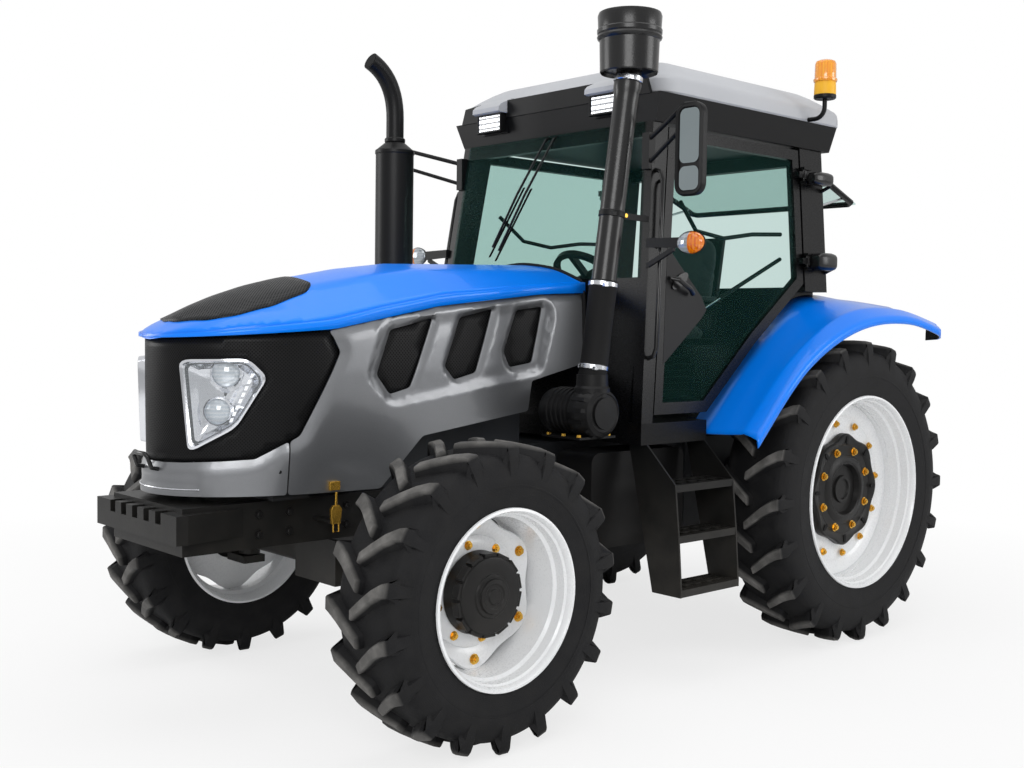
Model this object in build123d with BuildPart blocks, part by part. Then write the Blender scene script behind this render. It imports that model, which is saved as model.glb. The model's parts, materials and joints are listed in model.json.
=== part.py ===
from build123d import *
import math
import os

os.makedirs("parts", exist_ok=True)

# Frame: X forward, Y left, Z up, ground at Z = 0, all sizes in mm.
LEFT = 1
RIGHT = -1
SIDES = (LEFT, RIGHT)
CORNER_ALIGN = {LEFT: (Align.MIN, Align.MAX), RIGHT: (Align.MIN, Align.MIN)}
REAR_AXLE_X = -1290.0
WHEELBASE = 2588.0
FRONT_AXLE_X = REAR_AXLE_X + WHEELBASE
SEAT_GAP = 0.3
RUN_GAP = 0.05
MOVE_GAP = 8.0

# Cab width, from which the rear wheels take their track
CAB_HALF = 800.0
TUB_IN = 140.0
TUB_HALF = CAB_HALF - TUB_IN
TYRE_ROOM = 39.0

# Front wheels
FLANGE_RISE = 22.0
FRONT_BEAD_R = 330.0
FRONT_TYRE_SECTION = 272.0
FRONT_TYRE_R = FRONT_BEAD_R + FRONT_TYRE_SECTION
FRONT_FLANGE_R = FRONT_BEAD_R + FLANGE_RISE
FRONT_WHEEL_Y = 967.0
FRONT_TREAD_HALF = 180.0
FRONT_BULGE = 10.0
FRONT_LUG_H = 40.0
FRONT_LUG_COUNT = 18
FRONT_FACETS = 24
FRONT_FLANGE_HALF = 182.0
FRONT_DISC_Y = -18.0
FRONT_DISC_T = 14.0
FRONT_HUB_R = 152.0
FRONT_HUB_OUT = 122.0
FRONT_HUB_FLANGE_R = 200.0
FRONT_HUB_FLANGE_T = 42.0
FRONT_HUB_CAP_R = 70.0
FRONT_HUB_CAP_T = 10.0
FRONT_SPINDLE_R = 60.0
FRONT_SPINDLE_LEN = 70.0
DISC_SLOT_COUNT = 6
DISC_SLOT_IN = 33.0
DISC_SLOT_W = 36.0
DISC_SLOT_ANGLE = 34.0
HUB_NOTCH_COUNT = 12
HUB_NOTCH_W = 30.0
HUB_NOTCH_DEEP = 12.0
HUB_NOTCH_LEN = 34.0

# Rear wheels
REAR_BEAD_R = 483.0
REAR_TYRE_SECTION = 314.0
REAR_TYRE_R = REAR_BEAD_R + REAR_TYRE_SECTION
REAR_FLANGE_R = REAR_BEAD_R + FLANGE_RISE
REAR_TREAD_HALF = 190.0
REAR_BULGE = 8.0
REAR_LUG_H = 46.0
REAR_LUG_COUNT = 20
REAR_FACETS = 28
REAR_WHEEL_Y = TUB_HALF + TYRE_ROOM + REAR_BULGE + REAR_TREAD_HALF
REAR_FLANGE_HALF = 186.0
REAR_DISC_Y = 26.0
REAR_DISC_T = 14.0
REAR_DISC_BORE_R = 210.0
REAR_HUB_R = 300.0
REAR_HUB_T = 46.0
REAR_HUB_WELL_R = 143.0
REAR_HUB_WELL_DEEP = 30.0
REAR_HUB_SLEEVE_R = 120.0
REAR_HUB_SLEEVE_LEN = 196.0
REAR_SHAFT_R = 55.0
REAR_SHAFT_IN_HUB = 120.0
SCALLOP_COUNT = 8
SCALLOP_R = 46.0
SCALLOP_OUT = 22.0

# Shared wheel details
FLANGE_T = 14.0
BARREL_T = 14.0
SHOULDER_IN = 13.0
SIDEWALL_MID = 0.45
WALL_TOP_IN = 4.0
LUG_W = 40.0
LUG_PAST_MIDDLE = 8.0
LUG_LEAD = 118.0
LUG_TAPER = 11.0
LUG_END_IN = 18.0
LUG_ROOT = 38.0

# Front axle and steering
KINGPIN_Y = 770.0
KINGPIN_R = 24.0
KINGPIN_DEEP = 60.0
KINGPIN_BOSS_R = 52.0
KINGPIN_BOSS_H = 200.0
AXLE_TUBE_R = 68.0
AXLE_CENTRE_HALF_X = 120.0
AXLE_CENTRE_HALF_Y = 160.0
AXLE_CENTRE_HALF_Z = 100.0
KNUCKLE_ARM_T = 36.0
KNUCKLE_HALF_X = 58.0
KNUCKLE_WEB_T = 26.0
KNUCKLE_BACK = 50.0
STEER_ROD_R = 34.0
STEER_ROD_HALF = 420.0
STEER_ROD_BACK = 150.0
STEER_ROD_ARM_Y = 110.0
STEER_ROD_ARM_W = 50.0
STEER_ROD_ARM_H = 60.0

# Engine, gearbox and rear axle
ENGINE_REAR_BEHIND = 888.0
ENGINE_REAR_X = FRONT_AXLE_X - ENGINE_REAR_BEHIND
ENGINE_FRONT_AHEAD = 62.0
ENGINE_FRONT_X = FRONT_AXLE_X + ENGINE_FRONT_AHEAD
ENGINE_HALF = 230.0
ENGINE_OVER_AXLE = 198.0
ENGINE_H = 520.0
ENGINE_HEAD_H = 160.0
ENGINE_HEAD_HALF = 150.0
ENGINE_BOTTOM_Z = FRONT_TYRE_R + ENGINE_OVER_AXLE
ENGINE_HEAD_Z = ENGINE_BOTTOM_Z + ENGINE_H
ENGINE_TOP_Z = ENGINE_HEAD_Z + ENGINE_HEAD_H
SUMP_FRONT_BEHIND = 240.0
SUMP_FRONT_X = FRONT_AXLE_X - SUMP_FRONT_BEHIND
SUMP_HALF = 180.0
SUMP_H = 180.0
SUMP_BOTTOM_Z = ENGINE_BOTTOM_Z - SUMP_H
FAN_LEN = 230.0
FAN_R = 250.0
FAN_RISE = 380.0
FAN_Z = ENGINE_BOTTOM_Z + FAN_RISE
GEARBOX_REAR_AHEAD = 450.0
GEARBOX_REAR_X = REAR_AXLE_X + GEARBOX_REAR_AHEAD
GEARBOX_HALF = 210.0
GEARBOX_BOTTOM_Z = 560.0
GEARBOX_TOP_Z = 1070.0
HOUSING_REAR_BEHIND = 300.0
HOUSING_REAR_X = REAR_AXLE_X - HOUSING_REAR_BEHIND
HOUSING_HALF = 230.0
HOUSING_BOTTOM_Z = 520.0
HOUSING_TOP_Z = 1050.0
TRUMPET_R = 125.0
TRUMPET_END_R = 100.0
TRUMPET_END_Y = REAR_WHEEL_Y + REAR_DISC_Y - REAR_HUB_SLEEVE_LEN - MOVE_GAP
CAB_PAD_HALF = 60.0
CAB_PAD_LEN = 120.0
PTO_R = 17.5
PTO_LEN = 90.0
PTO_Z = 640.0
PTO_COVER_R = 75.0
PTO_COVER_T = 20.0

# Front support frame, radiator and bumper
RAIL_REAR_BEHIND = 400.0
RAIL_REAR_X = FRONT_AXLE_X - RAIL_REAR_BEHIND
RAIL_FRONT_AHEAD = 912.0
RAIL_FRONT_X = FRONT_AXLE_X + RAIL_FRONT_AHEAD
RAIL_OUT = 300.0
RAIL_OVER_AXLE = 143.0
RAIL_H = 185.0
RAIL_BOTTOM_Z = FRONT_TYRE_R + RAIL_OVER_AXLE
RAIL_TOP_Z = RAIL_BOTTOM_Z + RAIL_H
BOLSTER_LEN = 200.0
SADDLE_HALF_X = 110.0
RADIATOR_REAR_AHEAD = 362.0
RADIATOR_REAR_X = FRONT_AXLE_X + RADIATOR_REAR_AHEAD
RADIATOR_T = 170.0
RADIATOR_HALF = 325.0
RADIATOR_H = 570.0
RADIATOR_TOP_Z = RAIL_TOP_Z + RADIATOR_H
BUMPER_T = 50.0
BUMPER_HALF = 350.0
BUMPER_H = 112.0
BUMPER_DROP = 18.0
BUMPER_TOP_Z = RAIL_TOP_Z - BUMPER_DROP
BUMPER_BOTTOM_Z = BUMPER_TOP_Z - BUMPER_H
NOTCH_W = 46.0
NOTCH_H = 46.0
NOTCH_PITCH = 100.0
NOTCH_COUNT = 5
BRACKET_LEN = 260.0

# Cab: side planes lean in toward the roof
FLOOR_BOTTOM_Z = 1100.0
FLOOR_Z = 1200.0
TUMBLE = 0.078
CAB_REAR_BEHIND = 100.0
CAB_REAR_X = REAR_AXLE_X - CAB_REAR_BEHIND
CAB_FRONT_AHEAD = 1461.0
CAB_FRONT_X = REAR_AXLE_X + CAB_FRONT_AHEAD
CAB_STEP_AHEAD = 985.0
CAB_STEP_X = REAR_AXLE_X + CAB_STEP_AHEAD
TUB_WALL_T = 30.0
TUB_REAR_T = 40.0
SILL_Z = 1600.0
SHELF_Z = 1850.0
SHELF_T = 30.0
SHELF_IN = 45.0
SHELF_HALF = CAB_HALF - SHELF_IN
CAB_TOP_Z = 2620.0
PILLAR_T = 60.0
A_PILLAR_BOTTOM = 77.0
A_PILLAR_TOP_FRONT_AHEAD = 1290.0
A_PILLAR_TOP_FRONT_X = REAR_AXLE_X + A_PILLAR_TOP_FRONT_AHEAD
A_PILLAR_TOP = 108.0
C_PILLAR_FRONT_AHEAD = 104.0
C_PILLAR_FRONT_X = REAR_AXLE_X + C_PILLAR_FRONT_AHEAD
COWL_T = 40.0
COWL_OVER_RAIL = 950.0
COWL_TOP_Z = RAIL_TOP_Z + COWL_OVER_RAIL
COWL_HALF = CAB_HALF - (COWL_TOP_Z - FLOOR_Z) * TUMBLE - PILLAR_T / 2
HEADER_H = 70.0
HEADER_HALF = CAB_HALF - (CAB_TOP_Z - FLOOR_Z) * TUMBLE - PILLAR_T / 2
REAR_HEADER_T = 60.0
SCREEN_T = 8.0
SCREEN_EDGE = 22.0
SCREEN_HALF_TOP = HEADER_HALF - SCREEN_EDGE
SCREEN_HALF_BOTTOM = COWL_HALF - SCREEN_EDGE

# Doors, hinged at the rear pillar
DOOR_T = 40.0
DOOR_RIM = 55.0
DOOR_GLASS_T = 8.0
DOOR_GLASS_IN = 12.0
DOOR_REAR_X = C_PILLAR_FRONT_X + MOVE_GAP + 8.0
DOOR_BOTTOM_Z = 1238.0
DOOR_TOP_Z = 2604.0
DOOR_MID_Z = 1890.0
DOOR_KNEE_AHEAD = 560.0
DOOR_KNEE_X = REAR_AXLE_X + DOOR_KNEE_AHEAD
DOOR_KNEE_Z = 1580.0
DOOR_LOW_REAR_AHEAD = 985.0
DOOR_LOW_REAR_X = REAR_AXLE_X + DOOR_LOW_REAR_AHEAD

# Hinges of the doors and the hood
HINGE_X = (C_PILLAR_FRONT_X + DOOR_REAR_X) / 2
HINGE_OUT = 24.0
HINGE_PIN_R = 9.0
HINGE_EYE_R = 17.0
HINGE_EYE_H = 44.0
HINGE_STRAP_LEN = 54.0
HINGE_STRAP_H = 32.0
HINGE_ARM_LEN = 60.0
HINGE_ARM_T = 14.0
HINGE_ARM_HALF = 12.0
HINGE_SINK = 12.0
HINGE_ZS = (2010.0, 2470.0)
HOOD_PIVOT_OVER_RAIL = 920.0
HOOD_PIVOT_Z = RAIL_TOP_Z + HOOD_PIVOT_OVER_RAIL
HOOD_PIN_R = 10.0
HOOD_EYE_R = 22.0
HOOD_EYE_W = 24.0
HOOD_ARM_Y = 150.0
HOOD_ARM_HALF = 14.0
HOOD_ARM_DROP = 20.0
HOOD_ARM_RISE = 12.0
HOOD_WEB_HALF = 15.0
HOOD_WEB_H = 65.0
HOOD_WEB_TOP_Z = HOOD_PIVOT_Z + HOOD_WEB_H

# Fenders: a curved skin from the tub wall to the outer edge, each point an angle and a gap over the tyre
FENDER_COVER = 178.0
FENDER_OUT = REAR_WHEEL_Y + FENDER_COVER
FENDER_T = 26.0
FENDER_LIP = 48.0
FENDER_LIP_T = 16.0
FENDER_INNER = ((70.9, 219.0), (38.7, 98.0), (5.0, 222.0), (-20.9, 296.0), (-41.9, 535.0))
FENDER_OUTER = ((70.8, 214.0), (38.9, 94.0), (6.4, 102.0), (-23.2, 216.0), (-44.9, 393.0))
FENDER_CORNER_R = 150.0

# Roof, liner and rear window
LINER_TOP_Z = 2750.0
LINER_FLARE = 45.0
LAMP_Z = 2690.0
LINER_FRONT_AHEAD = 1285.0
LINER_FRONT_X = REAR_AXLE_X + LINER_FRONT_AHEAD
LINER_REAR_BEHIND = 160.0
LINER_REAR_X = REAR_AXLE_X - LINER_REAR_BEHIND
LINER_OVER = 41.0
LINER_HALF = HEADER_HALF + LINER_OVER
ROOF_FRONT_AHEAD = 1310.0
ROOF_FRONT_X = REAR_AXLE_X + ROOF_FRONT_AHEAD
ROOF_REAR_BEHIND = 245.0
ROOF_REAR_X = REAR_AXLE_X - ROOF_REAR_BEHIND
ROOF_OVER = 52.0
ROOF_HALF = LINER_HALF + ROOF_OVER
ROOF_BELT_Z = 2835.0
VALANCE_Z = 2660.0
ROOF_TOP_Z = 2960.0
ROOF_TOP_IN = 190.0
ROOF_CORNER_R = 110.0
POD_Y = 420.0
LAMP_W = 150.0
LAMP_H = 84.0
LAMP_T = 45.0
POD_W = 200.0
POD_LEN = 120.0
POD_BELOW = 22.0
VISOR_T = 30.0
VISOR_LEN = 70.0
REAR_PANE_IN = 60.0
REAR_PANE_HALF = TUB_HALF - REAR_PANE_IN
REAR_PANE_T = 8.0
REAR_PANE_OPEN_X = 500.0
REAR_PANE_DROP = 190.0
PANE_HINGE_Z = 2565.0

# Hood shell: stations from the cab to the nose, heights over the rails
HOOD_T = 30.0
HOOD_REAR_AHEAD = 25.0
HOOD_REAR_X = CAB_FRONT_X + HOOD_REAR_AHEAD
HOOD_PIVOT_AHEAD = 20.0
HOOD_PIVOT_X = HOOD_REAR_X + HOOD_PIVOT_AHEAD
HOOD_HALF_LOW = 400.0
HOOD_HALF_MID = 456.0
HOOD_HALF_CREASE = 442.0
HOOD_LOW_DROP = 50.0
HOOD_LOW_Z = RAIL_TOP_Z - HOOD_LOW_DROP
HOOD_MID_RISE = 520.0
HOOD_MID_Z = RAIL_TOP_Z + HOOD_MID_RISE
HOOD_CREASE = ((0.0, 926.0), (864.0, 845.0), (1414.0, 742.0), (1764.0, 688.0), (2074.0, 662.0))
HOOD_SHOULDER = ((278.0, 985.0), (262.0, 922.0), (244.0, 856.0), (226.0, 798.0), (206.0, 730.0))
HOOD_CROWN = (1018.0, 958.0, 896.0, 834.0, 764.0)
NOSE_CENTRE_AHEAD = 312.0
NOSE_CENTRE_X = FRONT_AXLE_X + NOSE_CENTRE_AHEAD
NOSE_LEN = 595.0
HOOD_SEAM = ((1420.0, 875.0), (1760.0, 860.0), (2377.0, 792.0), (2915.0, 688.0), (3620.0, 636.0))
HOOD_LOWER = ((3600.0, 33.0), (2653.0, 25.0), (2449.0, 238.0), (1841.0, 323.0), (1831.0, 462.0),
              (1440.0, 552.0))
GRILLE_EDGE = ((2975.0, 770.0), (2880.0, 599.0), (3050.0, 265.0), (3220.0, 178.0), (3620.0, 150.0),
               (3620.0, 770.0))
LAMP_EDGE = ((3450.0, 567.0), (3255.0, 572.0), (3190.0, 500.0), (3290.0, 305.0), (3425.0, 205.0))
LAMP_INNER_Y = 60.0
VENT_A = ((2694.0, 504.0), (2624.0, 690.0), (2396.0, 743.0), (2516.0, 446.0), (2621.0, 420.0))
VENT_B = ((2332.0, 533.0), (2245.0, 746.0), (2053.0, 789.0), (2154.0, 504.0), (2275.0, 475.0))
VENT_C = ((1989.0, 596.0), (1907.0, 785.0), (1743.0, 805.0), (1814.0, 545.0), (1951.0, 525.0))
VENT_IN = 14.0
VENT_T = 10.0
TOP_GRILLE_REAR_AHEAD = 290.0
TOP_GRILLE_REAR_X = FRONT_AXLE_X + TOP_GRILLE_REAR_AHEAD
TOP_GRILLE_FRONT_AHEAD = 850.0
TOP_GRILLE_FRONT_X = FRONT_AXLE_X + TOP_GRILLE_FRONT_AHEAD
TOP_GRILLE_HALF_REAR = 190.0
TOP_GRILLE_HALF_FRONT = 150.0
TOP_GRILLE_OVER_RAIL = 570.0
TOP_GRILLE_Z = RAIL_TOP_Z + TOP_GRILLE_OVER_RAIL
HOOD_ROOM = 600.0

# Steps, tanks and stacks
STEP_REAR_AHEAD = 990.0
STEP_REAR_X = REAR_AXLE_X + STEP_REAR_AHEAD
STEP_FRONT_AHEAD = 1420.0
STEP_FRONT_X = REAR_AXLE_X + STEP_FRONT_AHEAD
STEP_ZS = (455.0, 700.0, 930.0)
STEP_REACHES = (50.0, 30.0, 5.0)
STEP_TREADS = tuple((z, CAB_HALF + reach) for z, reach in zip(STEP_ZS, STEP_REACHES))
STEP_HOLE_LEN = 62.0
STEP_HOLE_W = 40.0
STEP_HOLE_PITCH = 78.0
STEP_HOLE_ROW = 66.0
STEP_HOLES = 5
STEP_HOLE_ROWS = 2
STEP_DEEP = 170.0
STEP_T = 34.0
STEP_PLATE_T = 10.0
STEP_BOTTOM_Z = 420.0
STEP_TOP_W = 110.0
STEP_TOP_IN = CAB_HALF - STEP_TOP_W
TANK_REAR_AHEAD = 985.0
TANK_REAR_X = REAR_AXLE_X + TANK_REAR_AHEAD
TANK_FRONT_AHEAD = 1640.0
TANK_FRONT_X = REAR_AXLE_X + TANK_FRONT_AHEAD
TANK_IN = 430.0
TANK_W = 230.0
TANK_OUT = TANK_IN + TANK_W
TANK_BOTTOM_Z = 610.0
TANK_TOP_Z = 1060.0
TANK_R = 50.0
STRAP_W = 60.0
STRAP_H = 120.0
STRAP_Z = 800.0
CLEANER_BEHIND = 838.0
CLEANER_X = FRONT_AXLE_X - CLEANER_BEHIND
CLEANER_RISE = 462.0
CLEANER_Z = ENGINE_BOTTOM_Z + CLEANER_RISE
CLEANER_R = 118.0
CLEANER_IN = 475.0
CLEANER_OUT = 850.0
CLEANER_DUCT_R = 46.0
CLEANER_BOSS_R = 74.0
CLEANER_BOSS_H = 170.0
CLEANER_BOSS_Z = CLEANER_Z + CLEANER_BOSS_H
STACK_Y = 760.0
STACK_R = 62.0
STACK_TOP_DX = -205.0
STACK_TOP_Z = 2790.0
BOWL_R = 136.0
BOWL_H = 190.0
BOWL_CAP_R = 150.0
BOWL_CAP_H = 60.0
BOWL_DOME_H = 30.0
EXHAUST_BEHIND = 728.0
EXHAUST_X = FRONT_AXLE_X - EXHAUST_BEHIND
EXHAUST_Y = -575.0
EXHAUST_RISE = 365.0
EXHAUST_PORT_Z = ENGINE_BOTTOM_Z + EXHAUST_RISE
EXHAUST_R = 45.0
EXHAUST_BEND_R = 100.0
MUFFLER_R = 98.0
MUFFLER_BOTTOM_Z = 1420.0
MUFFLER_TOP_Z = 2540.0
MUFFLER_CONE_H = 40.0
TAIL_BEND_Z = 2820.0
TAIL_TIP_DX = 165.0
TAIL_TIP_Z = 2985.0

# Mirrors and lamps
MIRROR_ROOT_Z = 2440.0
MIRROR_ROOT_AHEAD = 1312.0
MIRROR_ROOT_X = REAR_AXLE_X + MIRROR_ROOT_AHEAD
MIRROR_AHEAD = 1440.0
MIRROR_X = REAR_AXLE_X + MIRROR_AHEAD
MIRROR_REACH = 150.0
MIRROR_W = 198.0
MIRROR_IN = CAB_HALF + MIRROR_REACH
MIRROR_OUT = MIRROR_IN + MIRROR_W
MIRROR_BOTTOM_Z = 2225.0
MIRROR_TOP_Z = 2635.0
MIRROR_T = 50.0
MIRROR_CORNER_R = 45.0
MIRROR_ARM_DROP = 110.0
MIRROR_ARM_R = 11.0
TURN_Z = 2030.0
TURN_AHEAD = 1375.0
TURN_X = REAR_AXLE_X + TURN_AHEAD
TURN_REACH = 200.0
TURN_Y = CAB_HALF + TURN_REACH
TURN_HALF_W = 80.0
TURN_HALF_H = 52.0
TURN_T = 60.0
TURN_ARM_R = 10.0
BEACON_AHEAD = 120.0
BEACON_X = REAR_AXLE_X + BEACON_AHEAD
BEACON_REACH = 98.0
BEACON_Y = ROOF_HALF + BEACON_REACH
BEACON_BASE_Z = 2860.0
BEACON_R = 62.0
BEACON_BASE_H = 50.0
BEACON_H = 150.0
BEACON_TOP_R = 56.0
BEACON_ARM_R = 12.0
BEACON_ARM_Z = 2760.0
REAR_LAMP_IN = 100.0
REAR_LAMP_Y = TUB_HALF - REAR_LAMP_IN
REAR_LAMP_W = 110.0
REAR_LAMP_T = 60.0
REAR_LAMP_LOW_Z = 1660.0
REAR_LAMP_LOW_H = 160.0

# Cab inside
SEAT_AHEAD = 420.0
SEAT_X = REAR_AXLE_X + SEAT_AHEAD
SEAT_HALF = 250.0
SEAT_LEN = 460.0
CUSHION_Z = 1560.0
CUSHION_H = 120.0
PEDESTAL_HALF = 170.0
BACK_T = 120.0
BACK_LEAN = 90.0
BACK_TOP_Z = 2210.0
DASH_REAR_AHEAD = 1130.0
DASH_REAR_X = REAR_AXLE_X + DASH_REAR_AHEAD
DASH_HALF = 210.0
DASH_TOP_Z = 1800.0
DASH_FRONT_AHEAD = 1330.0
DASH_FRONT_X = REAR_AXLE_X + DASH_FRONT_AHEAD
COLUMN_R = 35.0
WHEEL_HUB_AHEAD = 1000.0
WHEEL_HUB_X = REAR_AXLE_X + WHEEL_HUB_AHEAD
WHEEL_HUB_Z = 1880.0
WHEEL_RING_R = 200.0
WHEEL_ROD_R = 15.0
WHEEL_SPOKE_W = 30.0
WHEEL_HUB_R = 52.0
COLUMN_Z = 1690.0

# Hitch
LINK_PIVOT_BEHIND = 180.0
LINK_PIVOT_X = REAR_AXLE_X - LINK_PIVOT_BEHIND
LINK_PIVOT_Z = 590.0
LINK_PIN_R = 20.0
LINK_EYE_R = 42.0
LINK_T = 36.0
LINK_Y = 290.0
LINK_END_BEHIND = 900.0
LINK_END_X = REAR_AXLE_X - LINK_END_BEHIND
LINK_END_Y = 400.0
LINK_BALL_R = 48.0
LINK_HOLE_R = 14.35
LINK_BAR_H = 60.0
LIFT_PIVOT_BEHIND = 190.0
LIFT_PIVOT_X = REAR_AXLE_X - LIFT_PIVOT_BEHIND
LIFT_PIVOT_Z = 950.0
LIFT_END_BEHIND = 560.0
LIFT_END_X = REAR_AXLE_X - LIFT_END_BEHIND
LIFT_HOLE_R = 12.85
LIFT_BAR_H = 70.0
DRAWBAR_FRONT_AHEAD = 200.0
DRAWBAR_FRONT_X = REAR_AXLE_X + DRAWBAR_FRONT_AHEAD
DRAWBAR_REAR_BEHIND = 780.0
DRAWBAR_REAR_X = REAR_AXLE_X - DRAWBAR_REAR_BEHIND
DRAWBAR_HALF = 45.0
DRAWBAR_BOTTOM_Z = 400.0
DRAWBAR_T = 45.0
DRAWBAR_HOLE_R = 16.0
DRAWBAR_HOLE_IN = 70.0
HANGER_HALF = 130.0


def block(x0, x1, y0, y1, z0, z1, mode=Mode.ADD):
    """A box between two corners, added to the piece being built."""
    with Locations(((x0 + x1) / 2, (y0 + y1) / 2, (z0 + z1) / 2)):
        Box(abs(x1 - x0), abs(y1 - y0), abs(z1 - z0), mode=mode)


def rod(start, end, radius, mode=Mode.ADD):
    """A round bar from one point to another."""
    run = Vector(*end) - Vector(*start)
    with Locations(Plane(origin=start, z_dir=run)):
        Cylinder(radius, run.length, align=(Align.CENTER, Align.CENTER, Align.MIN), mode=mode)


def cone(start, end, start_r, end_r, mode=Mode.ADD):
    """A tapered round bar from one point to another."""
    run = Vector(*end) - Vector(*start)
    with Locations(Plane(origin=start, z_dir=run)):
        Cone(start_r, end_r, run.length, align=(Align.CENTER, Align.CENTER, Align.MIN), mode=mode)


def side_plane(y):
    """The plane of a side view: local x runs forward, local y runs up."""
    return Plane(origin=(0, y, 0), x_dir=(1, 0, 0), z_dir=(0, -1, 0))


def front_plane(x):
    """The plane of a front view: local x runs left, local y runs up."""
    return Plane(origin=(x, 0, 0), x_dir=(0, 1, 0), z_dir=(1, 0, 0))


def wheel_plane(x, z):
    """The plane of a wheel's section: local x is the radius, local y runs left."""
    return Plane(origin=(x, 0, z), x_dir=(0, 0, 1), z_dir=(-1, 0, 0))


def wheel_face(x, z, y):
    """The plane of a wheel's face, centred on its axle: local x forward, local y up, facing right."""
    return Plane(origin=(x, y, z), x_dir=(1, 0, 0), z_dir=(0, -1, 0))


def side_prism(points, y0, y1):
    """A side-view outline carried straight across from y0 to y1."""
    with BuildPart() as prism:
        with BuildSketch(side_plane(max(y0, y1))):
            with BuildLine():
                Polyline(*points, close=True)
            make_face()
        extrude(amount=abs(y1 - y0))
    return prism.part


def front_prism(points, x0, x1):
    """A front-view outline carried straight along from x0 to x1."""
    with BuildPart() as prism:
        with BuildSketch(front_plane(x0)):
            with BuildLine():
                Polyline(*points, close=True)
            make_face()
        extrude(amount=x1 - x0)
    return prism.part


def plan_prism(points, z0, z1):
    """A plan outline carried straight up from z0 to z1."""
    with BuildPart() as prism:
        with BuildSketch(Plane.XY.offset(z0)):
            with BuildLine():
                Polyline(*points, close=True)
            make_face()
        extrude(amount=z1 - z0)
    return prism.part


def turned(x, z, profile):
    """A wheel piece: its section swung about the axle line at x, z."""
    with BuildPart() as spun:
        with BuildSketch(wheel_plane(x, z)):
            with BuildLine():
                Polyline(*profile, close=True)
            make_face()
        revolve(axis=Axis((x, 0, z), (0, 1, 0)))
    return spun.part


def hood_line(points):
    """Side-view points of the hood: forward of the rear axle and over the rails."""
    return [(REAR_AXLE_X + x, RAIL_TOP_Z + z) for x, z in points]


def over_tyre(points):
    """Side-view points by their angle from the top of the rear tyre and their gap over it."""
    arms = [(math.radians(angle), REAR_TYRE_R + gap) for angle, gap in points]
    return [(REAR_AXLE_X + arm * math.sin(turn), REAR_TYRE_R + arm * math.cos(turn)) for turn, arm in arms]


def cab_y(z):
    """Half width of the cab's outer side plane at a height."""
    return CAB_HALF - (z - FLOOR_Z) * TUMBLE


def cab_slab(side, depth_out, depth_in, z0, z1):
    """A slab that follows the leaning side plane of the cab."""
    outline = [
        (side * (cab_y(z0) - depth_out), z0),
        (side * (cab_y(z1) - depth_out), z1),
        (side * (cab_y(z1) - depth_in), z1),
        (side * (cab_y(z0) - depth_in), z0),
    ]
    return front_prism(outline, CAB_REAR_X - PILLAR_T, CAB_FRONT_X + PILLAR_T)


def hinge_point(side, z):
    """A point on a door's hinge line, which leans with the cab side."""
    return (HINGE_X, side * (cab_y(z) + HINGE_OUT), z)


def save(part, name):
    """Name one piece and write its file."""
    part.label = name
    export_step(part, "parts/" + name + ".step")


# Wheels: a faceted tyre with bars fused to it, a rim and a hub at each corner
def tyre_carcass(axle_x, wheel_y, facets, tread_half, bulge, tyre_r, lug_h, bead_r, flange_r, flange_half):
    """The left tyre without its bars: flat-sided rings joined bead to bead, with the bore for the rim."""
    crown_r = tyre_r - lug_h
    half = [
        (flange_half - FLANGE_T, flange_r + WALL_TOP_IN),
        (tread_half + bulge, flange_r + (crown_r - flange_r) * SIDEWALL_MID),
        (tread_half - SHOULDER_IN, crown_r),
    ]
    with BuildPart() as carcass:
        for y, r in half + [(-y, r) for y, r in reversed(half)]:
            with BuildSketch(Plane(origin=(axle_x, wheel_y + y, tyre_r), x_dir=(1, 0, 0), z_dir=(0, -1, 0))):
                RegularPolygon(r, facets)
        loft(ruled=True)
        with BuildSketch(Plane(origin=(axle_x, wheel_y + flange_half, tyre_r), x_dir=(1, 0, 0),
                               z_dir=(0, -1, 0))):
            RegularPolygon(bead_r + SEAT_GAP, facets, major_radius=False)
        extrude(amount=2 * flange_half, mode=Mode.SUBTRACT)
    return carcass.part


def tyre_bar(axle_x, wheel_y, hand, tread_half, tyre_r, lug_h):
    """One slanting bar at the top of a tyre, from just past the middle to one shoulder."""
    reach = (LUG_LEAD + LUG_W) / 2
    tip_z = tyre_r + math.sqrt(tyre_r ** 2 - reach ** 2)
    with BuildPart() as bar:
        with BuildSketch(Plane(origin=(axle_x, wheel_y, tip_z), x_dir=(1, 0, 0), z_dir=(0, 0, -1))):
            with BuildLine():
                Polyline((reach, hand * LUG_PAST_MIDDLE), (reach - LUG_W, hand * LUG_PAST_MIDDLE),
                         (-reach, -hand * (tread_half - LUG_END_IN)),
                         (LUG_W - reach, -hand * (tread_half - LUG_END_IN)),
                         close=True)
            make_face()
        extrude(amount=lug_h + LUG_ROOT, taper=-LUG_TAPER)
    return bar.part


def tyre_bars(axle_x, wheel_y, tread_half, tyre_r, lug_h, count):
    """All the bars of a left tyre: both sides, half a pitch apart, with one tip on the ground."""
    reach = (LUG_LEAD + LUG_W) / 2
    first = 180 - math.degrees(math.asin(reach / tyre_r))
    axle = Axis((axle_x, 0, tyre_r), (0, 1, 0))
    pitch = 360 / count
    bars = []
    for hand, start in ((LEFT, first), (RIGHT, first + pitch / 2)):
        bar = tyre_bar(axle_x, wheel_y, hand, tread_half, tyre_r, lug_h)
        bars += [bar.rotate(axle, start + index * pitch) for index in range(count)]
    return bars


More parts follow.
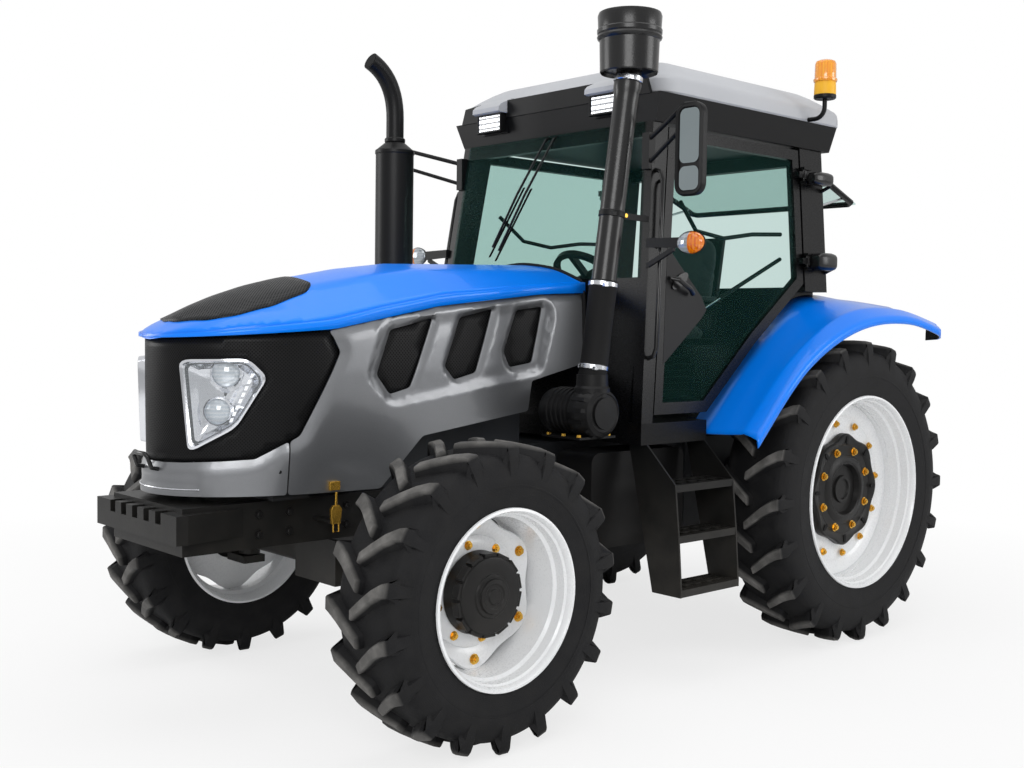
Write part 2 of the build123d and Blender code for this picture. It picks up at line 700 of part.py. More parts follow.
def rim_profile(side, wheel_y, bead_r, flange_r, flange_half, disc_y, disc_t, bore_r):
    inner_r = bead_r - BARREL_T
    points = [
        (bead_r, -flange_half + FLANGE_T),
        (flange_r, -flange_half + FLANGE_T),
        (flange_r, -flange_half),
        (inner_r, -flange_half),
        (inner_r, disc_y - disc_t),
        (bore_r, disc_y - disc_t),
        (bore_r, disc_y),
        (inner_r, disc_y),
        (inner_r, flange_half),
        (flange_r, flange_half),
        (flange_r, flange_half - FLANGE_T),
        (bead_r, flange_half - FLANGE_T),
    ]
    return [(r, side * (wheel_y + y)) for r, y in points]


def front_hub_profile(side):
    disc_y = FRONT_WHEEL_Y + FRONT_DISC_Y
    back = disc_y - FRONT_DISC_T
    bore = FRONT_SPINDLE_R + RUN_GAP
    points = [
        (0, disc_y + FRONT_HUB_OUT),
        (FRONT_HUB_CAP_R, disc_y + FRONT_HUB_OUT),
        (FRONT_HUB_CAP_R, disc_y + FRONT_HUB_OUT - FRONT_HUB_CAP_T),
        (FRONT_HUB_R, disc_y + FRONT_HUB_OUT - FRONT_HUB_CAP_T),
        (FRONT_HUB_R, back),
        (FRONT_HUB_FLANGE_R, back),
        (FRONT_HUB_FLANGE_R, back - FRONT_HUB_FLANGE_T),
        (bore, back - FRONT_HUB_FLANGE_T),
        (bore, back - FRONT_HUB_FLANGE_T + FRONT_SPINDLE_LEN + MOVE_GAP),
        (0, back - FRONT_HUB_FLANGE_T + FRONT_SPINDLE_LEN + MOVE_GAP),
    ]
    return [(r, side * y) for r, y in points]


def rear_hub_profile(side):
    face = REAR_WHEEL_Y + REAR_DISC_Y
    bore = REAR_SHAFT_R + RUN_GAP
    sleeve_end = face - REAR_HUB_SLEEVE_LEN
    points = [
        (0, face + REAR_HUB_T - REAR_HUB_WELL_DEEP),
        (REAR_HUB_WELL_R, face + REAR_HUB_T - REAR_HUB_WELL_DEEP),
        (REAR_HUB_WELL_R, face + REAR_HUB_T),
        (REAR_HUB_R, face + REAR_HUB_T),
        (REAR_HUB_R, face),
        (REAR_HUB_SLEEVE_R, face),
        (REAR_HUB_SLEEVE_R, sleeve_end),
        (bore, sleeve_end),
        (bore, sleeve_end + REAR_SHAFT_IN_HUB + MOVE_GAP),
        (0, sleeve_end + REAR_SHAFT_IN_HUB + MOVE_GAP),
    ]
    return [(r, side * y) for r, y in points]


with BuildPart() as front_tyre:
    add(tyre_carcass(FRONT_AXLE_X, FRONT_WHEEL_Y, FRONT_FACETS, FRONT_TREAD_HALF, FRONT_BULGE, FRONT_TYRE_R,
                     FRONT_LUG_H,
                     FRONT_BEAD_R, FRONT_FLANGE_R, FRONT_FLANGE_HALF))
    add(tyre_bars(FRONT_AXLE_X, FRONT_WHEEL_Y, FRONT_TREAD_HALF, FRONT_TYRE_R, FRONT_LUG_H, FRONT_LUG_COUNT))
save(front_tyre.part, "tyre_front_left")
save(front_tyre.part.mirror(Plane.XZ), "tyre_front_right")

with BuildPart() as rear_tyre:
    add(tyre_carcass(REAR_AXLE_X, REAR_WHEEL_Y, REAR_FACETS, REAR_TREAD_HALF, REAR_BULGE, REAR_TYRE_R,
                     REAR_LUG_H,
                     REAR_BEAD_R, REAR_FLANGE_R, REAR_FLANGE_HALF))
    add(tyre_bars(REAR_AXLE_X, REAR_WHEEL_Y, REAR_TREAD_HALF, REAR_TYRE_R, REAR_LUG_H, REAR_LUG_COUNT))
save(rear_tyre.part, "tyre_rear_left")
save(rear_tyre.part.mirror(Plane.XZ), "tyre_rear_right")

disc_slot = CenterArc((0, 0), FRONT_BEAD_R - BARREL_T - DISC_SLOT_IN, -DISC_SLOT_ANGLE / 2, DISC_SLOT_ANGLE)
for side, word in ((LEFT, "left"), (RIGHT, "right")):
    front_rim_section = rim_profile(
        side, FRONT_WHEEL_Y, FRONT_BEAD_R, FRONT_FLANGE_R, FRONT_FLANGE_HALF, FRONT_DISC_Y, FRONT_DISC_T,
        FRONT_HUB_R + SEAT_GAP
    )
    rear_rim_section = rim_profile(
        side, REAR_WHEEL_Y, REAR_BEAD_R, REAR_FLANGE_R, REAR_FLANGE_HALF, REAR_DISC_Y, REAR_DISC_T,
        REAR_DISC_BORE_R
    )
    front_face_y = FRONT_WHEEL_Y + FRONT_DISC_Y
    with BuildPart() as rim_front:
        add(turned(FRONT_AXLE_X, FRONT_TYRE_R, front_rim_section))
        with BuildSketch(wheel_face(FRONT_AXLE_X, FRONT_TYRE_R, side * front_face_y)):
            with PolarLocations(0, DISC_SLOT_COUNT):
                SlotArc(disc_slot, DISC_SLOT_W)
        extrude(amount=side * FRONT_DISC_T, mode=Mode.SUBTRACT)
    save(rim_front.part, "rim_front_" + word)
    with BuildPart() as hub_front:
        add(turned(FRONT_AXLE_X, FRONT_TYRE_R, front_hub_profile(side)))
        hub_face_y = front_face_y + FRONT_HUB_OUT - FRONT_HUB_CAP_T
        with BuildSketch(wheel_face(FRONT_AXLE_X, FRONT_TYRE_R, side * hub_face_y)):
            with PolarLocations(FRONT_HUB_R, HUB_NOTCH_COUNT):
                Rectangle(2 * HUB_NOTCH_DEEP, HUB_NOTCH_W)
        extrude(amount=side * HUB_NOTCH_LEN, mode=Mode.SUBTRACT)
    save(hub_front.part, "hub_front_" + word)
    with BuildPart() as rim_rear:
        add(turned(REAR_AXLE_X, REAR_TYRE_R, rear_rim_section))
    save(rim_rear.part, "rim_rear_" + word)
    with BuildPart() as hub_rear:
        add(turned(REAR_AXLE_X, REAR_TYRE_R, rear_hub_profile(side)))
        with BuildSketch(wheel_face(REAR_AXLE_X, REAR_TYRE_R,
                                    side * (REAR_WHEEL_Y + REAR_DISC_Y + REAR_HUB_T))):
            with PolarLocations(REAR_HUB_R + SCALLOP_OUT, SCALLOP_COUNT):
                Circle(SCALLOP_R)
        extrude(amount=side * REAR_HUB_T, mode=Mode.SUBTRACT)
    save(hub_rear.part, "hub_rear_" + word)

# Steering knuckles: a fork over the kingpin boss with the wheel spindle
boss_top = FRONT_TYRE_R + KINGPIN_BOSS_H / 2
boss_bottom = FRONT_TYRE_R - KINGPIN_BOSS_H / 2
hub_back_y = FRONT_WHEEL_Y + FRONT_DISC_Y - FRONT_DISC_T - FRONT_HUB_FLANGE_T
web_out_y = hub_back_y - MOVE_GAP
for side, word in ((LEFT, "left"), (RIGHT, "right")):
    arm_in = side * (KINGPIN_Y - KNUCKLE_BACK)
    with BuildPart() as knuckle:
        block(FRONT_AXLE_X - KNUCKLE_HALF_X, FRONT_AXLE_X + KNUCKLE_HALF_X,
              side * (web_out_y - KNUCKLE_WEB_T),
              side * web_out_y, boss_bottom - MOVE_GAP - KNUCKLE_ARM_T, boss_top + MOVE_GAP + KNUCKLE_ARM_T)
        block(FRONT_AXLE_X - KNUCKLE_HALF_X, FRONT_AXLE_X + KNUCKLE_HALF_X, arm_in, side * web_out_y,
              boss_top + MOVE_GAP, boss_top + MOVE_GAP + KNUCKLE_ARM_T)
        block(FRONT_AXLE_X - KNUCKLE_HALF_X, FRONT_AXLE_X + KNUCKLE_HALF_X, arm_in, side * web_out_y,
              boss_bottom - MOVE_GAP - KNUCKLE_ARM_T, boss_bottom - MOVE_GAP)
        rod((FRONT_AXLE_X, side * KINGPIN_Y, boss_top + MOVE_GAP + KNUCKLE_ARM_T),
            (FRONT_AXLE_X, side * KINGPIN_Y, boss_top - KINGPIN_DEEP), KINGPIN_R)
        rod((FRONT_AXLE_X, side * KINGPIN_Y, boss_bottom - MOVE_GAP - KNUCKLE_ARM_T),
            (FRONT_AXLE_X, side * KINGPIN_Y, boss_bottom + KINGPIN_DEEP), KINGPIN_R)
        rod((FRONT_AXLE_X, side * web_out_y, FRONT_TYRE_R),
            (FRONT_AXLE_X, side * (hub_back_y + FRONT_SPINDLE_LEN), FRONT_TYRE_R), FRONT_SPINDLE_R)
    save(knuckle.part, "knuckle_" + word)

# Front axle: differential block, tubes, kingpin bosses and steering cylinder
with BuildPart() as front_axle:
    block(FRONT_AXLE_X - AXLE_CENTRE_HALF_X, FRONT_AXLE_X + AXLE_CENTRE_HALF_X, -AXLE_CENTRE_HALF_Y,
          AXLE_CENTRE_HALF_Y,
          FRONT_TYRE_R - AXLE_CENTRE_HALF_Z, FRONT_TYRE_R + AXLE_CENTRE_HALF_Z)
    rod((FRONT_AXLE_X, -KINGPIN_Y, FRONT_TYRE_R), (FRONT_AXLE_X, KINGPIN_Y, FRONT_TYRE_R), AXLE_TUBE_R)
    rod((FRONT_AXLE_X - STEER_ROD_BACK, -STEER_ROD_HALF, FRONT_TYRE_R),
        (FRONT_AXLE_X - STEER_ROD_BACK, STEER_ROD_HALF, FRONT_TYRE_R), STEER_ROD_R)
    for side in SIDES:
        block(FRONT_AXLE_X - STEER_ROD_BACK, FRONT_AXLE_X, side * STEER_ROD_ARM_Y,
              side * (STEER_ROD_ARM_Y + STEER_ROD_ARM_W), FRONT_TYRE_R - STEER_ROD_ARM_H / 2,
              FRONT_TYRE_R + STEER_ROD_ARM_H / 2)
        rod((FRONT_AXLE_X, side * KINGPIN_Y, boss_bottom), (FRONT_AXLE_X, side * KINGPIN_Y, boss_top),
            KINGPIN_BOSS_R)
    for side in SIDES:
        rod((FRONT_AXLE_X, side * KINGPIN_Y, boss_bottom),
            (FRONT_AXLE_X, side * KINGPIN_Y, boss_bottom + KINGPIN_DEEP + MOVE_GAP), KINGPIN_R + RUN_GAP,
            Mode.SUBTRACT)
        rod((FRONT_AXLE_X, side * KINGPIN_Y, boss_top),
            (FRONT_AXLE_X, side * KINGPIN_Y, boss_top - KINGPIN_DEEP - MOVE_GAP), KINGPIN_R + RUN_GAP,
            Mode.SUBTRACT)
save(front_axle.part, "front_axle")

# Front support: two rails, the front bolster and the axle saddle
with BuildPart() as front_support:
    for side in SIDES:
        block(RAIL_REAR_X, RAIL_FRONT_X, side * ENGINE_HALF, side * RAIL_OUT, RAIL_BOTTOM_Z, RAIL_TOP_Z)
    block(RAIL_FRONT_X - BOLSTER_LEN, RAIL_FRONT_X, -RAIL_OUT, RAIL_OUT, RAIL_BOTTOM_Z, RAIL_TOP_Z)
    block(FRONT_AXLE_X - SADDLE_HALF_X, FRONT_AXLE_X + SADDLE_HALF_X, -RAIL_OUT, RAIL_OUT,
          FRONT_TYRE_R + AXLE_CENTRE_HALF_Z, ENGINE_BOTTOM_Z)
save(front_support.part, "front_support")

with BuildPart() as front_bumper:
    block(RAIL_FRONT_X, RAIL_FRONT_X + BUMPER_T, -BUMPER_HALF, BUMPER_HALF, BUMPER_BOTTOM_Z, BUMPER_TOP_Z)
    for index in range(NOTCH_COUNT):
        notch_y = (index - (NOTCH_COUNT - 1) / 2) * NOTCH_PITCH
        block(RAIL_FRONT_X, RAIL_FRONT_X + BUMPER_T, notch_y - NOTCH_W / 2, notch_y + NOTCH_W / 2,
              BUMPER_TOP_Z - NOTCH_H, BUMPER_TOP_Z, mode=Mode.SUBTRACT)
    for side in SIDES:
        add(plan_prism(
            [(RAIL_FRONT_X, side * RAIL_OUT), (RAIL_FRONT_X, side * BUMPER_HALF),
             (RAIL_FRONT_X - BRACKET_LEN, side * RAIL_OUT)],
            BUMPER_BOTTOM_Z, BUMPER_TOP_Z))
save(front_bumper.part, "front_bumper")

# Engine as one plain block with its sump, head and fan
with BuildPart() as engine_block:
    block(ENGINE_REAR_X, ENGINE_FRONT_X, -ENGINE_HALF, ENGINE_HALF, ENGINE_BOTTOM_Z, ENGINE_HEAD_Z)
    block(ENGINE_REAR_X, ENGINE_FRONT_X, -ENGINE_HEAD_HALF, ENGINE_HEAD_HALF, ENGINE_HEAD_Z, ENGINE_TOP_Z)
    block(ENGINE_REAR_X, SUMP_FRONT_X, -SUMP_HALF, SUMP_HALF, SUMP_BOTTOM_Z, ENGINE_BOTTOM_Z)
    rod((ENGINE_FRONT_X, 0, FAN_Z), (ENGINE_FRONT_X + FAN_LEN, 0, FAN_Z), FAN_R)
save(engine_block.part, "engine_block")

with BuildPart() as radiator:
    block(RADIATOR_REAR_X, RADIATOR_REAR_X + RADIATOR_T, -RADIATOR_HALF, RADIATOR_HALF, RAIL_TOP_Z,
          RADIATOR_TOP_Z)
save(radiator.part, "radiator")

# Gearbox and rear axle, each with pads that carry the cab floor
with BuildPart() as gearbox:
    block(GEARBOX_REAR_X, ENGINE_REAR_X, -GEARBOX_HALF, GEARBOX_HALF, GEARBOX_BOTTOM_Z, GEARBOX_TOP_Z)
    block(CAB_STEP_X, CAB_STEP_X + CAB_PAD_LEN, -CAB_PAD_HALF, CAB_PAD_HALF, GEARBOX_TOP_Z, FLOOR_BOTTOM_Z)
save(gearbox.part, "gearbox")

with BuildPart() as rear_axle_housing:
    block(HOUSING_REAR_X, GEARBOX_REAR_X, -HOUSING_HALF, HOUSING_HALF, HOUSING_BOTTOM_Z, HOUSING_TOP_Z)
    block(CAB_REAR_X, CAB_REAR_X + CAB_PAD_LEN, -CAB_PAD_HALF, CAB_PAD_HALF, HOUSING_TOP_Z, FLOOR_BOTTOM_Z)
    for side in SIDES:
        cone((REAR_AXLE_X, side * HOUSING_HALF, REAR_TYRE_R),
             (REAR_AXLE_X, side * TRUMPET_END_Y, REAR_TYRE_R),
             TRUMPET_R, TRUMPET_END_R)
        rod((REAR_AXLE_X, side * TRUMPET_END_Y, REAR_TYRE_R),
            (REAR_AXLE_X, side * (TRUMPET_END_Y + MOVE_GAP + REAR_SHAFT_IN_HUB), REAR_TYRE_R), REAR_SHAFT_R)
        rod((LINK_PIVOT_X, side * HOUSING_HALF, LINK_PIVOT_Z),
            (LINK_PIVOT_X, side * (LINK_Y + LINK_T / 2), LINK_PIVOT_Z), LINK_PIN_R)
        rod((LIFT_PIVOT_X, side * HOUSING_HALF, LIFT_PIVOT_Z),
            (LIFT_PIVOT_X, side * (LINK_Y + LINK_T / 2), LIFT_PIVOT_Z), LINK_PIN_R)
    rod((HOUSING_REAR_X, 0, PTO_Z), (HOUSING_REAR_X - PTO_COVER_T, 0, PTO_Z), PTO_COVER_R)
    rod((HOUSING_REAR_X, 0, PTO_Z), (HOUSING_REAR_X - PTO_LEN, 0, PTO_Z), PTO_R)
save(rear_axle_housing.part, "rear_axle_housing")

with BuildPart() as drawbar:
    block(DRAWBAR_REAR_X, DRAWBAR_FRONT_X, -DRAWBAR_HALF, DRAWBAR_HALF, DRAWBAR_BOTTOM_Z,
          DRAWBAR_BOTTOM_Z + DRAWBAR_T)
    block(HOUSING_REAR_X, HOUSING_REAR_X + CAB_PAD_LEN, -HANGER_HALF, HANGER_HALF, DRAWBAR_BOTTOM_Z,
          HOUSING_BOTTOM_Z)
    block(DRAWBAR_FRONT_X - CAB_PAD_LEN, DRAWBAR_FRONT_X, -DRAWBAR_HALF, DRAWBAR_HALF, DRAWBAR_BOTTOM_Z,
          HOUSING_BOTTOM_Z)
    rod((DRAWBAR_REAR_X + DRAWBAR_HOLE_IN, 0, DRAWBAR_BOTTOM_Z),
        (DRAWBAR_REAR_X + DRAWBAR_HOLE_IN, 0, DRAWBAR_BOTTOM_Z + DRAWBAR_T), DRAWBAR_HOLE_R, Mode.SUBTRACT)
save(drawbar.part, "drawbar")

# Hitch: lower links and lift arms, a pair of each
with BuildPart() as lower_links:
    for side in SIDES:
        link_in = side * (LINK_Y - LINK_T / 2)
        link_out = side * (LINK_Y + LINK_T / 2)
        rod((LINK_PIVOT_X, link_in, LINK_PIVOT_Z), (LINK_PIVOT_X, link_out, LINK_PIVOT_Z), LINK_EYE_R)
        end_in = side * (LINK_END_Y - LINK_T / 2)
        end_out = side * (LINK_END_Y + LINK_T / 2)
        add(plan_prism(
            [(LINK_PIVOT_X, link_in), (LINK_PIVOT_X, link_out), (LINK_PIVOT_X - LINK_EYE_R, link_out),
             (LINK_END_X + LINK_BALL_R, end_out), (LINK_END_X, end_out), (LINK_END_X, end_in),
             (LINK_END_X + LINK_BALL_R, end_in), (LINK_PIVOT_X - LINK_EYE_R, link_in)],
            LINK_PIVOT_Z - LINK_BAR_H / 2, LINK_PIVOT_Z + LINK_BAR_H / 2))
        rod((LINK_END_X, end_in, LINK_PIVOT_Z), (LINK_END_X, end_out, LINK_PIVOT_Z), LINK_BALL_R)
    for side in SIDES:
        rod((LINK_PIVOT_X, side * HOUSING_HALF, LINK_PIVOT_Z),
            (LINK_PIVOT_X, side * LINK_END_Y, LINK_PIVOT_Z),
            LINK_PIN_R + RUN_GAP, Mode.SUBTRACT)
        rod((LINK_END_X, side * HOUSING_HALF, LINK_PIVOT_Z),
            (LINK_END_X, side * (LINK_END_Y + LINK_T), LINK_PIVOT_Z),
            LINK_HOLE_R, Mode.SUBTRACT)
save(lower_links.part, "lower_links")

with BuildPart() as lift_arms:
    for side in SIDES:
        link_in = side * (LINK_Y - LINK_T / 2)
        link_out = side * (LINK_Y + LINK_T / 2)
        rod((LIFT_PIVOT_X, link_in, LIFT_PIVOT_Z), (LIFT_PIVOT_X, link_out, LIFT_PIVOT_Z), LINK_BALL_R)
        block(LIFT_END_X, LIFT_PIVOT_X, link_in, link_out, LIFT_PIVOT_Z - LIFT_BAR_H / 2,
              LIFT_PIVOT_Z + LIFT_BAR_H / 2)
        rod((LIFT_END_X, link_in, LIFT_PIVOT_Z), (LIFT_END_X, link_out, LIFT_PIVOT_Z), LINK_BALL_R)
    for side in SIDES:
        rod((LIFT_PIVOT_X, side * HOUSING_HALF, LIFT_PIVOT_Z),
            (LIFT_PIVOT_X, side * LINK_END_Y, LIFT_PIVOT_Z),
            LINK_PIN_R + RUN_GAP, Mode.SUBTRACT)
        rod((LIFT_END_X, side * HOUSING_HALF, LIFT_PIVOT_Z), (LIFT_END_X, side * LINK_END_Y, LIFT_PIVOT_Z),
            LIFT_HOLE_R, Mode.SUBTRACT)
save(lift_arms.part, "lift_arms")

# Cab tub: stepped floor, inner wheel walls with a shelf, rear wall
wheel_wall = [
    (CAB_REAR_X, FLOOR_BOTTOM_Z),
    (CAB_STEP_X, FLOOR_BOTTOM_Z),
    *over_tyre(FENDER_INNER[:2]),
    (C_PILLAR_FRONT_X, SHELF_Z),
    (CAB_REAR_X, SHELF_Z),
]
with BuildPart() as cab_tub:
    block(CAB_STEP_X, CAB_FRONT_X, -CAB_HALF, CAB_HALF, FLOOR_BOTTOM_Z, FLOOR_Z)
    block(CAB_REAR_X, CAB_STEP_X, -TUB_HALF, TUB_HALF, FLOOR_BOTTOM_Z, FLOOR_Z)
    for side in SIDES:
        add(side_prism(wheel_wall, side * (TUB_HALF - TUB_WALL_T), side * TUB_HALF))
    block(CAB_REAR_X, CAB_REAR_X + TUB_REAR_T, -TUB_HALF, TUB_HALF, FLOOR_BOTTOM_Z, SILL_Z)
save(cab_tub.part, "cab_tub")

# Fenders: a curved skin with a turned-down lip at the outer edge and a rounded rear corner
def fender_skin(side, y0, y1, inner, outer, thick):
    """A skin between two side-view curves, one at y0 and one at y1."""
    with BuildPart() as skin:
        for y, points in ((y0, inner), (y1, outer)):
            upper = over_tyre(points)
            lower = [(x, z - thick) for x, z in upper]
            with BuildSketch(side_plane(side * y)):
                with BuildLine():
                    Spline(*upper)
                    Line(upper[-1], lower[-1])
                    Spline(*reversed(lower))
                    Line(lower[0], upper[0])
                make_face()
        loft(ruled=True)
    return skin.part


def fender_corner(side):
    """What is cut from the rear outer corner of a fender to round it."""
    rear_x = over_tyre(FENDER_OUTER)[-1][0]
    out_y = FENDER_OUT + FENDER_LIP_T
    with BuildPart() as corner:
        with BuildSketch(Plane.XY.offset(FLOOR_Z)):
            with Locations((rear_x, side * out_y)):
                Rectangle(2 * FENDER_CORNER_R, 2 * FENDER_CORNER_R)
            with Locations((rear_x + FENDER_CORNER_R, side * (out_y - FENDER_CORNER_R))):
                Circle(FENDER_CORNER_R, mode=Mode.SUBTRACT)
                Rectangle(2 * FENDER_CORNER_R, 2 * FENDER_CORNER_R, mode=Mode.SUBTRACT,
                          align=CORNER_ALIGN[side])
        extrude(amount=ROOF_TOP_Z - FLOOR_Z)
    return corner.part


with BuildPart() as fenders:
    for side in SIDES:
        add(fender_skin(side, TUB_HALF, FENDER_OUT, FENDER_INNER, FENDER_OUTER, FENDER_T))
        add(fender_skin(side, FENDER_OUT, FENDER_OUT + FENDER_LIP_T, FENDER_OUTER, FENDER_OUTER, FENDER_LIP))
    for side in SIDES:
        add(fender_corner(side), mode=Mode.SUBTRACT)
save(fenders.part, "fenders")

# Cab frame: front pillars with cowl and header, rear pillars with sill and header
a_pillar = [
    (CAB_FRONT_X - A_PILLAR_BOTTOM, FLOOR_Z),
    (CAB_FRONT_X, FLOOR_Z),
    (A_PILLAR_TOP_FRONT_X, CAB_TOP_Z),
    (A_PILLAR_TOP_FRONT_X - A_PILLAR_TOP, CAB_TOP_Z),
]


def screen_x(z):
    """Forward position of the leaning windscreen plane at a height."""
    return CAB_FRONT_X + (A_PILLAR_TOP_FRONT_X - CAB_FRONT_X) * (z - FLOOR_Z) / (CAB_TOP_Z - FLOOR_Z)


cowl = [
    (screen_x(FLOOR_Z) - COWL_T, FLOOR_Z),
    (screen_x(FLOOR_Z), FLOOR_Z),
    (screen_x(COWL_TOP_Z), COWL_TOP_Z),
    (screen_x(COWL_TOP_Z) - COWL_T, COWL_TOP_Z),
]
header = [
    (screen_x(CAB_TOP_Z - HEADER_H) - COWL_T, CAB_TOP_Z - HEADER_H),
    (screen_x(CAB_TOP_Z - HEADER_H), CAB_TOP_Z - HEADER_H),
    (screen_x(CAB_TOP_Z), CAB_TOP_Z),
    (screen_x(CAB_TOP_Z) - COWL_T, CAB_TOP_Z),
]
with BuildPart() as cab_front_frame:
    for side in SIDES:
        add(side_prism(a_pillar, 0, side * CAB_HALF) & cab_slab(side, 0, PILLAR_T, FLOOR_Z, CAB_TOP_Z))
    add(side_prism(cowl, -COWL_HALF, COWL_HALF))
    add(side_prism(header, -HEADER_HALF, HEADER_HALF))
    for side in SIDES:
        block(screen_x(HOOD_PIVOT_Z) - COWL_T / 2, HOOD_PIVOT_X + HOOD_PIN_R,
              side * HOOD_ARM_Y - HOOD_ARM_HALF,
              side * HOOD_ARM_Y + HOOD_ARM_HALF, HOOD_PIVOT_Z - HOOD_ARM_DROP, HOOD_PIVOT_Z + HOOD_ARM_RISE)
        rod((HOOD_PIVOT_X, side * HOOD_ARM_Y, HOOD_PIVOT_Z),
            (HOOD_PIVOT_X, side * (HOOD_ARM_Y + HOOD_ARM_HALF + MOVE_GAP + HOOD_EYE_W), HOOD_PIVOT_Z),
            HOOD_PIN_R)
save(cab_front_frame.part, "cab_front_frame")

with BuildPart() as cab_rear_frame:
    for side in SIDES:
        add(side_prism(
            [(CAB_REAR_X, SHELF_Z), (C_PILLAR_FRONT_X, SHELF_Z), (C_PILLAR_FRONT_X, CAB_TOP_Z),
             (CAB_REAR_X, CAB_TOP_Z)],
            0, side * CAB_HALF) & cab_slab(side, 0, PILLAR_T, SHELF_Z, CAB_TOP_Z))
        block(CAB_REAR_X, C_PILLAR_FRONT_X, side * (TUB_HALF - TUB_WALL_T),
              side * SHELF_HALF - side * MOVE_GAP,
              SHELF_Z, SHELF_Z + SHELF_T)
    block(CAB_REAR_X, CAB_REAR_X + TUB_REAR_T, -TUB_HALF + TUB_WALL_T, TUB_HALF - TUB_WALL_T, SILL_Z,
          SHELF_Z + SHELF_T)
    block(CAB_REAR_X, CAB_REAR_X + REAR_HEADER_T, -HEADER_HALF, HEADER_HALF, CAB_TOP_Z - HEADER_H, CAB_TOP_Z)
    for side in SIDES:
        for hinge_z in HINGE_ZS:
            skin_y = cab_y(hinge_z)
            axis_y = skin_y + HINGE_OUT
            for rise in (HINGE_EYE_H / 2 + MOVE_GAP, -HINGE_EYE_H / 2 - MOVE_GAP - HINGE_ARM_T):
                block(HINGE_X - HINGE_ARM_LEN, HINGE_X + HINGE_ARM_HALF, side * (axis_y - HINGE_ARM_HALF),
                      side * (axis_y + HINGE_ARM_HALF), hinge_z + rise, hinge_z + rise + HINGE_ARM_T)
                block(HINGE_X - HINGE_ARM_LEN, C_PILLAR_FRONT_X, side * (skin_y - HINGE_SINK), side * axis_y,
                      hinge_z + rise, hinge_z + rise + HINGE_ARM_T)
            rod(hinge_point(side, hinge_z - HINGE_EYE_H / 2 - MOVE_GAP - HINGE_ARM_T),
                hinge_point(side, hinge_z + HINGE_EYE_H / 2 + MOVE_GAP + HINGE_ARM_T), HINGE_PIN_R)
save(cab_rear_frame.part, "cab_rear_frame")

# Glass: windscreen bonded on the pillars' front faces, rear pane swung open
screen = [
    (screen_x(COWL_TOP_Z), COWL_TOP_Z),
    (screen_x(COWL_TOP_Z) + SCREEN_T, COWL_TOP_Z),
    (screen_x(CAB_TOP_Z) + SCREEN_T, CAB_TOP_Z),
    (screen_x(CAB_TOP_Z), CAB_TOP_Z),
]
with BuildPart() as windscreen:
    add(side_prism(screen, -SCREEN_HALF_BOTTOM, SCREEN_HALF_BOTTOM))
    add(front_prism(
        [(-SCREEN_HALF_BOTTOM, COWL_TOP_Z), (SCREEN_HALF_BOTTOM, COWL_TOP_Z), (SCREEN_HALF_TOP, CAB_TOP_Z),
         (-SCREEN_HALF_TOP, CAB_TOP_Z)],
        CAB_REAR_X, CAB_FRONT_X + HOOD_ROOM), mode=Mode.INTERSECT)
save(windscreen.part, "windscreen")

pane = [
    (CAB_REAR_X, PANE_HINGE_Z),
    (CAB_REAR_X - REAR_PANE_OPEN_X, PANE_HINGE_Z - REAR_PANE_DROP),
    (CAB_REAR_X - REAR_PANE_OPEN_X, PANE_HINGE_Z - REAR_PANE_DROP + REAR_PANE_T),
    (CAB_REAR_X, PANE_HINGE_Z + REAR_PANE_T),
]
with BuildPart() as rear_window:
    add(side_prism(pane, -REAR_PANE_HALF, REAR_PANE_HALF))
save(rear_window.part, "rear_window")

# Doors: a frame cut from the leaning side slab, and its glass
door_front_low_x = CAB_FRONT_X - A_PILLAR_BOTTOM - MOVE_GAP
door_lean = (CAB_FRONT_X - A_PILLAR_BOTTOM - A_PILLAR_TOP_FRONT_X + A_PILLAR_TOP) / (CAB_TOP_Z - FLOOR_Z)


def door_front_x(z):
    """Forward edge of the door at a height, parallel to the front pillar."""
    return door_front_low_x - (z - FLOOR_Z) * door_lean


door_outline = [
    (DOOR_REAR_X, DOOR_MID_Z),
    (DOOR_KNEE_X, DOOR_KNEE_Z),
    (DOOR_LOW_REAR_X, DOOR_BOTTOM_Z),
    (door_front_x(DOOR_BOTTOM_Z), DOOR_BOTTOM_Z),
    (door_front_x(DOOR_TOP_Z), DOOR_TOP_Z),
    (DOOR_REAR_X, DOOR_TOP_Z),
]
with BuildPart() as door_inset:
    with BuildSketch(side_plane(CAB_HALF)):
        with BuildLine():
            Polyline(*door_outline, close=True)
        make_face()
        offset(amount=-DOOR_RIM, kind=Kind.INTERSECTION, mode=Mode.REPLACE)
    extrude(amount=2 * CAB_HALF)
door_window = door_inset.part
for side, word in ((LEFT, "left"), (RIGHT, "right")):
    with BuildPart() as door:
        add(side_prism(door_outline, 0, side * CAB_HALF) & cab_slab(side, 0, DOOR_T, FLOOR_Z, CAB_TOP_Z))
        add(door_window, mode=Mode.SUBTRACT)
        for hinge_z in HINGE_ZS:
            rod(hinge_point(side, hinge_z - HINGE_EYE_H / 2), hinge_point(side, hinge_z + HINGE_EYE_H / 2),
                HINGE_EYE_R)
            block(HINGE_X, HINGE_X + HINGE_STRAP_LEN, side * (cab_y(hinge_z) - HINGE_SINK),
                  side * (cab_y(hinge_z) + HINGE_OUT + HINGE_SINK), hinge_z - HINGE_STRAP_H / 2,
                  hinge_z + HINGE_STRAP_H / 2)
        for hinge_z in HINGE_ZS:
            rod(hinge_point(side, hinge_z - HINGE_EYE_H), hinge_point(side, hinge_z + HINGE_EYE_H),
                HINGE_PIN_R + RUN_GAP, Mode.SUBTRACT)
    save(door.part, "door_" + word)
    with BuildPart() as door_glass:
        add(door_window & cab_slab(side, DOOR_GLASS_IN, DOOR_GLASS_IN + DOOR_GLASS_T, FLOOR_Z, CAB_TOP_Z))
    save(door_glass.part, "door_glass_" + word)

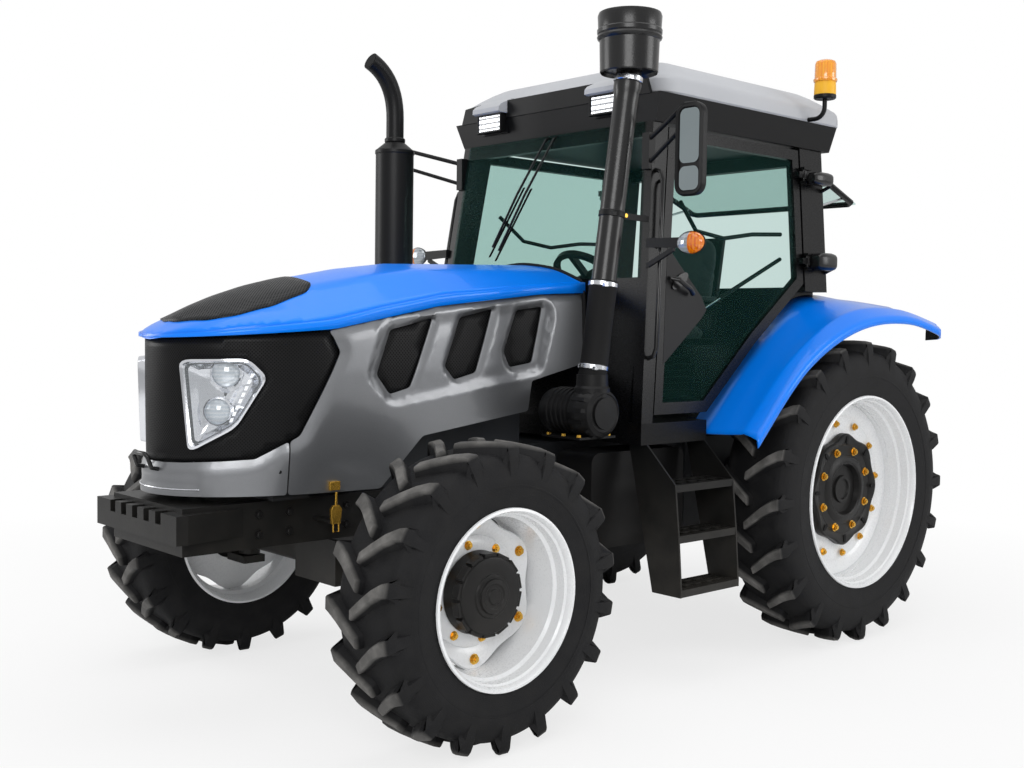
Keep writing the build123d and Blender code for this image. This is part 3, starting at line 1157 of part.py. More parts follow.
# Roof: dark flared liner with lamp pods below, pale shell with visors and a rear valance above
liner_mid_x = (LINER_FRONT_X + LINER_REAR_X) / 2
with BuildPart() as roof_liner:
    with BuildSketch(Plane(origin=(liner_mid_x, 0, CAB_TOP_Z))):
        Rectangle(LINER_FRONT_X - LINER_REAR_X, 2 * LINER_HALF)
    with BuildSketch(Plane(origin=(liner_mid_x + (ROOF_FRONT_X - LINER_FRONT_X) / 2, 0, LINER_TOP_Z))):
        Rectangle(ROOF_FRONT_X - LINER_REAR_X, 2 * (LINER_HALF + LINER_FLARE))
    loft(ruled=True)
    for side in SIDES:
        block(ROOF_FRONT_X - POD_LEN, ROOF_FRONT_X, side * POD_Y - POD_W / 2, side * POD_Y + POD_W / 2,
              LAMP_Z - POD_BELOW, LINER_TOP_Z)
save(roof_liner.part, "roof_liner")

roof_mid_x = (ROOF_FRONT_X + ROOF_REAR_X) / 2
roof_len = ROOF_FRONT_X - ROOF_REAR_X
with BuildPart() as roof:
    with BuildSketch(Plane(origin=(roof_mid_x, 0, LINER_TOP_Z))):
        RectangleRounded(roof_len, 2 * ROOF_HALF, ROOF_CORNER_R)
    extrude(amount=ROOF_BELT_Z - LINER_TOP_Z)
    with BuildSketch(Plane(origin=(roof_mid_x, 0, ROOF_BELT_Z))):
        RectangleRounded(roof_len, 2 * ROOF_HALF, ROOF_CORNER_R)
    with BuildSketch(Plane(origin=(roof_mid_x, 0, ROOF_TOP_Z))):
        RectangleRounded(roof_len - 2 * ROOF_TOP_IN, 2 * (ROOF_HALF - ROOF_TOP_IN), ROOF_CORNER_R)
    loft(ruled=True)
    for side in SIDES:
        add(side_prism(
            [(ROOF_FRONT_X - POD_LEN, LAMP_Z + LAMP_H), (ROOF_FRONT_X + VISOR_LEN, LAMP_Z + LAMP_H),
             (ROOF_FRONT_X + VISOR_LEN, LAMP_Z + LAMP_H + VISOR_T),
             (ROOF_FRONT_X - POD_LEN, ROOF_BELT_Z + VISOR_T)],
            side * POD_Y - POD_W / 2, side * POD_Y + POD_W / 2))
    block(ROOF_REAR_X, LINER_REAR_X, ROOF_CORNER_R - ROOF_HALF, ROOF_HALF - ROOF_CORNER_R, VALANCE_Z,
          LINER_TOP_Z)
save(roof.part, "roof")

with BuildPart() as work_lamps:
    for side in SIDES:
        block(ROOF_FRONT_X, ROOF_FRONT_X + LAMP_T, side * POD_Y - LAMP_W / 2, side * POD_Y + LAMP_W / 2,
              LAMP_Z, LAMP_Z + LAMP_H)
        block(ROOF_REAR_X - LAMP_T, ROOF_REAR_X, side * REAR_LAMP_Y - REAR_LAMP_W / 2,
              side * REAR_LAMP_Y + REAR_LAMP_W / 2, LAMP_Z, LAMP_Z + LAMP_H)
save(work_lamps.part, "work_lamps")

with BuildPart() as rear_lamps:
    for side in SIDES:
        block(CAB_REAR_X - REAR_LAMP_T, CAB_REAR_X, side * REAR_LAMP_Y - REAR_LAMP_W / 2,
              side * REAR_LAMP_Y + REAR_LAMP_W / 2, REAR_LAMP_LOW_Z, REAR_LAMP_LOW_Z + REAR_LAMP_LOW_H)
save(rear_lamps.part, "rear_lamps")

with BuildPart() as beacon:
    rod((BEACON_X, ROOF_HALF, BEACON_ARM_Z), (BEACON_X, BEACON_Y, BEACON_ARM_Z), BEACON_ARM_R)
    rod((BEACON_X, BEACON_Y, BEACON_ARM_Z - BEACON_ARM_R), (BEACON_X, BEACON_Y, BEACON_BASE_Z), BEACON_ARM_R)
    rod((BEACON_X, BEACON_Y, BEACON_BASE_Z), (BEACON_X, BEACON_Y, BEACON_BASE_Z + BEACON_BASE_H), BEACON_R)
    cone((BEACON_X, BEACON_Y, BEACON_BASE_Z + BEACON_BASE_H),
         (BEACON_X, BEACON_Y, BEACON_BASE_Z + BEACON_BASE_H + BEACON_H), BEACON_R, BEACON_TOP_R)
save(beacon.part, "beacon")

# Hood: one shell cut into top, grille insert, sides, nose, lamps and vent panels

def hood_solid(inset):
    """The hood's body, drawn in from its outer skin by inset."""
    with BuildPart() as body:
        for index, (dx, crease) in enumerate(HOOD_CREASE):
            shoulder_y, shoulder = HOOD_SHOULDER[index]
            back = inset if index == 0 else 0
            half = [
                (HOOD_HALF_LOW - inset, HOOD_LOW_Z - inset),
                (HOOD_HALF_MID - inset, HOOD_MID_Z),
                (HOOD_HALF_CREASE - inset, RAIL_TOP_Z + crease - inset / 2),
                (shoulder_y - inset / 2, RAIL_TOP_Z + shoulder - inset),
            ]
            outline = half + [(0, RAIL_TOP_Z + HOOD_CROWN[index] - inset)] + [(-y, z) for y,
                                                                              z in reversed(half)]
            with BuildSketch(front_plane(HOOD_REAR_X + dx - back)):
                with BuildLine():
                    Polyline(*outline, close=True)
                make_face()
        loft(ruled=True)
        with BuildSketch(Plane.XY.offset(HOOD_LOW_Z - HOOD_ROOM)):
            with BuildLine():
                EllipticalCenterArc((NOSE_CENTRE_X, 0), NOSE_LEN - inset, HOOD_HALF_MID - inset,
                                    start_angle=-90, arc_size=180)
                Polyline((NOSE_CENTRE_X, HOOD_HALF_MID - inset),
                         (HOOD_REAR_X - HOOD_ROOM, HOOD_HALF_MID - inset),
                         (HOOD_REAR_X - HOOD_ROOM, inset - HOOD_HALF_MID),
                         (NOSE_CENTRE_X, inset - HOOD_HALF_MID))
            make_face()
        extrude(amount=HOOD_CROWN[0] + HOOD_LOW_DROP + 2 * HOOD_ROOM, mode=Mode.INTERSECT)
    return body.part


seam_line = hood_line(HOOD_SEAM)
above_seam = side_prism(
    seam_line + [(seam_line[-1][0], seam_line[0][1] + HOOD_ROOM),
                 (seam_line[0][0], seam_line[0][1] + HOOD_ROOM)],
    -HOOD_ROOM, HOOD_ROOM)
lower_line = hood_line(HOOD_LOWER)
below_edge = side_prism(
    lower_line + [(lower_line[-1][0], HOOD_LOW_Z - HOOD_ROOM), (lower_line[0][0], HOOD_LOW_Z - HOOD_ROOM)],
    -HOOD_ROOM, HOOD_ROOM)
nose_zone = side_prism(hood_line(GRILLE_EDGE), -HOOD_ROOM, HOOD_ROOM)
lamp_zones = [side_prism(hood_line(LAMP_EDGE), side * LAMP_INNER_Y, side * HOOD_ROOM) for side in SIDES]
vent_zones = [side_prism(hood_line(vent), -HOOD_ROOM, HOOD_ROOM) for vent in (VENT_A, VENT_B, VENT_C)]
top_grille_zone = plan_prism(
    [(TOP_GRILLE_REAR_X, -TOP_GRILLE_HALF_REAR), (TOP_GRILLE_FRONT_X, -TOP_GRILLE_HALF_FRONT),
     (TOP_GRILLE_FRONT_X, TOP_GRILLE_HALF_FRONT), (TOP_GRILLE_REAR_X, TOP_GRILLE_HALF_REAR)],
    TOP_GRILLE_Z, TOP_GRILLE_Z + HOOD_ROOM)
hood_shell = hood_solid(0) - hood_solid(HOOD_T)
vent_layer = hood_solid(VENT_IN) - hood_solid(VENT_IN + VENT_T)

with BuildPart() as hood_top:
    add(hood_shell & above_seam)
    add(top_grille_zone, mode=Mode.SUBTRACT)
    for side in SIDES:
        eye_in = HOOD_ARM_Y + HOOD_ARM_HALF + MOVE_GAP
        rod((HOOD_PIVOT_X, side * eye_in, HOOD_PIVOT_Z),
            (HOOD_PIVOT_X, side * (eye_in + HOOD_EYE_W), HOOD_PIVOT_Z), HOOD_EYE_R)
        block(HOOD_PIVOT_X - HOOD_WEB_HALF, HOOD_PIVOT_X + HOOD_WEB_HALF, side * eye_in,
              side * (eye_in + HOOD_EYE_W),
              HOOD_PIVOT_Z, HOOD_WEB_TOP_Z)
        rod((HOOD_PIVOT_X, 0, HOOD_PIVOT_Z), (HOOD_PIVOT_X, side * HOOD_HALF_LOW, HOOD_PIVOT_Z),
            HOOD_PIN_R + RUN_GAP,
            Mode.SUBTRACT)
save(hood_top.part, "hood_top")

with BuildPart() as hood_top_grille:
    add(hood_shell & above_seam)
    add(top_grille_zone, mode=Mode.INTERSECT)
save(hood_top_grille.part, "hood_top_grille")

with BuildPart() as hood_sides:
    add(hood_shell - above_seam - below_edge - nose_zone)
    for zone in vent_zones:
        add(zone, mode=Mode.SUBTRACT)
save(hood_sides.part, "hood_sides")

with BuildPart() as hood_nose:
    add((hood_shell & nose_zone) - above_seam)
    for zone in lamp_zones:
        add(zone, mode=Mode.SUBTRACT)
save(hood_nose.part, "hood_nose")

with BuildPart() as headlights:
    for zone in lamp_zones:
        add(hood_shell & zone)
save(headlights.part, "headlights")

with BuildPart() as hood_vents:
    for zone in vent_zones:
        add(vent_layer & zone)
save(hood_vents.part, "hood_vents")

# Steps below each door
with BuildPart() as steps:
    for side in SIDES:
        plate_outline = [(side * STEP_TOP_IN, FLOOR_BOTTOM_Z), (side * CAB_HALF, FLOOR_BOTTOM_Z)]
        plate_outline += [(side * (y + STEP_DEEP), z) for z, y in reversed(STEP_TREADS)]
        plate_outline += [(side * (STEP_TREADS[0][1] + STEP_DEEP), STEP_BOTTOM_Z),
                          (side * STEP_TREADS[0][1], STEP_BOTTOM_Z)]
        add(front_prism(plate_outline, STEP_REAR_X, STEP_REAR_X + STEP_PLATE_T))
        add(front_prism(plate_outline, STEP_FRONT_X - STEP_PLATE_T, STEP_FRONT_X))
        for tread_z, tread_y in STEP_TREADS:
            block(STEP_REAR_X, STEP_FRONT_X, side * tread_y, side * (tread_y + STEP_DEEP), tread_z - STEP_T,
                  tread_z)
            with Locations(((STEP_REAR_X + STEP_FRONT_X) / 2, side * (tread_y + STEP_DEEP / 2),
                            tread_z - STEP_T / 2)):
                with GridLocations(STEP_HOLE_PITCH, STEP_HOLE_ROW, STEP_HOLES, STEP_HOLE_ROWS):
                    Box(STEP_HOLE_LEN, STEP_HOLE_W, STEP_T, mode=Mode.SUBTRACT)
save(steps.part, "steps")

# Tanks either side of the gearbox, on straps
with BuildPart() as tanks:
    for side in SIDES:
        with BuildSketch(side_plane(max(side * TANK_IN, side * TANK_OUT))):
            with Locations(((TANK_REAR_X + TANK_FRONT_X) / 2, (TANK_BOTTOM_Z + TANK_TOP_Z) / 2)):
                RectangleRounded(TANK_FRONT_X - TANK_REAR_X, TANK_TOP_Z - TANK_BOTTOM_Z, TANK_R)
        extrude(amount=TANK_OUT - TANK_IN)
        block(TANK_REAR_X + STRAP_H, TANK_REAR_X + STRAP_H + STRAP_W, side * GEARBOX_HALF, side * TANK_IN,
              STRAP_Z, STRAP_Z + STRAP_H)
        block(TANK_FRONT_X - 2 * STRAP_H, TANK_FRONT_X - 2 * STRAP_H + STRAP_W, side * GEARBOX_HALF,
              side * TANK_IN,
              STRAP_Z, STRAP_Z + STRAP_H)
save(tanks.part, "tanks")

# Air cleaner with its duct to the engine, intake stack, exhaust
with BuildPart() as air_cleaner:
    rod((CLEANER_X, CLEANER_IN, CLEANER_Z), (CLEANER_X, CLEANER_OUT, CLEANER_Z), CLEANER_R)
    rod((CLEANER_X, ENGINE_HALF, CLEANER_Z), (CLEANER_X, CLEANER_IN, CLEANER_Z), CLEANER_DUCT_R)
    rod((CLEANER_X, STACK_Y, CLEANER_Z), (CLEANER_X, STACK_Y, CLEANER_BOSS_Z), CLEANER_BOSS_R)
save(air_cleaner.part, "air_cleaner")

stack_top = (CLEANER_X + STACK_TOP_DX, STACK_Y, STACK_TOP_Z)
stack_lean = STACK_TOP_DX / (STACK_TOP_Z - CLEANER_BOSS_Z)
stack_foot = (CLEANER_X - stack_lean * STACK_R, STACK_Y, CLEANER_BOSS_Z - STACK_R)
stack_end = (CLEANER_X + stack_lean * (STACK_TOP_Z - CLEANER_BOSS_Z + STACK_R), STACK_Y,
             STACK_TOP_Z + STACK_R)
with BuildPart() as intake_stack:
    rod(stack_foot, stack_end, STACK_R)
    split(bisect_by=Plane.XY.offset(CLEANER_BOSS_Z), keep=Keep.TOP)
    rod(stack_top, (stack_top[0], STACK_Y, STACK_TOP_Z + BOWL_H), BOWL_R)
    rod((stack_top[0], STACK_Y, STACK_TOP_Z + BOWL_H),
        (stack_top[0], STACK_Y, STACK_TOP_Z + BOWL_H + BOWL_CAP_H), BOWL_CAP_R)
    cone((stack_top[0], STACK_Y, STACK_TOP_Z + BOWL_H + BOWL_CAP_H),
         (stack_top[0], STACK_Y, STACK_TOP_Z + BOWL_H + BOWL_CAP_H + BOWL_DOME_H), BOWL_CAP_R, STACK_R)
save(intake_stack.part, "intake_stack")

with BuildPart() as exhaust_stack:
    with BuildLine() as exhaust_path:
        FilletPolyline((EXHAUST_X, -ENGINE_HALF, EXHAUST_PORT_Z), (EXHAUST_X, EXHAUST_Y, EXHAUST_PORT_Z),
                       (EXHAUST_X, EXHAUST_Y, TAIL_BEND_Z),
                       (EXHAUST_X + TAIL_TIP_DX, EXHAUST_Y, TAIL_TIP_Z), radius=EXHAUST_BEND_R)
    with BuildSketch(Plane(origin=(EXHAUST_X, -ENGINE_HALF, EXHAUST_PORT_Z), z_dir=(0, -1, 0))):
        Circle(EXHAUST_R)
    sweep()
    cone((EXHAUST_X, EXHAUST_Y, MUFFLER_BOTTOM_Z - MUFFLER_CONE_H), (EXHAUST_X, EXHAUST_Y, MUFFLER_BOTTOM_Z),
         EXHAUST_R, MUFFLER_R)
    rod((EXHAUST_X, EXHAUST_Y, MUFFLER_BOTTOM_Z), (EXHAUST_X, EXHAUST_Y, MUFFLER_TOP_Z), MUFFLER_R)
    cone((EXHAUST_X, EXHAUST_Y, MUFFLER_TOP_Z), (EXHAUST_X, EXHAUST_Y, MUFFLER_TOP_Z + MUFFLER_CONE_H),
         MUFFLER_R, EXHAUST_R)
save(exhaust_stack.part, "exhaust_stack")

# Mirrors and turn lamps on arms from the front pillars
with BuildPart() as mirrors:
    for side in SIDES:
        root_y = side * (cab_y(MIRROR_ROOT_Z) - PILLAR_T / 2)
        arm_x = MIRROR_X + MIRROR_T / 2
        with BuildSketch(front_plane(MIRROR_X)):
            with Locations((side * (MIRROR_IN + MIRROR_OUT) / 2, (MIRROR_BOTTOM_Z + MIRROR_TOP_Z) / 2)):
                RectangleRounded(MIRROR_W, MIRROR_TOP_Z - MIRROR_BOTTOM_Z, MIRROR_CORNER_R)
        extrude(amount=MIRROR_T)
        for drop in (0, MIRROR_ARM_DROP):
            rod((MIRROR_ROOT_X, root_y, MIRROR_ROOT_Z - drop), (arm_x, side * MIRROR_IN, MIRROR_ROOT_Z),
                MIRROR_ARM_R)
    add(side_prism(a_pillar, -CAB_HALF, CAB_HALF), mode=Mode.SUBTRACT)
save(mirrors.part, "mirrors")

with BuildPart() as turn_lamps:
    for side in SIDES:
        root_y = side * (cab_y(TURN_Z) - PILLAR_T / 2)
        rod((screen_x(TURN_Z) - PILLAR_T, root_y, TURN_Z), (TURN_X, side * TURN_Y, TURN_Z), TURN_ARM_R)
        with BuildSketch(front_plane(TURN_X - TURN_T / 2)):
            with Locations((side * TURN_Y, TURN_Z)):
                Ellipse(TURN_HALF_W, TURN_HALF_H)
        extrude(amount=TURN_T)
    for side in SIDES:
        add(cab_slab(side, 0, CAB_HALF, FLOOR_Z, CAB_TOP_Z), mode=Mode.SUBTRACT)
save(turn_lamps.part, "turn_lamps")

# Seat, dashboard and steering wheel
with BuildPart() as seat:
    block(SEAT_X - SEAT_LEN / 2, SEAT_X + SEAT_LEN / 2, -SEAT_HALF, SEAT_HALF, CUSHION_Z,
          CUSHION_Z + CUSHION_H)
    block(SEAT_X - PEDESTAL_HALF, SEAT_X + PEDESTAL_HALF, -PEDESTAL_HALF, PEDESTAL_HALF, FLOOR_Z, CUSHION_Z)
    seat_back_x = SEAT_X - SEAT_LEN / 2
    add(side_prism(
        [(seat_back_x, CUSHION_Z), (seat_back_x + BACK_T, CUSHION_Z),
         (seat_back_x + BACK_T - BACK_LEAN, BACK_TOP_Z),
         (seat_back_x - BACK_LEAN, BACK_TOP_Z)],
        -SEAT_HALF, SEAT_HALF))
save(seat.part, "seat")

with BuildPart() as dashboard:
    add(side_prism(
        [(DASH_REAR_X, FLOOR_Z), (DASH_FRONT_X, FLOOR_Z), (DASH_FRONT_X - COWL_T, DASH_TOP_Z),
         (DASH_REAR_X, DASH_TOP_Z)],
        -DASH_HALF, DASH_HALF))
save(dashboard.part, "dashboard")

with BuildPart() as steering_wheel:
    column_end = (DASH_REAR_X + COLUMN_R, 0, COLUMN_Z)
    wheel_run = Vector(WHEEL_HUB_X, 0, WHEEL_HUB_Z) - Vector(*column_end)
    rod(column_end, (WHEEL_HUB_X, 0, WHEEL_HUB_Z), COLUMN_R)
    block(DASH_REAR_X, DASH_FRONT_X, -DASH_HALF, DASH_HALF, FLOOR_Z, DASH_TOP_Z, mode=Mode.SUBTRACT)
    with BuildSketch(Plane(origin=(WHEEL_HUB_X, 0, WHEEL_HUB_Z), x_dir=(0, 1, 0), z_dir=wheel_run)):
        Circle(WHEEL_RING_R + WHEEL_ROD_R)
        Circle(WHEEL_RING_R - WHEEL_ROD_R, mode=Mode.SUBTRACT)
        Rectangle(2 * WHEEL_RING_R, WHEEL_SPOKE_W)
        with Locations((0, -WHEEL_RING_R / 2)):
            Rectangle(WHEEL_SPOKE_W, WHEEL_RING_R)
        Circle(WHEEL_HUB_R)
    extrude(amount=WHEEL_ROD_R * 2)
save(steering_wheel.part, "steering_wheel")
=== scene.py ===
import bmesh
import bpy
import json
import math
from mathutils import Matrix, Vector
from mathutils.geometry import delaunay_2d_cdt


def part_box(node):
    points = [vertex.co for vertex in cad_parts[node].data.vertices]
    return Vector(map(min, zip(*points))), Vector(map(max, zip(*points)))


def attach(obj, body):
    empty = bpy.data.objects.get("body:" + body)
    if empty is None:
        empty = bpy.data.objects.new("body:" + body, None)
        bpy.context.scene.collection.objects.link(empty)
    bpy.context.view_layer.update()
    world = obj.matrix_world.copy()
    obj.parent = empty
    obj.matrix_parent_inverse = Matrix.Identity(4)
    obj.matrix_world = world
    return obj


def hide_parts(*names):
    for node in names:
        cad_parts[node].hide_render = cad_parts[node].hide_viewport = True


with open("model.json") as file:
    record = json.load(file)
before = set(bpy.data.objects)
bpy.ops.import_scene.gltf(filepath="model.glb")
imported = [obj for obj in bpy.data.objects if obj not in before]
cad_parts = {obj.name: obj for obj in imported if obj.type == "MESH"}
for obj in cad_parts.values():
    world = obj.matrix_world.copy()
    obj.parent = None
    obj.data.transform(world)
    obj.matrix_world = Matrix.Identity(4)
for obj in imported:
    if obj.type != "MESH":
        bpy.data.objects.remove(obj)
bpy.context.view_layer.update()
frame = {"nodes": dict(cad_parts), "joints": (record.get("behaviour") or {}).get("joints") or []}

# Viewpoint: a camera left of the nose at eye height, level with the top of the hood.
# Its place, heading, tilt and focal length are those of the photograph's own lens.
CAMERA_AT = Vector((4.3804, 4.5266, 1.6461))
HEADING = math.radians(-132.37)
TILT = math.radians(-2.763)
ROLL = math.radians(0.81)
FOCAL_PIXELS = 1215.78
IMAGE_PIXELS = 1024
SENSOR_MM = 36.0
sight = Vector((math.cos(TILT) * math.cos(HEADING), math.cos(TILT) * math.sin(HEADING), math.sin(TILT)))
level = sight.cross(Vector((0, 0, 1))).normalized()
upward = level.cross(sight)
across = math.cos(ROLL) * level + math.sin(ROLL) * upward
above = math.cos(ROLL) * upward - math.sin(ROLL) * level
camera = bpy.data.objects.new("camera", bpy.data.cameras.new("camera"))
camera.data.sensor_width = SENSOR_MM
camera.data.lens = SENSOR_MM * FOCAL_PIXELS / IMAGE_PIXELS
camera.data.clip_end = 200.0
camera.matrix_world = Matrix.Translation(CAMERA_AT) @ Matrix((across, above, -sight)).transposed().to_4x4()
bpy.context.scene.collection.objects.link(camera)
bpy.context.scene.camera = camera
bpy.context.scene.view_settings.view_transform = "Standard"


# Studio: a pale floor under the tyres, one soft box overhead and three round the sides.
# The floor is a painted sweep that shows near white to the eye and still takes the soft shadow.
class Signal:
    """A shader socket that works in sums: each operator adds one Math node."""

    def __init__(self, tree, socket):
        self.tree = tree
        self.socket = socket

    def math(self, operation, first, second=0.0):
        made = self.tree.nodes.new("ShaderNodeMath")
        made.operation = operation
        for socket, value in zip(made.inputs, (first, second)):
            if isinstance(value, Signal):
                self.tree.links.new(value.socket, socket)
            else:
                socket.default_value = value
        return Signal(self.tree, made.outputs[0])

    def __add__(self, other):
        return self.math("ADD", self, other)

    def __sub__(self, other):
        return self.math("SUBTRACT", self, other)

    def __rsub__(self, other):
        return self.math("SUBTRACT", other, self)

    def __mul__(self, other):
        return self.math("MULTIPLY", self, other)

    def __truediv__(self, other):
        return self.math("DIVIDE", self, other)

    def __gt__(self, other):
        return self.math("GREATER_THAN", self, other)

    def __lt__(self, other):
        return self.math("LESS_THAN", self, other)

    __radd__ = __add__
    __rmul__ = __mul__

    def clamped(self):
        """The same value held between 0 and 1."""
        return self.math("MINIMUM", self.math("MAXIMUM", self, 0.0), 1.0)

    def sine(self):
        return self.math("SINE", self)


class Finish:
    """One material: a principled shader and a single way of adding nodes to it."""

    def __init__(self, name, fixed):
        self.material = bpy.data.materials.new(name)
        self.material.use_nodes = True
        self.tree = self.material.node_tree
        self.shader = self.tree.nodes["Principled BSDF"]
        self.body = Signal(self.tree, self.shader.outputs[0])
        self.place = self.node("ShaderNodeTexCoord", {}, {}, "Object")
        for key, value in fixed.items():
            self.feed(key, value)

    def node(self, kind, settings, sockets, out=0):
        made = self.tree.nodes.new(kind)
        for key, value in settings.items():
            setattr(made, key, value)
        for key, value in sockets.items():
            if isinstance(value, Signal):
                self.tree.links.new(value.socket, made.inputs[key])
            else:
                made.inputs[key].default_value = value
        return Signal(self.tree, made.outputs[out])

    def feed(self, key, value):
        if isinstance(value, Signal):
            self.tree.links.new(value.socket, self.shader.inputs[key])
        else:
            self.shader.inputs[key].default_value = value

    def noise(self, scale, detail=3.0):
        return self.node("ShaderNodeTexNoise", {}, {"Vector": self.place, "Scale": scale, "Detail": detail}, "Fac")

    def axis(self, name):
        """One coordinate of the piece's own space, in metres."""
        return self.node("ShaderNodeSeparateXYZ", {}, {"Vector": self.place}, name)

    def blend(self, share, first, second):
        """A colour between two, by share."""
        return self.node("ShaderNodeMix", {"data_type": "RGBA"}, {0: share, 6: first, 7: second}, 2)

    def bump(self, height, distance):
        self.feed("Normal", self.node("ShaderNodeBump", {}, {"Strength": 1.0, "Distance": distance, "Height": height}))

    def surface(self, share, first, second):
        """Shows a mix of two shaders in place of the principled one alone."""
        mixed = self.node("ShaderNodeMixShader", {}, {0: share, 1: first, 2: second})
        self.tree.links.new(mixed.socket, self.tree.nodes["Material Output"].inputs["Surface"])


def rgb(red, green, blue):
    """A colour written in the 0 to 255 steps of a screen, as linear light."""
    steps = [value / 255 for value in (red, green, blue)]
    return tuple(s / 12.92 if s < 0.04045 else ((s + 0.055) / 1.055) ** 2.4 for s in steps) + (1.0,)


FLOOR_SHADE = rgb(244, 244, 244)
FLOOR_GLOW = 0.74
FLOOR_NEAR = 2.6
FLOOR_FADE = 3.0
FLOOR_REACH = 40.0
floor_finish = Finish("studio_floor", {"Base Color": FLOOR_SHADE, "Roughness": 0.9, "Specular IOR Level": 0.1})
seen = floor_finish.node("ShaderNodeLightPath", {}, {}, "Is Camera Ray")
glow = floor_finish.node("ShaderNodeEmission", {}, {"Color": (1, 1, 1, 1), "Strength": 1.0}, "Emission")
span = floor_finish.node("ShaderNodeVectorMath", {"operation": "LENGTH"}, {0: floor_finish.place}, "Value")
far = ((span - FLOOR_NEAR) / FLOOR_FADE).clamped()
floor_finish.surface(seen * (FLOOR_GLOW + far * (1 - FLOOR_GLOW)), floor_finish.body, glow)
floor_mesh = bpy.data.meshes.new("studio_floor")
floor_corners = [(sx * FLOOR_REACH, sy * FLOOR_REACH, 0.0) for sx, sy in ((-1, -1), (1, -1), (1, 1), (-1, 1))]
floor_mesh.from_pydata(floor_corners, [], [(0, 1, 2, 3)])
floor_mesh.materials.append(floor_finish.material)
floor = bpy.data.objects.new("studio_floor", floor_mesh)
bpy.context.scene.collection.objects.link(floor)

WORLD_LIGHT = 0.50
WORLD_SHINE = 0.25
world = bpy.data.worlds.new("studio")
bpy.context.scene.world = world
world.use_nodes = True
world_tree = world.node_tree
path = world_tree.nodes.new("ShaderNodeLightPath")
direct = Signal(world_tree, path.outputs["Is Camera Ray"])
through = Signal(world_tree, path.outputs["Is Transmission Ray"])
shine = Signal(world_tree, path.outputs["Is Glossy Ray"])
white = (direct + through).clamped() * (1 - WORLD_LIGHT) + shine * WORLD_SHINE + WORLD_LIGHT
world_tree.links.new(white.socket, world_tree.nodes["Background"].inputs["Strength"])
world_tree.nodes["Background"].inputs["Color"].default_value = (1, 1, 1, 1)


def soft_box(name, place, aim, size, power):
    """One square studio lamp, turned to face a point."""
    lamp = bpy.data.lights.new(name, "AREA")
    lamp.shape = "RECTANGLE"
    lamp.size, lamp.size_y = size
    lamp.energy = power
    stand = bpy.data.objects.new(name, lamp)
    turn = (Vector(aim) - Vector(place)).to_track_quat("-Z", "Y").to_matrix().to_4x4()
    stand.matrix_world = Matrix.Translation(place) @ turn
    bpy.context.scene.collection.objects.link(stand)


soft_box("overhead", (0.5, 0.5, 7.0), (0, 0, 1.0), (7.0, 5.0), 165.0)
soft_box("front_left", (6.0, 5.5, 4.2), (0.3, 0.2, 1.2), (4.0, 3.0), 230.0)
soft_box("left_rear", (-4.5, 6.5, 3.4), (-0.8, 0.5, 1.3), (3.5, 3.0), 140.0)
soft_box("right_front", (5.0, -6.0, 3.2), (0.8, 0, 1.2), (3.0, 3.0), 120.0)


# Paints and plastics: sprayed steel, cast iron and moulded plastic share one recipe.
# Two close tones in clouds, dust that settles low, and a fine grain in gloss and surface.
DUST = rgb(138, 132, 122)
DUST_TOP = 1.1
DULL = 0.2


def coating(name, tone, shade, gloss, grain, height, dust=0.0, fixed=None):
    """A finish of two tones with a grain size per metre, a grain height in metres and settled dust."""
    finish = Finish(name, fixed or {"Specular IOR Level": DULL})
    clouds = finish.noise(2.3, 4.0)
    fine = finish.noise(grain, 2.0)
    base = finish.blend(clouds, tone, shade)
    low = ((DUST_TOP - finish.axis("Z")) / DUST_TOP).clamped()
    settled = (low * dust * finish.noise(9.0, 6.0) * 1.6).clamped()
    finish.feed("Base Color", finish.blend(settled, base, DUST))
    finish.feed("Roughness", (gloss + (fine - 0.5) * 0.16 + (clouds - 0.5) * 0.08 + settled * 0.3).clamped())
    finish.bump(fine, height)
    return finish


chassis_paint = coating("chassis_black", rgb(17, 17, 18), rgb(11, 12, 12), 0.40, 160.0, 0.0002, 0.16)
cast_black = coating("hub_black", rgb(18, 18, 19), rgb(12, 12, 13), 0.36, 240.0, 0.0005, 0.08)
engine_iron = coating("engine_grey", rgb(52, 54, 58), rgb(38, 40, 43), 0.55, 130.0, 0.0007, 0.15)
cab_paint = coating("cab_black", rgb(9, 9, 10), rgb(6, 6, 7), 0.28, 200.0, 0.00002, 0.03)
moulded_black = coating("trim_black", rgb(16, 16, 17), rgb(12, 12, 13), 0.44, 420.0, 0.00005, 0.06)
rim_white = coating("wheel_white", rgb(240, 241, 242), rgb(226, 228, 230), 0.28, 120.0, 0.0002, 0.06,
                    {"Coat Weight": 0.4, "Coat Roughness": 0.12})
heat_black = coating("exhaust_black", rgb(16, 16, 17), rgb(11, 11, 12), 0.38, 320.0, 0.0002, 0.0)
zinc_gold = coating("zinc_gold", rgb(226, 182, 82), rgb(204, 152, 52), 0.26, 300.0, 0.0003, 0.0, {"Metallic": 0.9})
steel_bright = coating("bright_steel", rgb(214, 216, 220), rgb(186, 188, 192), 0.22, 260.0, 0.0002, 0.0,
                       {"Metallic": 1.0})
seal_rubber = coating("seal_rubber", rgb(16, 16, 17), rgb(12, 12, 13), 0.7, 300.0, 0.0005, 0.0)


def dress(finish, *nodes):
    """Gives finished CAD pieces their material."""
    for name in nodes:
        frame["nodes"][name].material_slots[0].material = finish.material


dress(chassis_paint, "front_axle", "front_support", "front_bumper", "knuckle_left", "knuckle_right", "drawbar",
      "lower_links", "lift_arms", "steps")
dress(engine_iron, "engine_block", "gearbox", "rear_axle_housing")
dress(moulded_black, "tanks", "dashboard", "steering_wheel", "roof_liner")
dress(cab_paint, "cab_tub", "cab_front_frame", "cab_rear_frame", "door_left", "door_right")


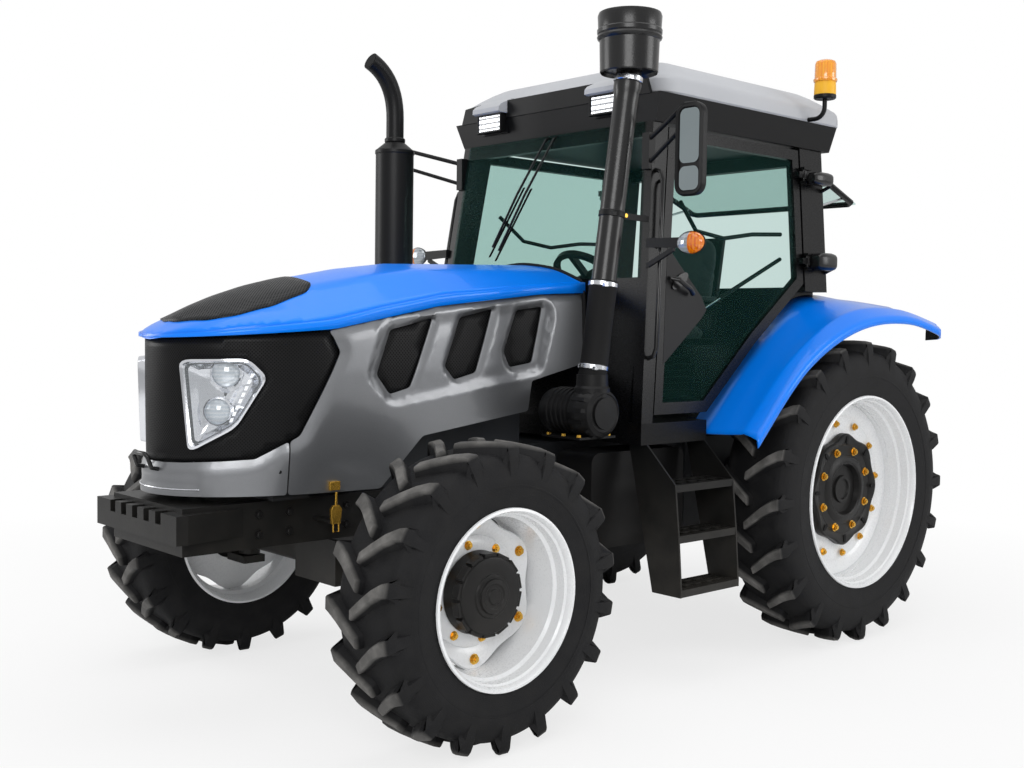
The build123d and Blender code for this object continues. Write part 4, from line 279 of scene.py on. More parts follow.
# Tyres: black agricultural rubber with deep bars that meet near the middle in a broken V.
# One bar is shaped and copied round the carcass; dusty scuffs show on the bar tops.
def turns(count):
    """Angles evenly round a circle."""
    return [2 * math.pi * step / count for step in range(count)]


class Shape:
    """Points and faces gathered from simple forms, each face with its own finish."""

    def __init__(self):
        self.points = []
        self.faces = []
        self.marks = []
        self.finishes = []

    def add(self, points, faces, finish):
        if finish not in self.finishes:
            self.finishes.append(finish)
        start = len(self.points)
        self.points += [Vector(point) for point in points]
        self.faces += [[start + index for index in face] for face in faces]
        self.marks += [self.finishes.index(finish)] * len(faces)

    def grid(self, rows, finish, loop=False, ring=False, caps=False):
        """Quads between rows of points: loop closes a row, ring joins the last row to the first."""
        wide = len(rows[0])
        tall = len(rows)
        faces = []
        for r in range(tall if ring else tall - 1):
            for c in range(wide if loop else wide - 1):
                after = (c + 1) % wide
                below = (r + 1) % tall
                faces.append((r * wide + c, r * wide + after, below * wide + after, below * wide + c))
        if caps:
            faces.append(tuple(range(wide)))
            faces.append(tuple(range((tall - 1) * wide, tall * wide)))
        self.add([point for row in rows for point in row], faces, finish)

    def turned(self, profile, centre, finish, segments=64, closed=True):
        """A profile of radius and lateral place swung about the axle line through a centre."""
        rows = [[centre + Vector((r * math.sin(angle), y, r * math.cos(angle))) for r, y in profile]
                for angle in turns(segments)]
        self.grid(rows, finish, loop=closed, ring=True)

    def box(self, first, second, finish):
        """A block between any two opposite corners."""
        low, high = zip(*(sorted(pair) for pair in zip(first, second)))
        ends = [[Vector((x, y, z)) for y, z in ((low[1], low[2]), (high[1], low[2]), (high[1], high[2]),
                                                (low[1], high[2]))] for x in (low[0], high[0])]
        self.grid(ends, finish, loop=True, caps=True)

    def prism(self, outline, push, finish):
        """A flat outline carried along a push."""
        near = [Vector(point) for point in outline]
        self.grid([near, [point + Vector(push) for point in near]], finish, loop=True, caps=True)

    def tube(self, path, radius, finish, sides=12):
        """A round bar along a path of points, with flat ends."""
        points = [Vector(point) for point in path]
        rows = []
        side = Vector((0, 0, 1)) if abs((points[1] - points[0]).normalized().z) < 0.9 else Vector((1, 0, 0))
        for index, point in enumerate(points):
            before = points[max(index - 1, 0)]
            after = points[min(index + 1, len(points) - 1)]
            way = (after - before).normalized()
            side = (side - way * side.dot(way)).normalized()
            other = way.cross(side)
            rows.append([point + radius * (math.cos(turn) * side + math.sin(turn) * other) for turn in turns(sides)])
        self.grid(rows, finish, loop=True, caps=True)

    def mesh(self, mesh, finish):
        self.add([vertex.co for vertex in mesh.vertices], [tuple(face.vertices) for face in mesh.polygons], finish)

    def piece(self, name, body, slot, replaced=(), crease=32.0, bevel=0.0, turn=True):
        """Makes the object: normals outward, smooth up to a crease angle, riding on its body."""
        mesh = bpy.data.meshes.new(name)
        mesh.from_pydata(self.points, [], self.faces)
        for finish in self.finishes:
            mesh.materials.append(finish.material)
        mesh.polygons.foreach_set("material_index", self.marks)
        if turn:
            work = bmesh.new()
            work.from_mesh(mesh)
            bmesh.ops.recalc_face_normals(work, faces=work.faces)
            work.to_mesh(mesh)
            work.free()
        mesh.shade_smooth()
        mesh.set_sharp_from_angle(angle=math.radians(crease))
        thing = bpy.data.objects.new(name, mesh)
        bpy.context.scene.collection.objects.link(thing)
        if bevel:
            edge = thing.modifiers.new("edges", "BEVEL")
            edge.width = bevel
            edge.segments = 2
            edge.limit_method = "ANGLE"
            edge.angle_limit = math.radians(38.0)
            edge.harden_normals = True
        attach(thing, body)
        if replaced:
            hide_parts(*replaced)
        return thing


def ring_tree():
    """Copies of a form turned about the axle direction round a centre."""
    tree = bpy.data.node_groups.new("ring_of_copies", "GeometryNodeTree")
    plugs = {}
    for name, kind, way in (("Form", "NodeSocketGeometry", "INPUT"), ("Count", "NodeSocketInt", "INPUT"),
                            ("First Angle", "NodeSocketFloat", "INPUT"), ("Centre", "NodeSocketVector", "INPUT"),
                            ("Material", "NodeSocketMaterial", "INPUT"), ("Ring", "NodeSocketGeometry", "OUTPUT")):
        plugs[name] = tree.interface.new_socket(name, in_out=way, socket_type=kind).identifier
    given = tree.nodes.new("NodeGroupInput").outputs
    points = tree.nodes.new("GeometryNodePoints")
    order = tree.nodes.new("GeometryNodeInputIndex")
    share = tree.nodes.new("ShaderNodeMath")
    share.operation = "DIVIDE"
    turn = tree.nodes.new("ShaderNodeMath")
    turn.operation = "MULTIPLY_ADD"
    turn.inputs[1].default_value = 2 * math.pi
    spin = tree.nodes.new("ShaderNodeCombineXYZ")
    copies = tree.nodes.new("GeometryNodeInstanceOnPoints")
    real = tree.nodes.new("GeometryNodeRealizeInstances")
    paint = tree.nodes.new("GeometryNodeSetMaterial")
    result = tree.nodes.new("NodeGroupOutput")
    for source, target in ((given["Count"], points.inputs["Count"]), (given["Centre"], points.inputs["Position"]),
                           (order.outputs[0], share.inputs[0]), (given["Count"], share.inputs[1]),
                           (share.outputs[0], turn.inputs[0]), (given["First Angle"], turn.inputs[2]),
                           (turn.outputs[0], spin.inputs["Y"]), (points.outputs[0], copies.inputs["Points"]),
                           (given["Form"], copies.inputs["Instance"]), (spin.outputs[0], copies.inputs["Rotation"]),
                           (copies.outputs[0], real.inputs[0]), (real.outputs[0], paint.inputs["Geometry"]),
                           (given["Material"], paint.inputs["Material"]), (paint.outputs[0], result.inputs[0])):
        tree.links.new(source, target)
    return tree, plugs


RING_TREE, RING_PLUGS = ring_tree()


def ring_of(form, centre, count, first, finish):
    """The mesh of a form, drawn about the origin's axle line, copied evenly round a centre."""
    mesh = bpy.data.meshes.new("form")
    mesh.from_pydata(form.points, [], form.faces)
    holder = bpy.data.objects.new("form", mesh)
    bpy.context.scene.collection.objects.link(holder)
    step = holder.modifiers.new("ring", "NODES")
    step.node_group = RING_TREE
    values = {"Count": count, "First Angle": first, "Centre": tuple(centre), "Material": finish.material}
    for name, value in values.items():
        step[RING_PLUGS[name]] = value
    shown = holder.evaluated_get(bpy.context.evaluated_depsgraph_get())
    copied = bpy.data.meshes.new_from_object(shown)
    bpy.data.objects.remove(holder)
    return copied


def rubber(name, axle, radius):
    """Tyre rubber: near black, with grey dust on the bar tops and faint rings on the side walls."""
    finish = Finish(name, {"Specular IOR Level": 0.18})
    offset = finish.node("ShaderNodeVectorMath", {"operation": "SUBTRACT"}, {0: finish.place, 1: axle})
    flat = finish.node("ShaderNodeVectorMath", {"operation": "MULTIPLY"}, {0: offset, 1: (1, 0, 1)})
    reach = finish.node("ShaderNodeVectorMath", {"operation": "LENGTH"}, {0: flat}, "Value")
    top = ((reach - (radius - 0.022)) / 0.02).clamped()
    patches = finish.noise(14.0, 8.0)
    scuff = ((patches - 0.42) * 3.0).clamped()
    dusty = (top * (0.35 + scuff * 0.4) + scuff * 0.035).clamped()
    base = finish.blend(finish.noise(5.0), rgb(17, 17, 18), rgb(25, 25, 27))
    finish.feed("Base Color", finish.blend(dusty, base, rgb(136, 134, 131)))
    finish.feed("Roughness", 0.62 + scuff * 0.2)
    grain = finish.noise(190.0, 3.0)
    rings = (reach * 900.0).sine() * 0.08
    finish.bump(grain + rings * (1 - top), 0.0012)
    return finish


def smooth_through(points, steps):
    """Points along a smooth line that passes through all the given ones."""
    line = []
    ends = [points[0]] + list(points) + [points[-1]]
    for index in range(len(points) - 1):
        p0, p1, p2, p3 = (Vector(point) for point in ends[index:index + 4])
        for step in range(steps):
            t = step / steps
            line.append(0.5 * (2 * p1 + (p2 - p0) * t + (2 * p0 - 5 * p1 + 4 * p2 - p3) * t * t
                               + (3 * p1 - p0 - 3 * p2 + p3) * t ** 3))
    line.append(Vector(points[-1]))
    return line


# Bar heights, bars on each side of the tread and the radius of the seat on the rim, in metres
LUG_HIGH = {"front": 0.040, "rear": 0.046}
LUG_COUNT = {"front": 18, "rear": 20}
BEAD_R = {"front": 0.352, "rear": 0.505}
TREAD_SHARE = 0.945
LUG_LEAN = 0.66
TYRE_SIDES = 120
LUG_FOOT = {1.015: (0.046, 0.012), 1.045: (0.024, 0.028), 1.05: (0.006, 0.030)}
axles = {}
for joint in frame["joints"]:
    if joint["name"].startswith("spin_"):
        axles[joint["name"][5:]] = Vector(joint["pos_m"])
for corner, axle in axles.items():
    end = corner.split("_")[0]
    low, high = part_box("tyre_" + corner)
    radius = (high.z - low.z) / 2
    wall = (high.y - low.y) / 2
    half = wall * TREAD_SHARE
    crown = radius - LUG_HIGH[end]
    bead = BEAD_R[end]
    finish = rubber("tyre_" + end, tuple(axle), radius)
    outer = [(crown, 0), (crown - 0.003, half * 0.45), (crown - 0.013, half * 0.8), (crown - 0.040, half * 0.97),
             (crown - 0.085, wall * 0.985), (bead + 0.45 * (crown - bead), wall * 0.995), (bead + 0.05, wall * 0.955),
             (bead + 0.012, wall * 0.925), (bead - 0.014, wall * 0.9)]
    shoulder = smooth_through([(r, y, 0) for r, y in outer], 3)
    profile = [(point.x, -point.y) for point in reversed(shoulder[1:])] + [(point.x, point.y) for point in shoulder]
    tyre = Shape()
    tyre.turned(profile, axle, finish, TYRE_SIDES)
    rib = bead + 0.42 * (crown - bead)
    for out in (wall * 0.994, -wall * 0.994):
        tyre.turned([(rib - 0.004, out), (rib, out * 1.005), (rib + 0.004, out), (rib, out * 0.98)], axle, finish,
                    TYRE_SIDES)
    for hand in (1, -1):
        bars = []
        # Share of the half width, radius of the top, half width of the top and of the foot
        for share, top, wide, foot in ((-0.10, crown - 0.004, 0.016, 0.026), (-0.05, radius, 0.021, 0.036),
                                       (0.25, radius, 0.023, 0.040), (0.55, radius - 0.001, 0.024, 0.043),
                                       (0.82, radius - 0.004, 0.026, 0.047), (0.98, radius - 0.010, 0.028, 0.050),
                                       (1.015, radius - 0.022, 0.028, 0.049), (1.045, radius - 0.060, 0.024, 0.040),
                                       (1.050, crown - 0.110, 0.018, 0.028)):
            lateral = half * share
            tread = min(shoulder, key=lambda point: abs(point.y - min(abs(lateral), wall * 0.985)))
            drop, sink = LUG_FOOT.get(share, (top - min(tread.x, top) + 0.012, 0.0))
            base = top - drop
            sunk = lateral - sink
            reach = max(share, 0.0)
            shift = -LUG_LEAN * half * (1 - (1 - min(reach, 1.0)) ** 1.5)
            row = []
            ease = min(0.006, (top - base) * 0.4)
            for r, y, ahead in ((base, sunk, -foot), (top - ease, lateral, -wide - 0.001),
                                (top, lateral, -wide + 0.005), (top, lateral, wide - 0.005),
                                (top - ease, lateral, wide + 0.001), (base, sunk, foot)):
                angle = (shift + ahead) / radius
                row.append(Vector((r * math.sin(angle), hand * y, r * math.cos(angle))))
            bars.append(row)
        lug = Shape()
        lug.grid(bars, finish, loop=True, caps=True)
        start = math.pi / LUG_COUNT[end] * (hand + 1) / 2 + math.pi
        tyre.mesh(ring_of(lug, axle, LUG_COUNT[end], start, finish), finish)
    tyre.piece("tyre_detail_" + corner, "wheel_" + corner, "tyre", ["tyre_" + corner], crease=28.0)


# Wheel rims: white pressed steel, a rolled lip, a stepped barrel and a bolted centre disc.
# The front discs have six lobes with openings between them; the gold zinc bolts are rings of copies.
def bolt(place, way, size, finish):
    """A hexagon bolt head on its washer, with the shank's end standing proud, pointing along way."""
    form = Shape()
    centre = Vector(place)
    turn = Vector((0, way, 0))
    for radius, near, far, sides in ((1.35, 0.0, 0.22, 12), (1.0, 0.22, 0.95, 6), (0.55, 0.95, 1.35, 8)):
        rows = [[centre + turn * depth * size + size * radius * Vector((math.sin(a), 0, math.cos(a)))
                 for a in turns(sides)] for depth in (near, far)]
        form.grid(rows, finish, loop=True, caps=True)
    return form


def which(corner):
    """The end of the machine and the sign of the side for a wheel's corner."""
    end, word = corner.split("_")
    return end, 1 if word == "left" else -1


# Lip radius, lip half width, disc face, disc inner and outer radius, waves and their depth, all in metres
RIM_FORM = {"front": (0.354, 0.186, -0.018, 0.150, 0.296, 6, 0.018),
            "rear": (0.508, 0.190, 0.026, 0.205, 0.462, 12, 0.0)}
RIM_SIDES = 96
DISC_SIDES = 144
# Count, reach from the axle, size and first angle of each ring of bolts
RIM_BOLTS = {"front": ((6, 0.268, 0.016, 0.0), (8, 0.190, 0.014, 0.2)), "rear": ((12, 0.352, 0.015, 0.13),)}
for corner, axle in axles.items():
    end, side = which(corner)
    lip, wide, face, inner, edge, waves, depth = RIM_FORM[end]
    barrel = [(lip - 0.006, wide - 0.016), (lip, wide - 0.007), (lip - 0.002, wide), (lip - 0.012, wide + 0.002),
              (lip - 0.019, wide - 0.008), (lip - 0.022, wide - 0.026), (lip - 0.030, wide - 0.034),
              (lip - 0.032, wide - 0.075), (lip - 0.044, wide - 0.086), (lip - 0.048, face + 0.01),
              (lip - 0.048, -wide + 0.086), (lip - 0.032, -wide + 0.075), (lip - 0.022, -wide + 0.026),
              (lip - 0.010, -wide), (lip, -wide + 0.006), (lip - 0.012, -wide + 0.03), (lip - 0.036, -wide + 0.1),
              (lip - 0.036, wide - 0.1), (lip - 0.012, wide - 0.03)]
    rim = Shape()
    rim.turned([(r, side * y) for r, y in barrel], axle, rim_white, RIM_SIDES)
    rows = []
    for angle in turns(DISC_SIDES):
        reach = edge + depth * (math.cos(waves * angle) - 0.15)
        cut = ((inner, face), (inner + 0.05, face), (inner + 0.07, face - 0.010), (edge - 0.075, face - 0.016),
               (edge - 0.055, face - 0.004), (reach - 0.006, face), (reach, face - 0.005), (reach, face - 0.016),
               (inner, face - 0.016 - 0.012))
        rows.append([axle + Vector((r * math.sin(angle), side * y, r * math.cos(angle))) for r, y in cut])
    rim.grid(rows, rim_white, loop=True, ring=True)
    if end == "rear":
        collar = [(edge - 0.004, face - 0.012), (edge + 0.004, face + 0.03), (lip - 0.05, face + 0.034),
                  (lip - 0.04, face - 0.02)]
        rim.turned([(r, side * y) for r, y in collar], axle, rim_white, RIM_SIDES)
    for count, reach, size, first in RIM_BOLTS[end]:
        head = bolt((0, side * (face - 0.002), reach), side, size, zinc_gold)
        rim.mesh(ring_of(head, axle, count, first, zinc_gold), zinc_gold)
    rim.piece("rim_detail_" + corner, "wheel_" + corner, "wheel_white", ["rim_" + corner], crease=30.0)


# Wheel hubs: black castings; the front ones are drums with a notched edge, a raised disc and a cap.
# The rear ones are dished plates with scalloped edges, gold bolts in pockets and a deep middle well.
DRUM_SIDES = 72
PLATE_SIDES = 160
for corner, axle in axles.items():
    end, side = which(corner)
    low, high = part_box("hub_" + corner)
    outer_face = (high.y if side > 0 else -low.y) - abs(axle.y)
    inner_face = (low.y if side > 0 else -high.y) - abs(axle.y)
    hub = Shape()
    if end == "front":
        drum = [(r, outer_face - back) for r, back in (
            (0.0, 0.0), (0.028, 0.0), (0.032, 0.006), (0.046, 0.006), (0.050, 0.002), (0.066, 0.004), (0.070, 0.014),
            (0.084, 0.014), (0.088, 0.020), (0.128, 0.020), (0.148, 0.024), (0.154, 0.032), (0.158, 0.062))]
        drum += [(0.164, 0.004), (0.166, -0.010), (0.160, -0.018), (0.130, -0.024), (0.118, inner_face),
                 (0.066, inner_face), (0.066, inner_face + 0.03), (0.0, inner_face + 0.03)]
        hub.turned([(r, side * y) for r, y in drum], axle, cast_black, DRUM_SIDES)
        tooth = Shape()
        tooth.box((-0.030, side * (outer_face - 0.066), 0.148), (0.030, side * (outer_face - 0.030), 0.164), cast_black)
        hub.mesh(ring_of(tooth, axle, 14, 0.0, cast_black), cast_black)
        hub.piece("hub_detail_" + corner, "wheel_" + corner, "hub_black", ["hub_" + corner], crease=30.0, bevel=0.002)
        continue
    rows = []
    for angle in turns(PLATE_SIDES):
        scallop = 0.288 + 0.011 * math.cos(8 * angle)
        cut = [(r, outer_face - back) for r, back in (
            (0.0, 0.030), (0.052, 0.030), (0.056, 0.022), (0.070, 0.022), (0.074, 0.034), (0.126, 0.034),
            (0.136, 0.006), (0.146, 0.0), (0.168, 0.002), (0.186, 0.014), (0.236, 0.016), (0.252, 0.006),
            (scallop - 0.008, 0.004), (scallop, 0.012), (scallop, 0.044), (0.2, 0.05))]
        cut += [(0.120, inner_face), (0.0, inner_face)]
        rows.append([axle + Vector((r * math.sin(angle), side * y, r * math.cos(angle))) for r, y in cut])
    hub.grid(rows, cast_black, loop=True, ring=True)
    head = bolt((0, side * (outer_face - 0.017), 0.212), side, 0.017, zinc_gold)
    hub.mesh(ring_of(head, axle, 8, 0.39, zinc_gold), zinc_gold)
    pocket = Shape()
    slot = [(0.262 + 0.010 * math.sin(a) + (0.012 if math.sin(a) > 0 else -0.012), 0.010 * math.cos(a))
            for a in turns(16)]
    pocket.prism([(x, side * (outer_face - 0.004), r) for r, x in slot], (0, side * 0.003, 0), seal_rubber)
    hub.mesh(ring_of(pocket, axle, 8, 0.0, seal_rubber), seal_rubber)
    hub.piece("hub_detail_" + corner, "wheel_" + corner, "hub_black", ["hub_" + corner], crease=30.0)


# Hood side panels: silver metallic pressings with three slanted vents in a sunk field and bevelled edges.
# Each is a fine net of triangles over the panel's side outline, pushed out to the hood's own curve.
def along(table, x):
    """The value at x on a line of straight stretches."""
    for (x0, z0), (x1, z1) in zip(table, table[1:]):
        if x <= x1:
            return z0 + (z1 - z0) * (x - x0) / (x1 - x0)
    return table[-1][1]


def rounded(points, radius, steps=4):
    """An outline with its corners eased by a radius."""
    eased = []
    for index, point in enumerate(points):
        here = Vector(point)
        before = Vector(points[index - 1]) - here
        after = Vector(points[(index + 1) % len(points)]) - here
        cut = min(radius, before.length * 0.45, after.length * 0.45)
        start = here + before.normalized() * cut
        finish = here + after.normalized() * cut
        for step in range(steps + 1):
            t = step / steps
            eased.append(start * (1 - t) ** 2 + here * 2 * t * (1 - t) + finish * t * t)
    return eased


def inside(point, outline):
    """Whether a point lies within an outline."""
    hit = False
    for (x0, y0), (x1, y1) in zip(outline, outline[1:] + outline[:1]):
        if (y0 > point[1]) != (y1 > point[1]) and point[0] < x0 + (x1 - x0) * (point[1] - y0) / (y1 - y0):
            hit = not hit
    return hit


def away(point, line):
    """How far a point is from a line of straight stretches."""
    best = 9.0
    for (x0, y0), (x1, y1) in zip(line, line[1:]):
        ax, ay = x1 - x0, y1 - y0
        px, py = point[0] - x0, point[1] - y0
        t = max(0.0, min(1.0, (px * ax + py * ay) / (ax * ax + ay * ay + 1e-12)))
        best = min(best, math.hypot(px - t * ax, py - t * ay))
    return best


# Twice the area under which a triangle is a sliver and is left out
SLIVER = 1e-6


def net(outline, holes, spacing, lines=()):
    """Triangles over a flat outline with holes and drawn lines: the points and the faces."""
    borders = [[(p[0], p[1]) for p in line] for line in [outline] + list(holes)]
    drawn = [[(p[0], p[1]) for p in line] for line in lines]
    points = []
    edges = []
    for border in borders + drawn:
        first = len(points)
        for (x0, y0), (x1, y1) in zip(border, border[1:] + border[:1]):
            parts = max(1, round(math.hypot(x1 - x0, y1 - y0) / spacing))
            points += [(x0 + (x1 - x0) * k / parts, y0 + (y1 - y0) * k / parts) for k in range(parts)]
        edges += [(k, k + 1 if k + 1 < len(points) else first) for k in range(first, len(points))]
    loops = [border + border[:1] for border in borders + drawn]
    xs = [p[0] for p in borders[0]]
    ys = [p[1] for p in borders[0]]
    row = 0
    y = min(ys)
    while y < max(ys):
        x = min(xs) + (spacing / 2 if row % 2 else 0)
        while x < max(xs):
            spot = (x, y)
            if inside(spot, borders[0]) and not any(inside(spot, hole) for hole in borders[1:]):
                if min(away(spot, loop) for loop in loops) > spacing * 0.5:
                    points.append(spot)
            x += spacing
        y += spacing * 0.87
        row += 1
    made = delaunay_2d_cdt([Vector(p) for p in points], edges, [], 0, 1e-6)
    corners = [tuple(p) for p in made[0]]
    faces = []
    for face in made[2]:
        (ax, ay), (bx, by), (cx, cy) = (corners[k] for k in face)
        if abs((bx - ax) * (cy - ay) - (cx - ax) * (by - ay)) < SLIVER:
            continue
        middle = ((ax + bx + cx) / 3, (ay + by + cy) / 3)
        if inside(middle, borders[0]) and not any(inside(middle, hole) for hole in borders[1:]):
            faces.append(tuple(face))
    return corners, faces


HOOD_REAR = 0.196
HOOD_HALF = 0.456
HOOD_WAIST = 1.45
NOSE_X = 1.610
NOSE_LONG = 0.595
NOSE_STEP = 0.53
SEAM = ((0.130, 1.805), (0.470, 1.790), (1.087, 1.722), (1.625, 1.618), (2.330, 1.566))
MESH_GAP = 0.024
# Spacing of the points in the net of each panel
SIDE_NET, CHIN_NET, VENT_NET, NOSE_NET, TOP_NET, PAD_NET, COVER_NET = 0.017, 0.022, 0.05, 0.034, 0.024, 0.03, 0.05


def hood_half(z):
    """Half the width of the hood at a height: widest at the waist and drawn in below and above it."""
    below = max(0.0, (HOOD_WAIST - z) / 0.57)
    over = min(1.0, max(0.0, (z - HOOD_WAIST) / 0.35))
    return HOOD_HALF - 0.056 * below ** 1.25 - 0.014 * over ** 2


def unrolled(x):
    """The place along the hood's wall of a point seen from the side."""
    return x - NOSE_X if x <= NOSE_X else NOSE_STEP * math.asin(min(1.0, (x - NOSE_X) / NOSE_LONG))


def hood_wall(s, z, out=0.0):
    """A point of the hood's wall: straight along the left side, then round the nose."""
    half = hood_half(z)
    if s <= 0:
        return Vector((NOSE_X + s, half + out, z))
    turn = s / NOSE_STEP
    facing = Vector((math.sin(turn) / NOSE_LONG, math.cos(turn) / half, 0)).normalized()
    return Vector((NOSE_X + NOSE_LONG * math.sin(turn), half * math.cos(turn), z)) + facing * out


def mirrored(points):
    return [Vector((p.x, -p.y, p.z)) for p in points]


def silver(name):
    """Metallic paint: fine bright flakes under a clear coat, with soft clouds."""
    finish = Finish(name, {"Metallic": 0.72, "Coat Weight": 0.6, "Coat Roughness": 0.10})
    flakes = finish.node("ShaderNodeTexVoronoi", {}, {"Vector": finish.place, "Scale": 900.0}, "Distance")
    clouds = finish.noise(1.6, 3.0)
    base = finish.blend(clouds, rgb(108, 110, 113), rgb(116, 118, 121))
    finish.feed("Base Color", finish.blend((flakes * 0.4).clamped(), base, rgb(150, 151, 154)))
    finish.feed("Roughness", 0.33 + (clouds - 0.5) * 0.04 + flakes * 0.06)
    finish.bump(flakes, 0.00006)
    return finish


def mesh_sheet(name, pitch, open_share, tone):
    """Black punched sheet: staggered round holes laid out on the panel's own map, not cut but painted near black as
    painted shade behind the sheet.
    """
    finish = Finish(name, {"Specular IOR Level": DULL})
    flat = finish.node("ShaderNodeUVMap", {"uv_map": "panel"}, {})
    grid = finish.node("ShaderNodeVectorMath", {"operation": "SCALE"}, {0: flat, "Scale": 1.0 / pitch})
    first = finish.node("ShaderNodeSeparateXYZ", {}, {"Vector": grid}, "X")
    second = finish.node("ShaderNodeSeparateXYZ", {}, {"Vector": grid}, "Y")
    waves = (first * 2 * math.pi).sine() * (second * 2 * math.pi).sine()
    holes_painted_dark = waves > (1 - 2 * open_share)
    # The round holes are painted near black: painted shade standing for the dark space behind the sheet.
    finish.feed("Base Color", finish.blend(holes_painted_dark, tone, rgb(5, 5, 6)))
    finish.feed("Roughness", 0.35 + holes_painted_dark * 0.5 + finish.noise(30.0) * 0.08)
    finish.bump(1 - holes_painted_dark, pitch * 0.2)
    return finish


hood_silver = silver("paint_silver")
vent_mesh = mesh_sheet("vent_mesh", 0.016, 0.42, rgb(15, 15, 16))
nose_mesh = mesh_sheet("nose_mesh", 0.014, 0.40, rgb(14, 14, 15))
VENTS = (((1.404, 1.434), (1.334, 1.620), (1.106, 1.673), (1.226, 1.376), (1.331, 1.350)),
         ((1.042, 1.463), (0.955, 1.676), (0.763, 1.719), (0.864, 1.434), (0.985, 1.405)),
         ((0.699, 1.526), (0.617, 1.715), (0.453, 1.735), (0.524, 1.475), (0.661, 1.455)))
VENT_FIELD = ((1.478, 1.420), (1.388, 1.655), (0.430, 1.768), (0.392, 1.700), (0.480, 1.425), (1.335, 1.300))
GRILLE_EDGE = ((1.638, 1.615), (1.590, 1.529), (1.760, 1.195), (1.930, 1.108))
CHIN_X = 1.800
CHIN_LOW = 0.961
CHIN_GAP = 0.005
SIDE_EDGE = tuple((HOOD_REAR + 0.09 * k, along(SEAM, HOOD_REAR + 0.09 * k)) for k in range(16)) + GRILLE_EDGE[:3] + (
    (CHIN_X, 1.174), (CHIN_X, CHIN_LOW), (1.363, 0.955), (1.159, 1.168), (0.551, 1.253), (0.541, 1.392),
    (HOOD_REAR, 1.471))
PANEL_T = 0.006
# Widths of the pressed slopes at the grille edge, the seam, the vent field, its rim and the vents, and two depths
BEVEL_WIDE, SEAM_WIDE, FIELD_WIDE, FIELD_RIM, VENT_WIDE = 0.036, 0.030, 0.020, 0.012, 0.016
EDGE_DEEP, FIELD_DEEP = 0.014, 0.012


def flatten(points):
    return [(unrolled(x), z) for x, z in points]


side_outline = flatten(rounded(SIDE_EDGE, 0.014))
vent_outlines = [flatten(rounded(vent, 0.016)) for vent in VENTS]
field = flatten(rounded(VENT_FIELD, 0.03))
seam_line = flatten([(0.13 + 0.1 * k, along(SEAM, 0.13 + 0.1 * k)) for k in range(20)])
grille_line = flatten(GRILLE_EDGE + ((2.16, 1.09), (2.205, 1.088)))


def side_relief(s, z):
    """How far the panel stands out from the plain wall at a place."""
    out = -EDGE_DEEP * max(0.0, 1 - away((s, z), grille_line) / BEVEL_WIDE)
    out -= FIELD_DEEP * max(0.0, 1 - away((s, z), seam_line) / SEAM_WIDE)
    edge = away((s, z), field + field[:1])
    if inside((s, z), field):
        out -= FIELD_DEEP * min(1.0, edge / FIELD_WIDE)
    else:
        out += 0.003 * max(0.0, 1 - edge / FIELD_RIM)
    near = min(away((s, z), vent + vent[:1]) for vent in vent_outlines)
    return out - EDGE_DEEP * max(0.0, 1 - near / VENT_WIDE)


def flipped(faces):
    return [face[::-1] for face in faces]


def offset(outline, shift):
    """An outline moved outward by a shift."""
    loop = list(zip(outline[-1:] + outline[:-1], outline, outline[1:] + outline[:1]))
    turn = sum(here[0] * after[1] - after[0] * here[1] for before, here, after in loop)
    moved = []
    for before, here, after in loop:
        way = Vector((after[1] - before[1], before[0] - after[0])).normalized() * math.copysign(shift, turn)
        moved.append((here[0] + way.x, here[1] + way.y))
    return moved


def pressed(flat, faces, relief, rounds=2):
    """How far each point of a panel stands out, with the relief's folds eased as in pressed sheet."""
    heights = [relief(s, z) for s, z in flat]
    beside = [set() for point in flat]
    uses = {}
    for face in faces:
        for corner, after in zip(face, face[1:] + face[:1]):
            beside[corner].update(face)
            side = frozenset((corner, after))
            uses[side] = uses.get(side, 0) + 1
    for side, times in uses.items():
        if times == 1:
            for corner in side:
                beside[corner] = {corner}
    for step in range(rounds):
        heights = [0.4 * height + 0.6 * sum(heights[k] for k in near) / len(near) if near else height
                   for height, near in zip(heights, beside)]
    return heights


def thick(shape, flat, faces, heights, finish, right=False):
    """A panel of the hood's wall with its own thickness: outer face, inner face and the cut edge between."""
    used = sorted({k for face in faces for k in face})
    place = {k: index for index, k in enumerate(used)}
    points = [hood_wall(*flat[k], heights[k] - back) for back in (0.0, PANEL_T) for k in used]
    count = len(used)
    outer = [tuple(place[k] for k in face[::-1]) for face in faces]
    ways = dict.fromkeys((a, b) for face in outer for a, b in zip(face, face[1:] + face[:1]))
    skin = outer + [tuple(k + count for k in face[::-1]) for face in outer]
    skin += [(b, a, a + count, b + count) for a, b in ways if (b, a) not in ways]
    shape.add(mirrored(points) if right else points, flipped(skin) if right else skin, finish)


relief_lines = [field, offset(field, -FIELD_WIDE), offset(field, FIELD_RIM)]
relief_lines += [offset(vent, VENT_WIDE) for vent in vent_outlines]
relief_lines += [offset(side_outline, -BEVEL_WIDE / 2), offset(side_outline, -BEVEL_WIDE)]
flat_points, flat_faces = net(side_outline, vent_outlines, SIDE_NET, relief_lines)
side_heights = pressed(flat_points, flat_faces, side_relief)
sides = Shape()
for right in (False, True):
    thick(sides, flat_points, flat_faces, side_heights, hood_silver, right)
chin_edge = [(unrolled(CHIN_X) + CHIN_GAP, z) for z in (CHIN_LOW, 1.173)] + [(unrolled(1.93), 1.107)]
chin_edge += [(unrolled(x), along(((1.93, 1.107), (2.33, 1.08)), x)) for x in (2.05, 2.15, 2.19)]
nose_mid = NOSE_STEP * math.pi / 2


def over_nose(points):
    """The same line on the other side of the nose, from its far end."""
    return [(2 * nose_mid - s, z) for s, z in reversed(points)]


chin_edge = [(p[0], p[1]) for p in rounded(chin_edge + over_nose(chin_edge), 0.012)]
CHIN_PLATE = 0.62
PLATE_FOOT = 0.985
PLATE_DOWN = 0.030
PLATE_WIDE = 0.012
PLATE_DEEP = 0.007


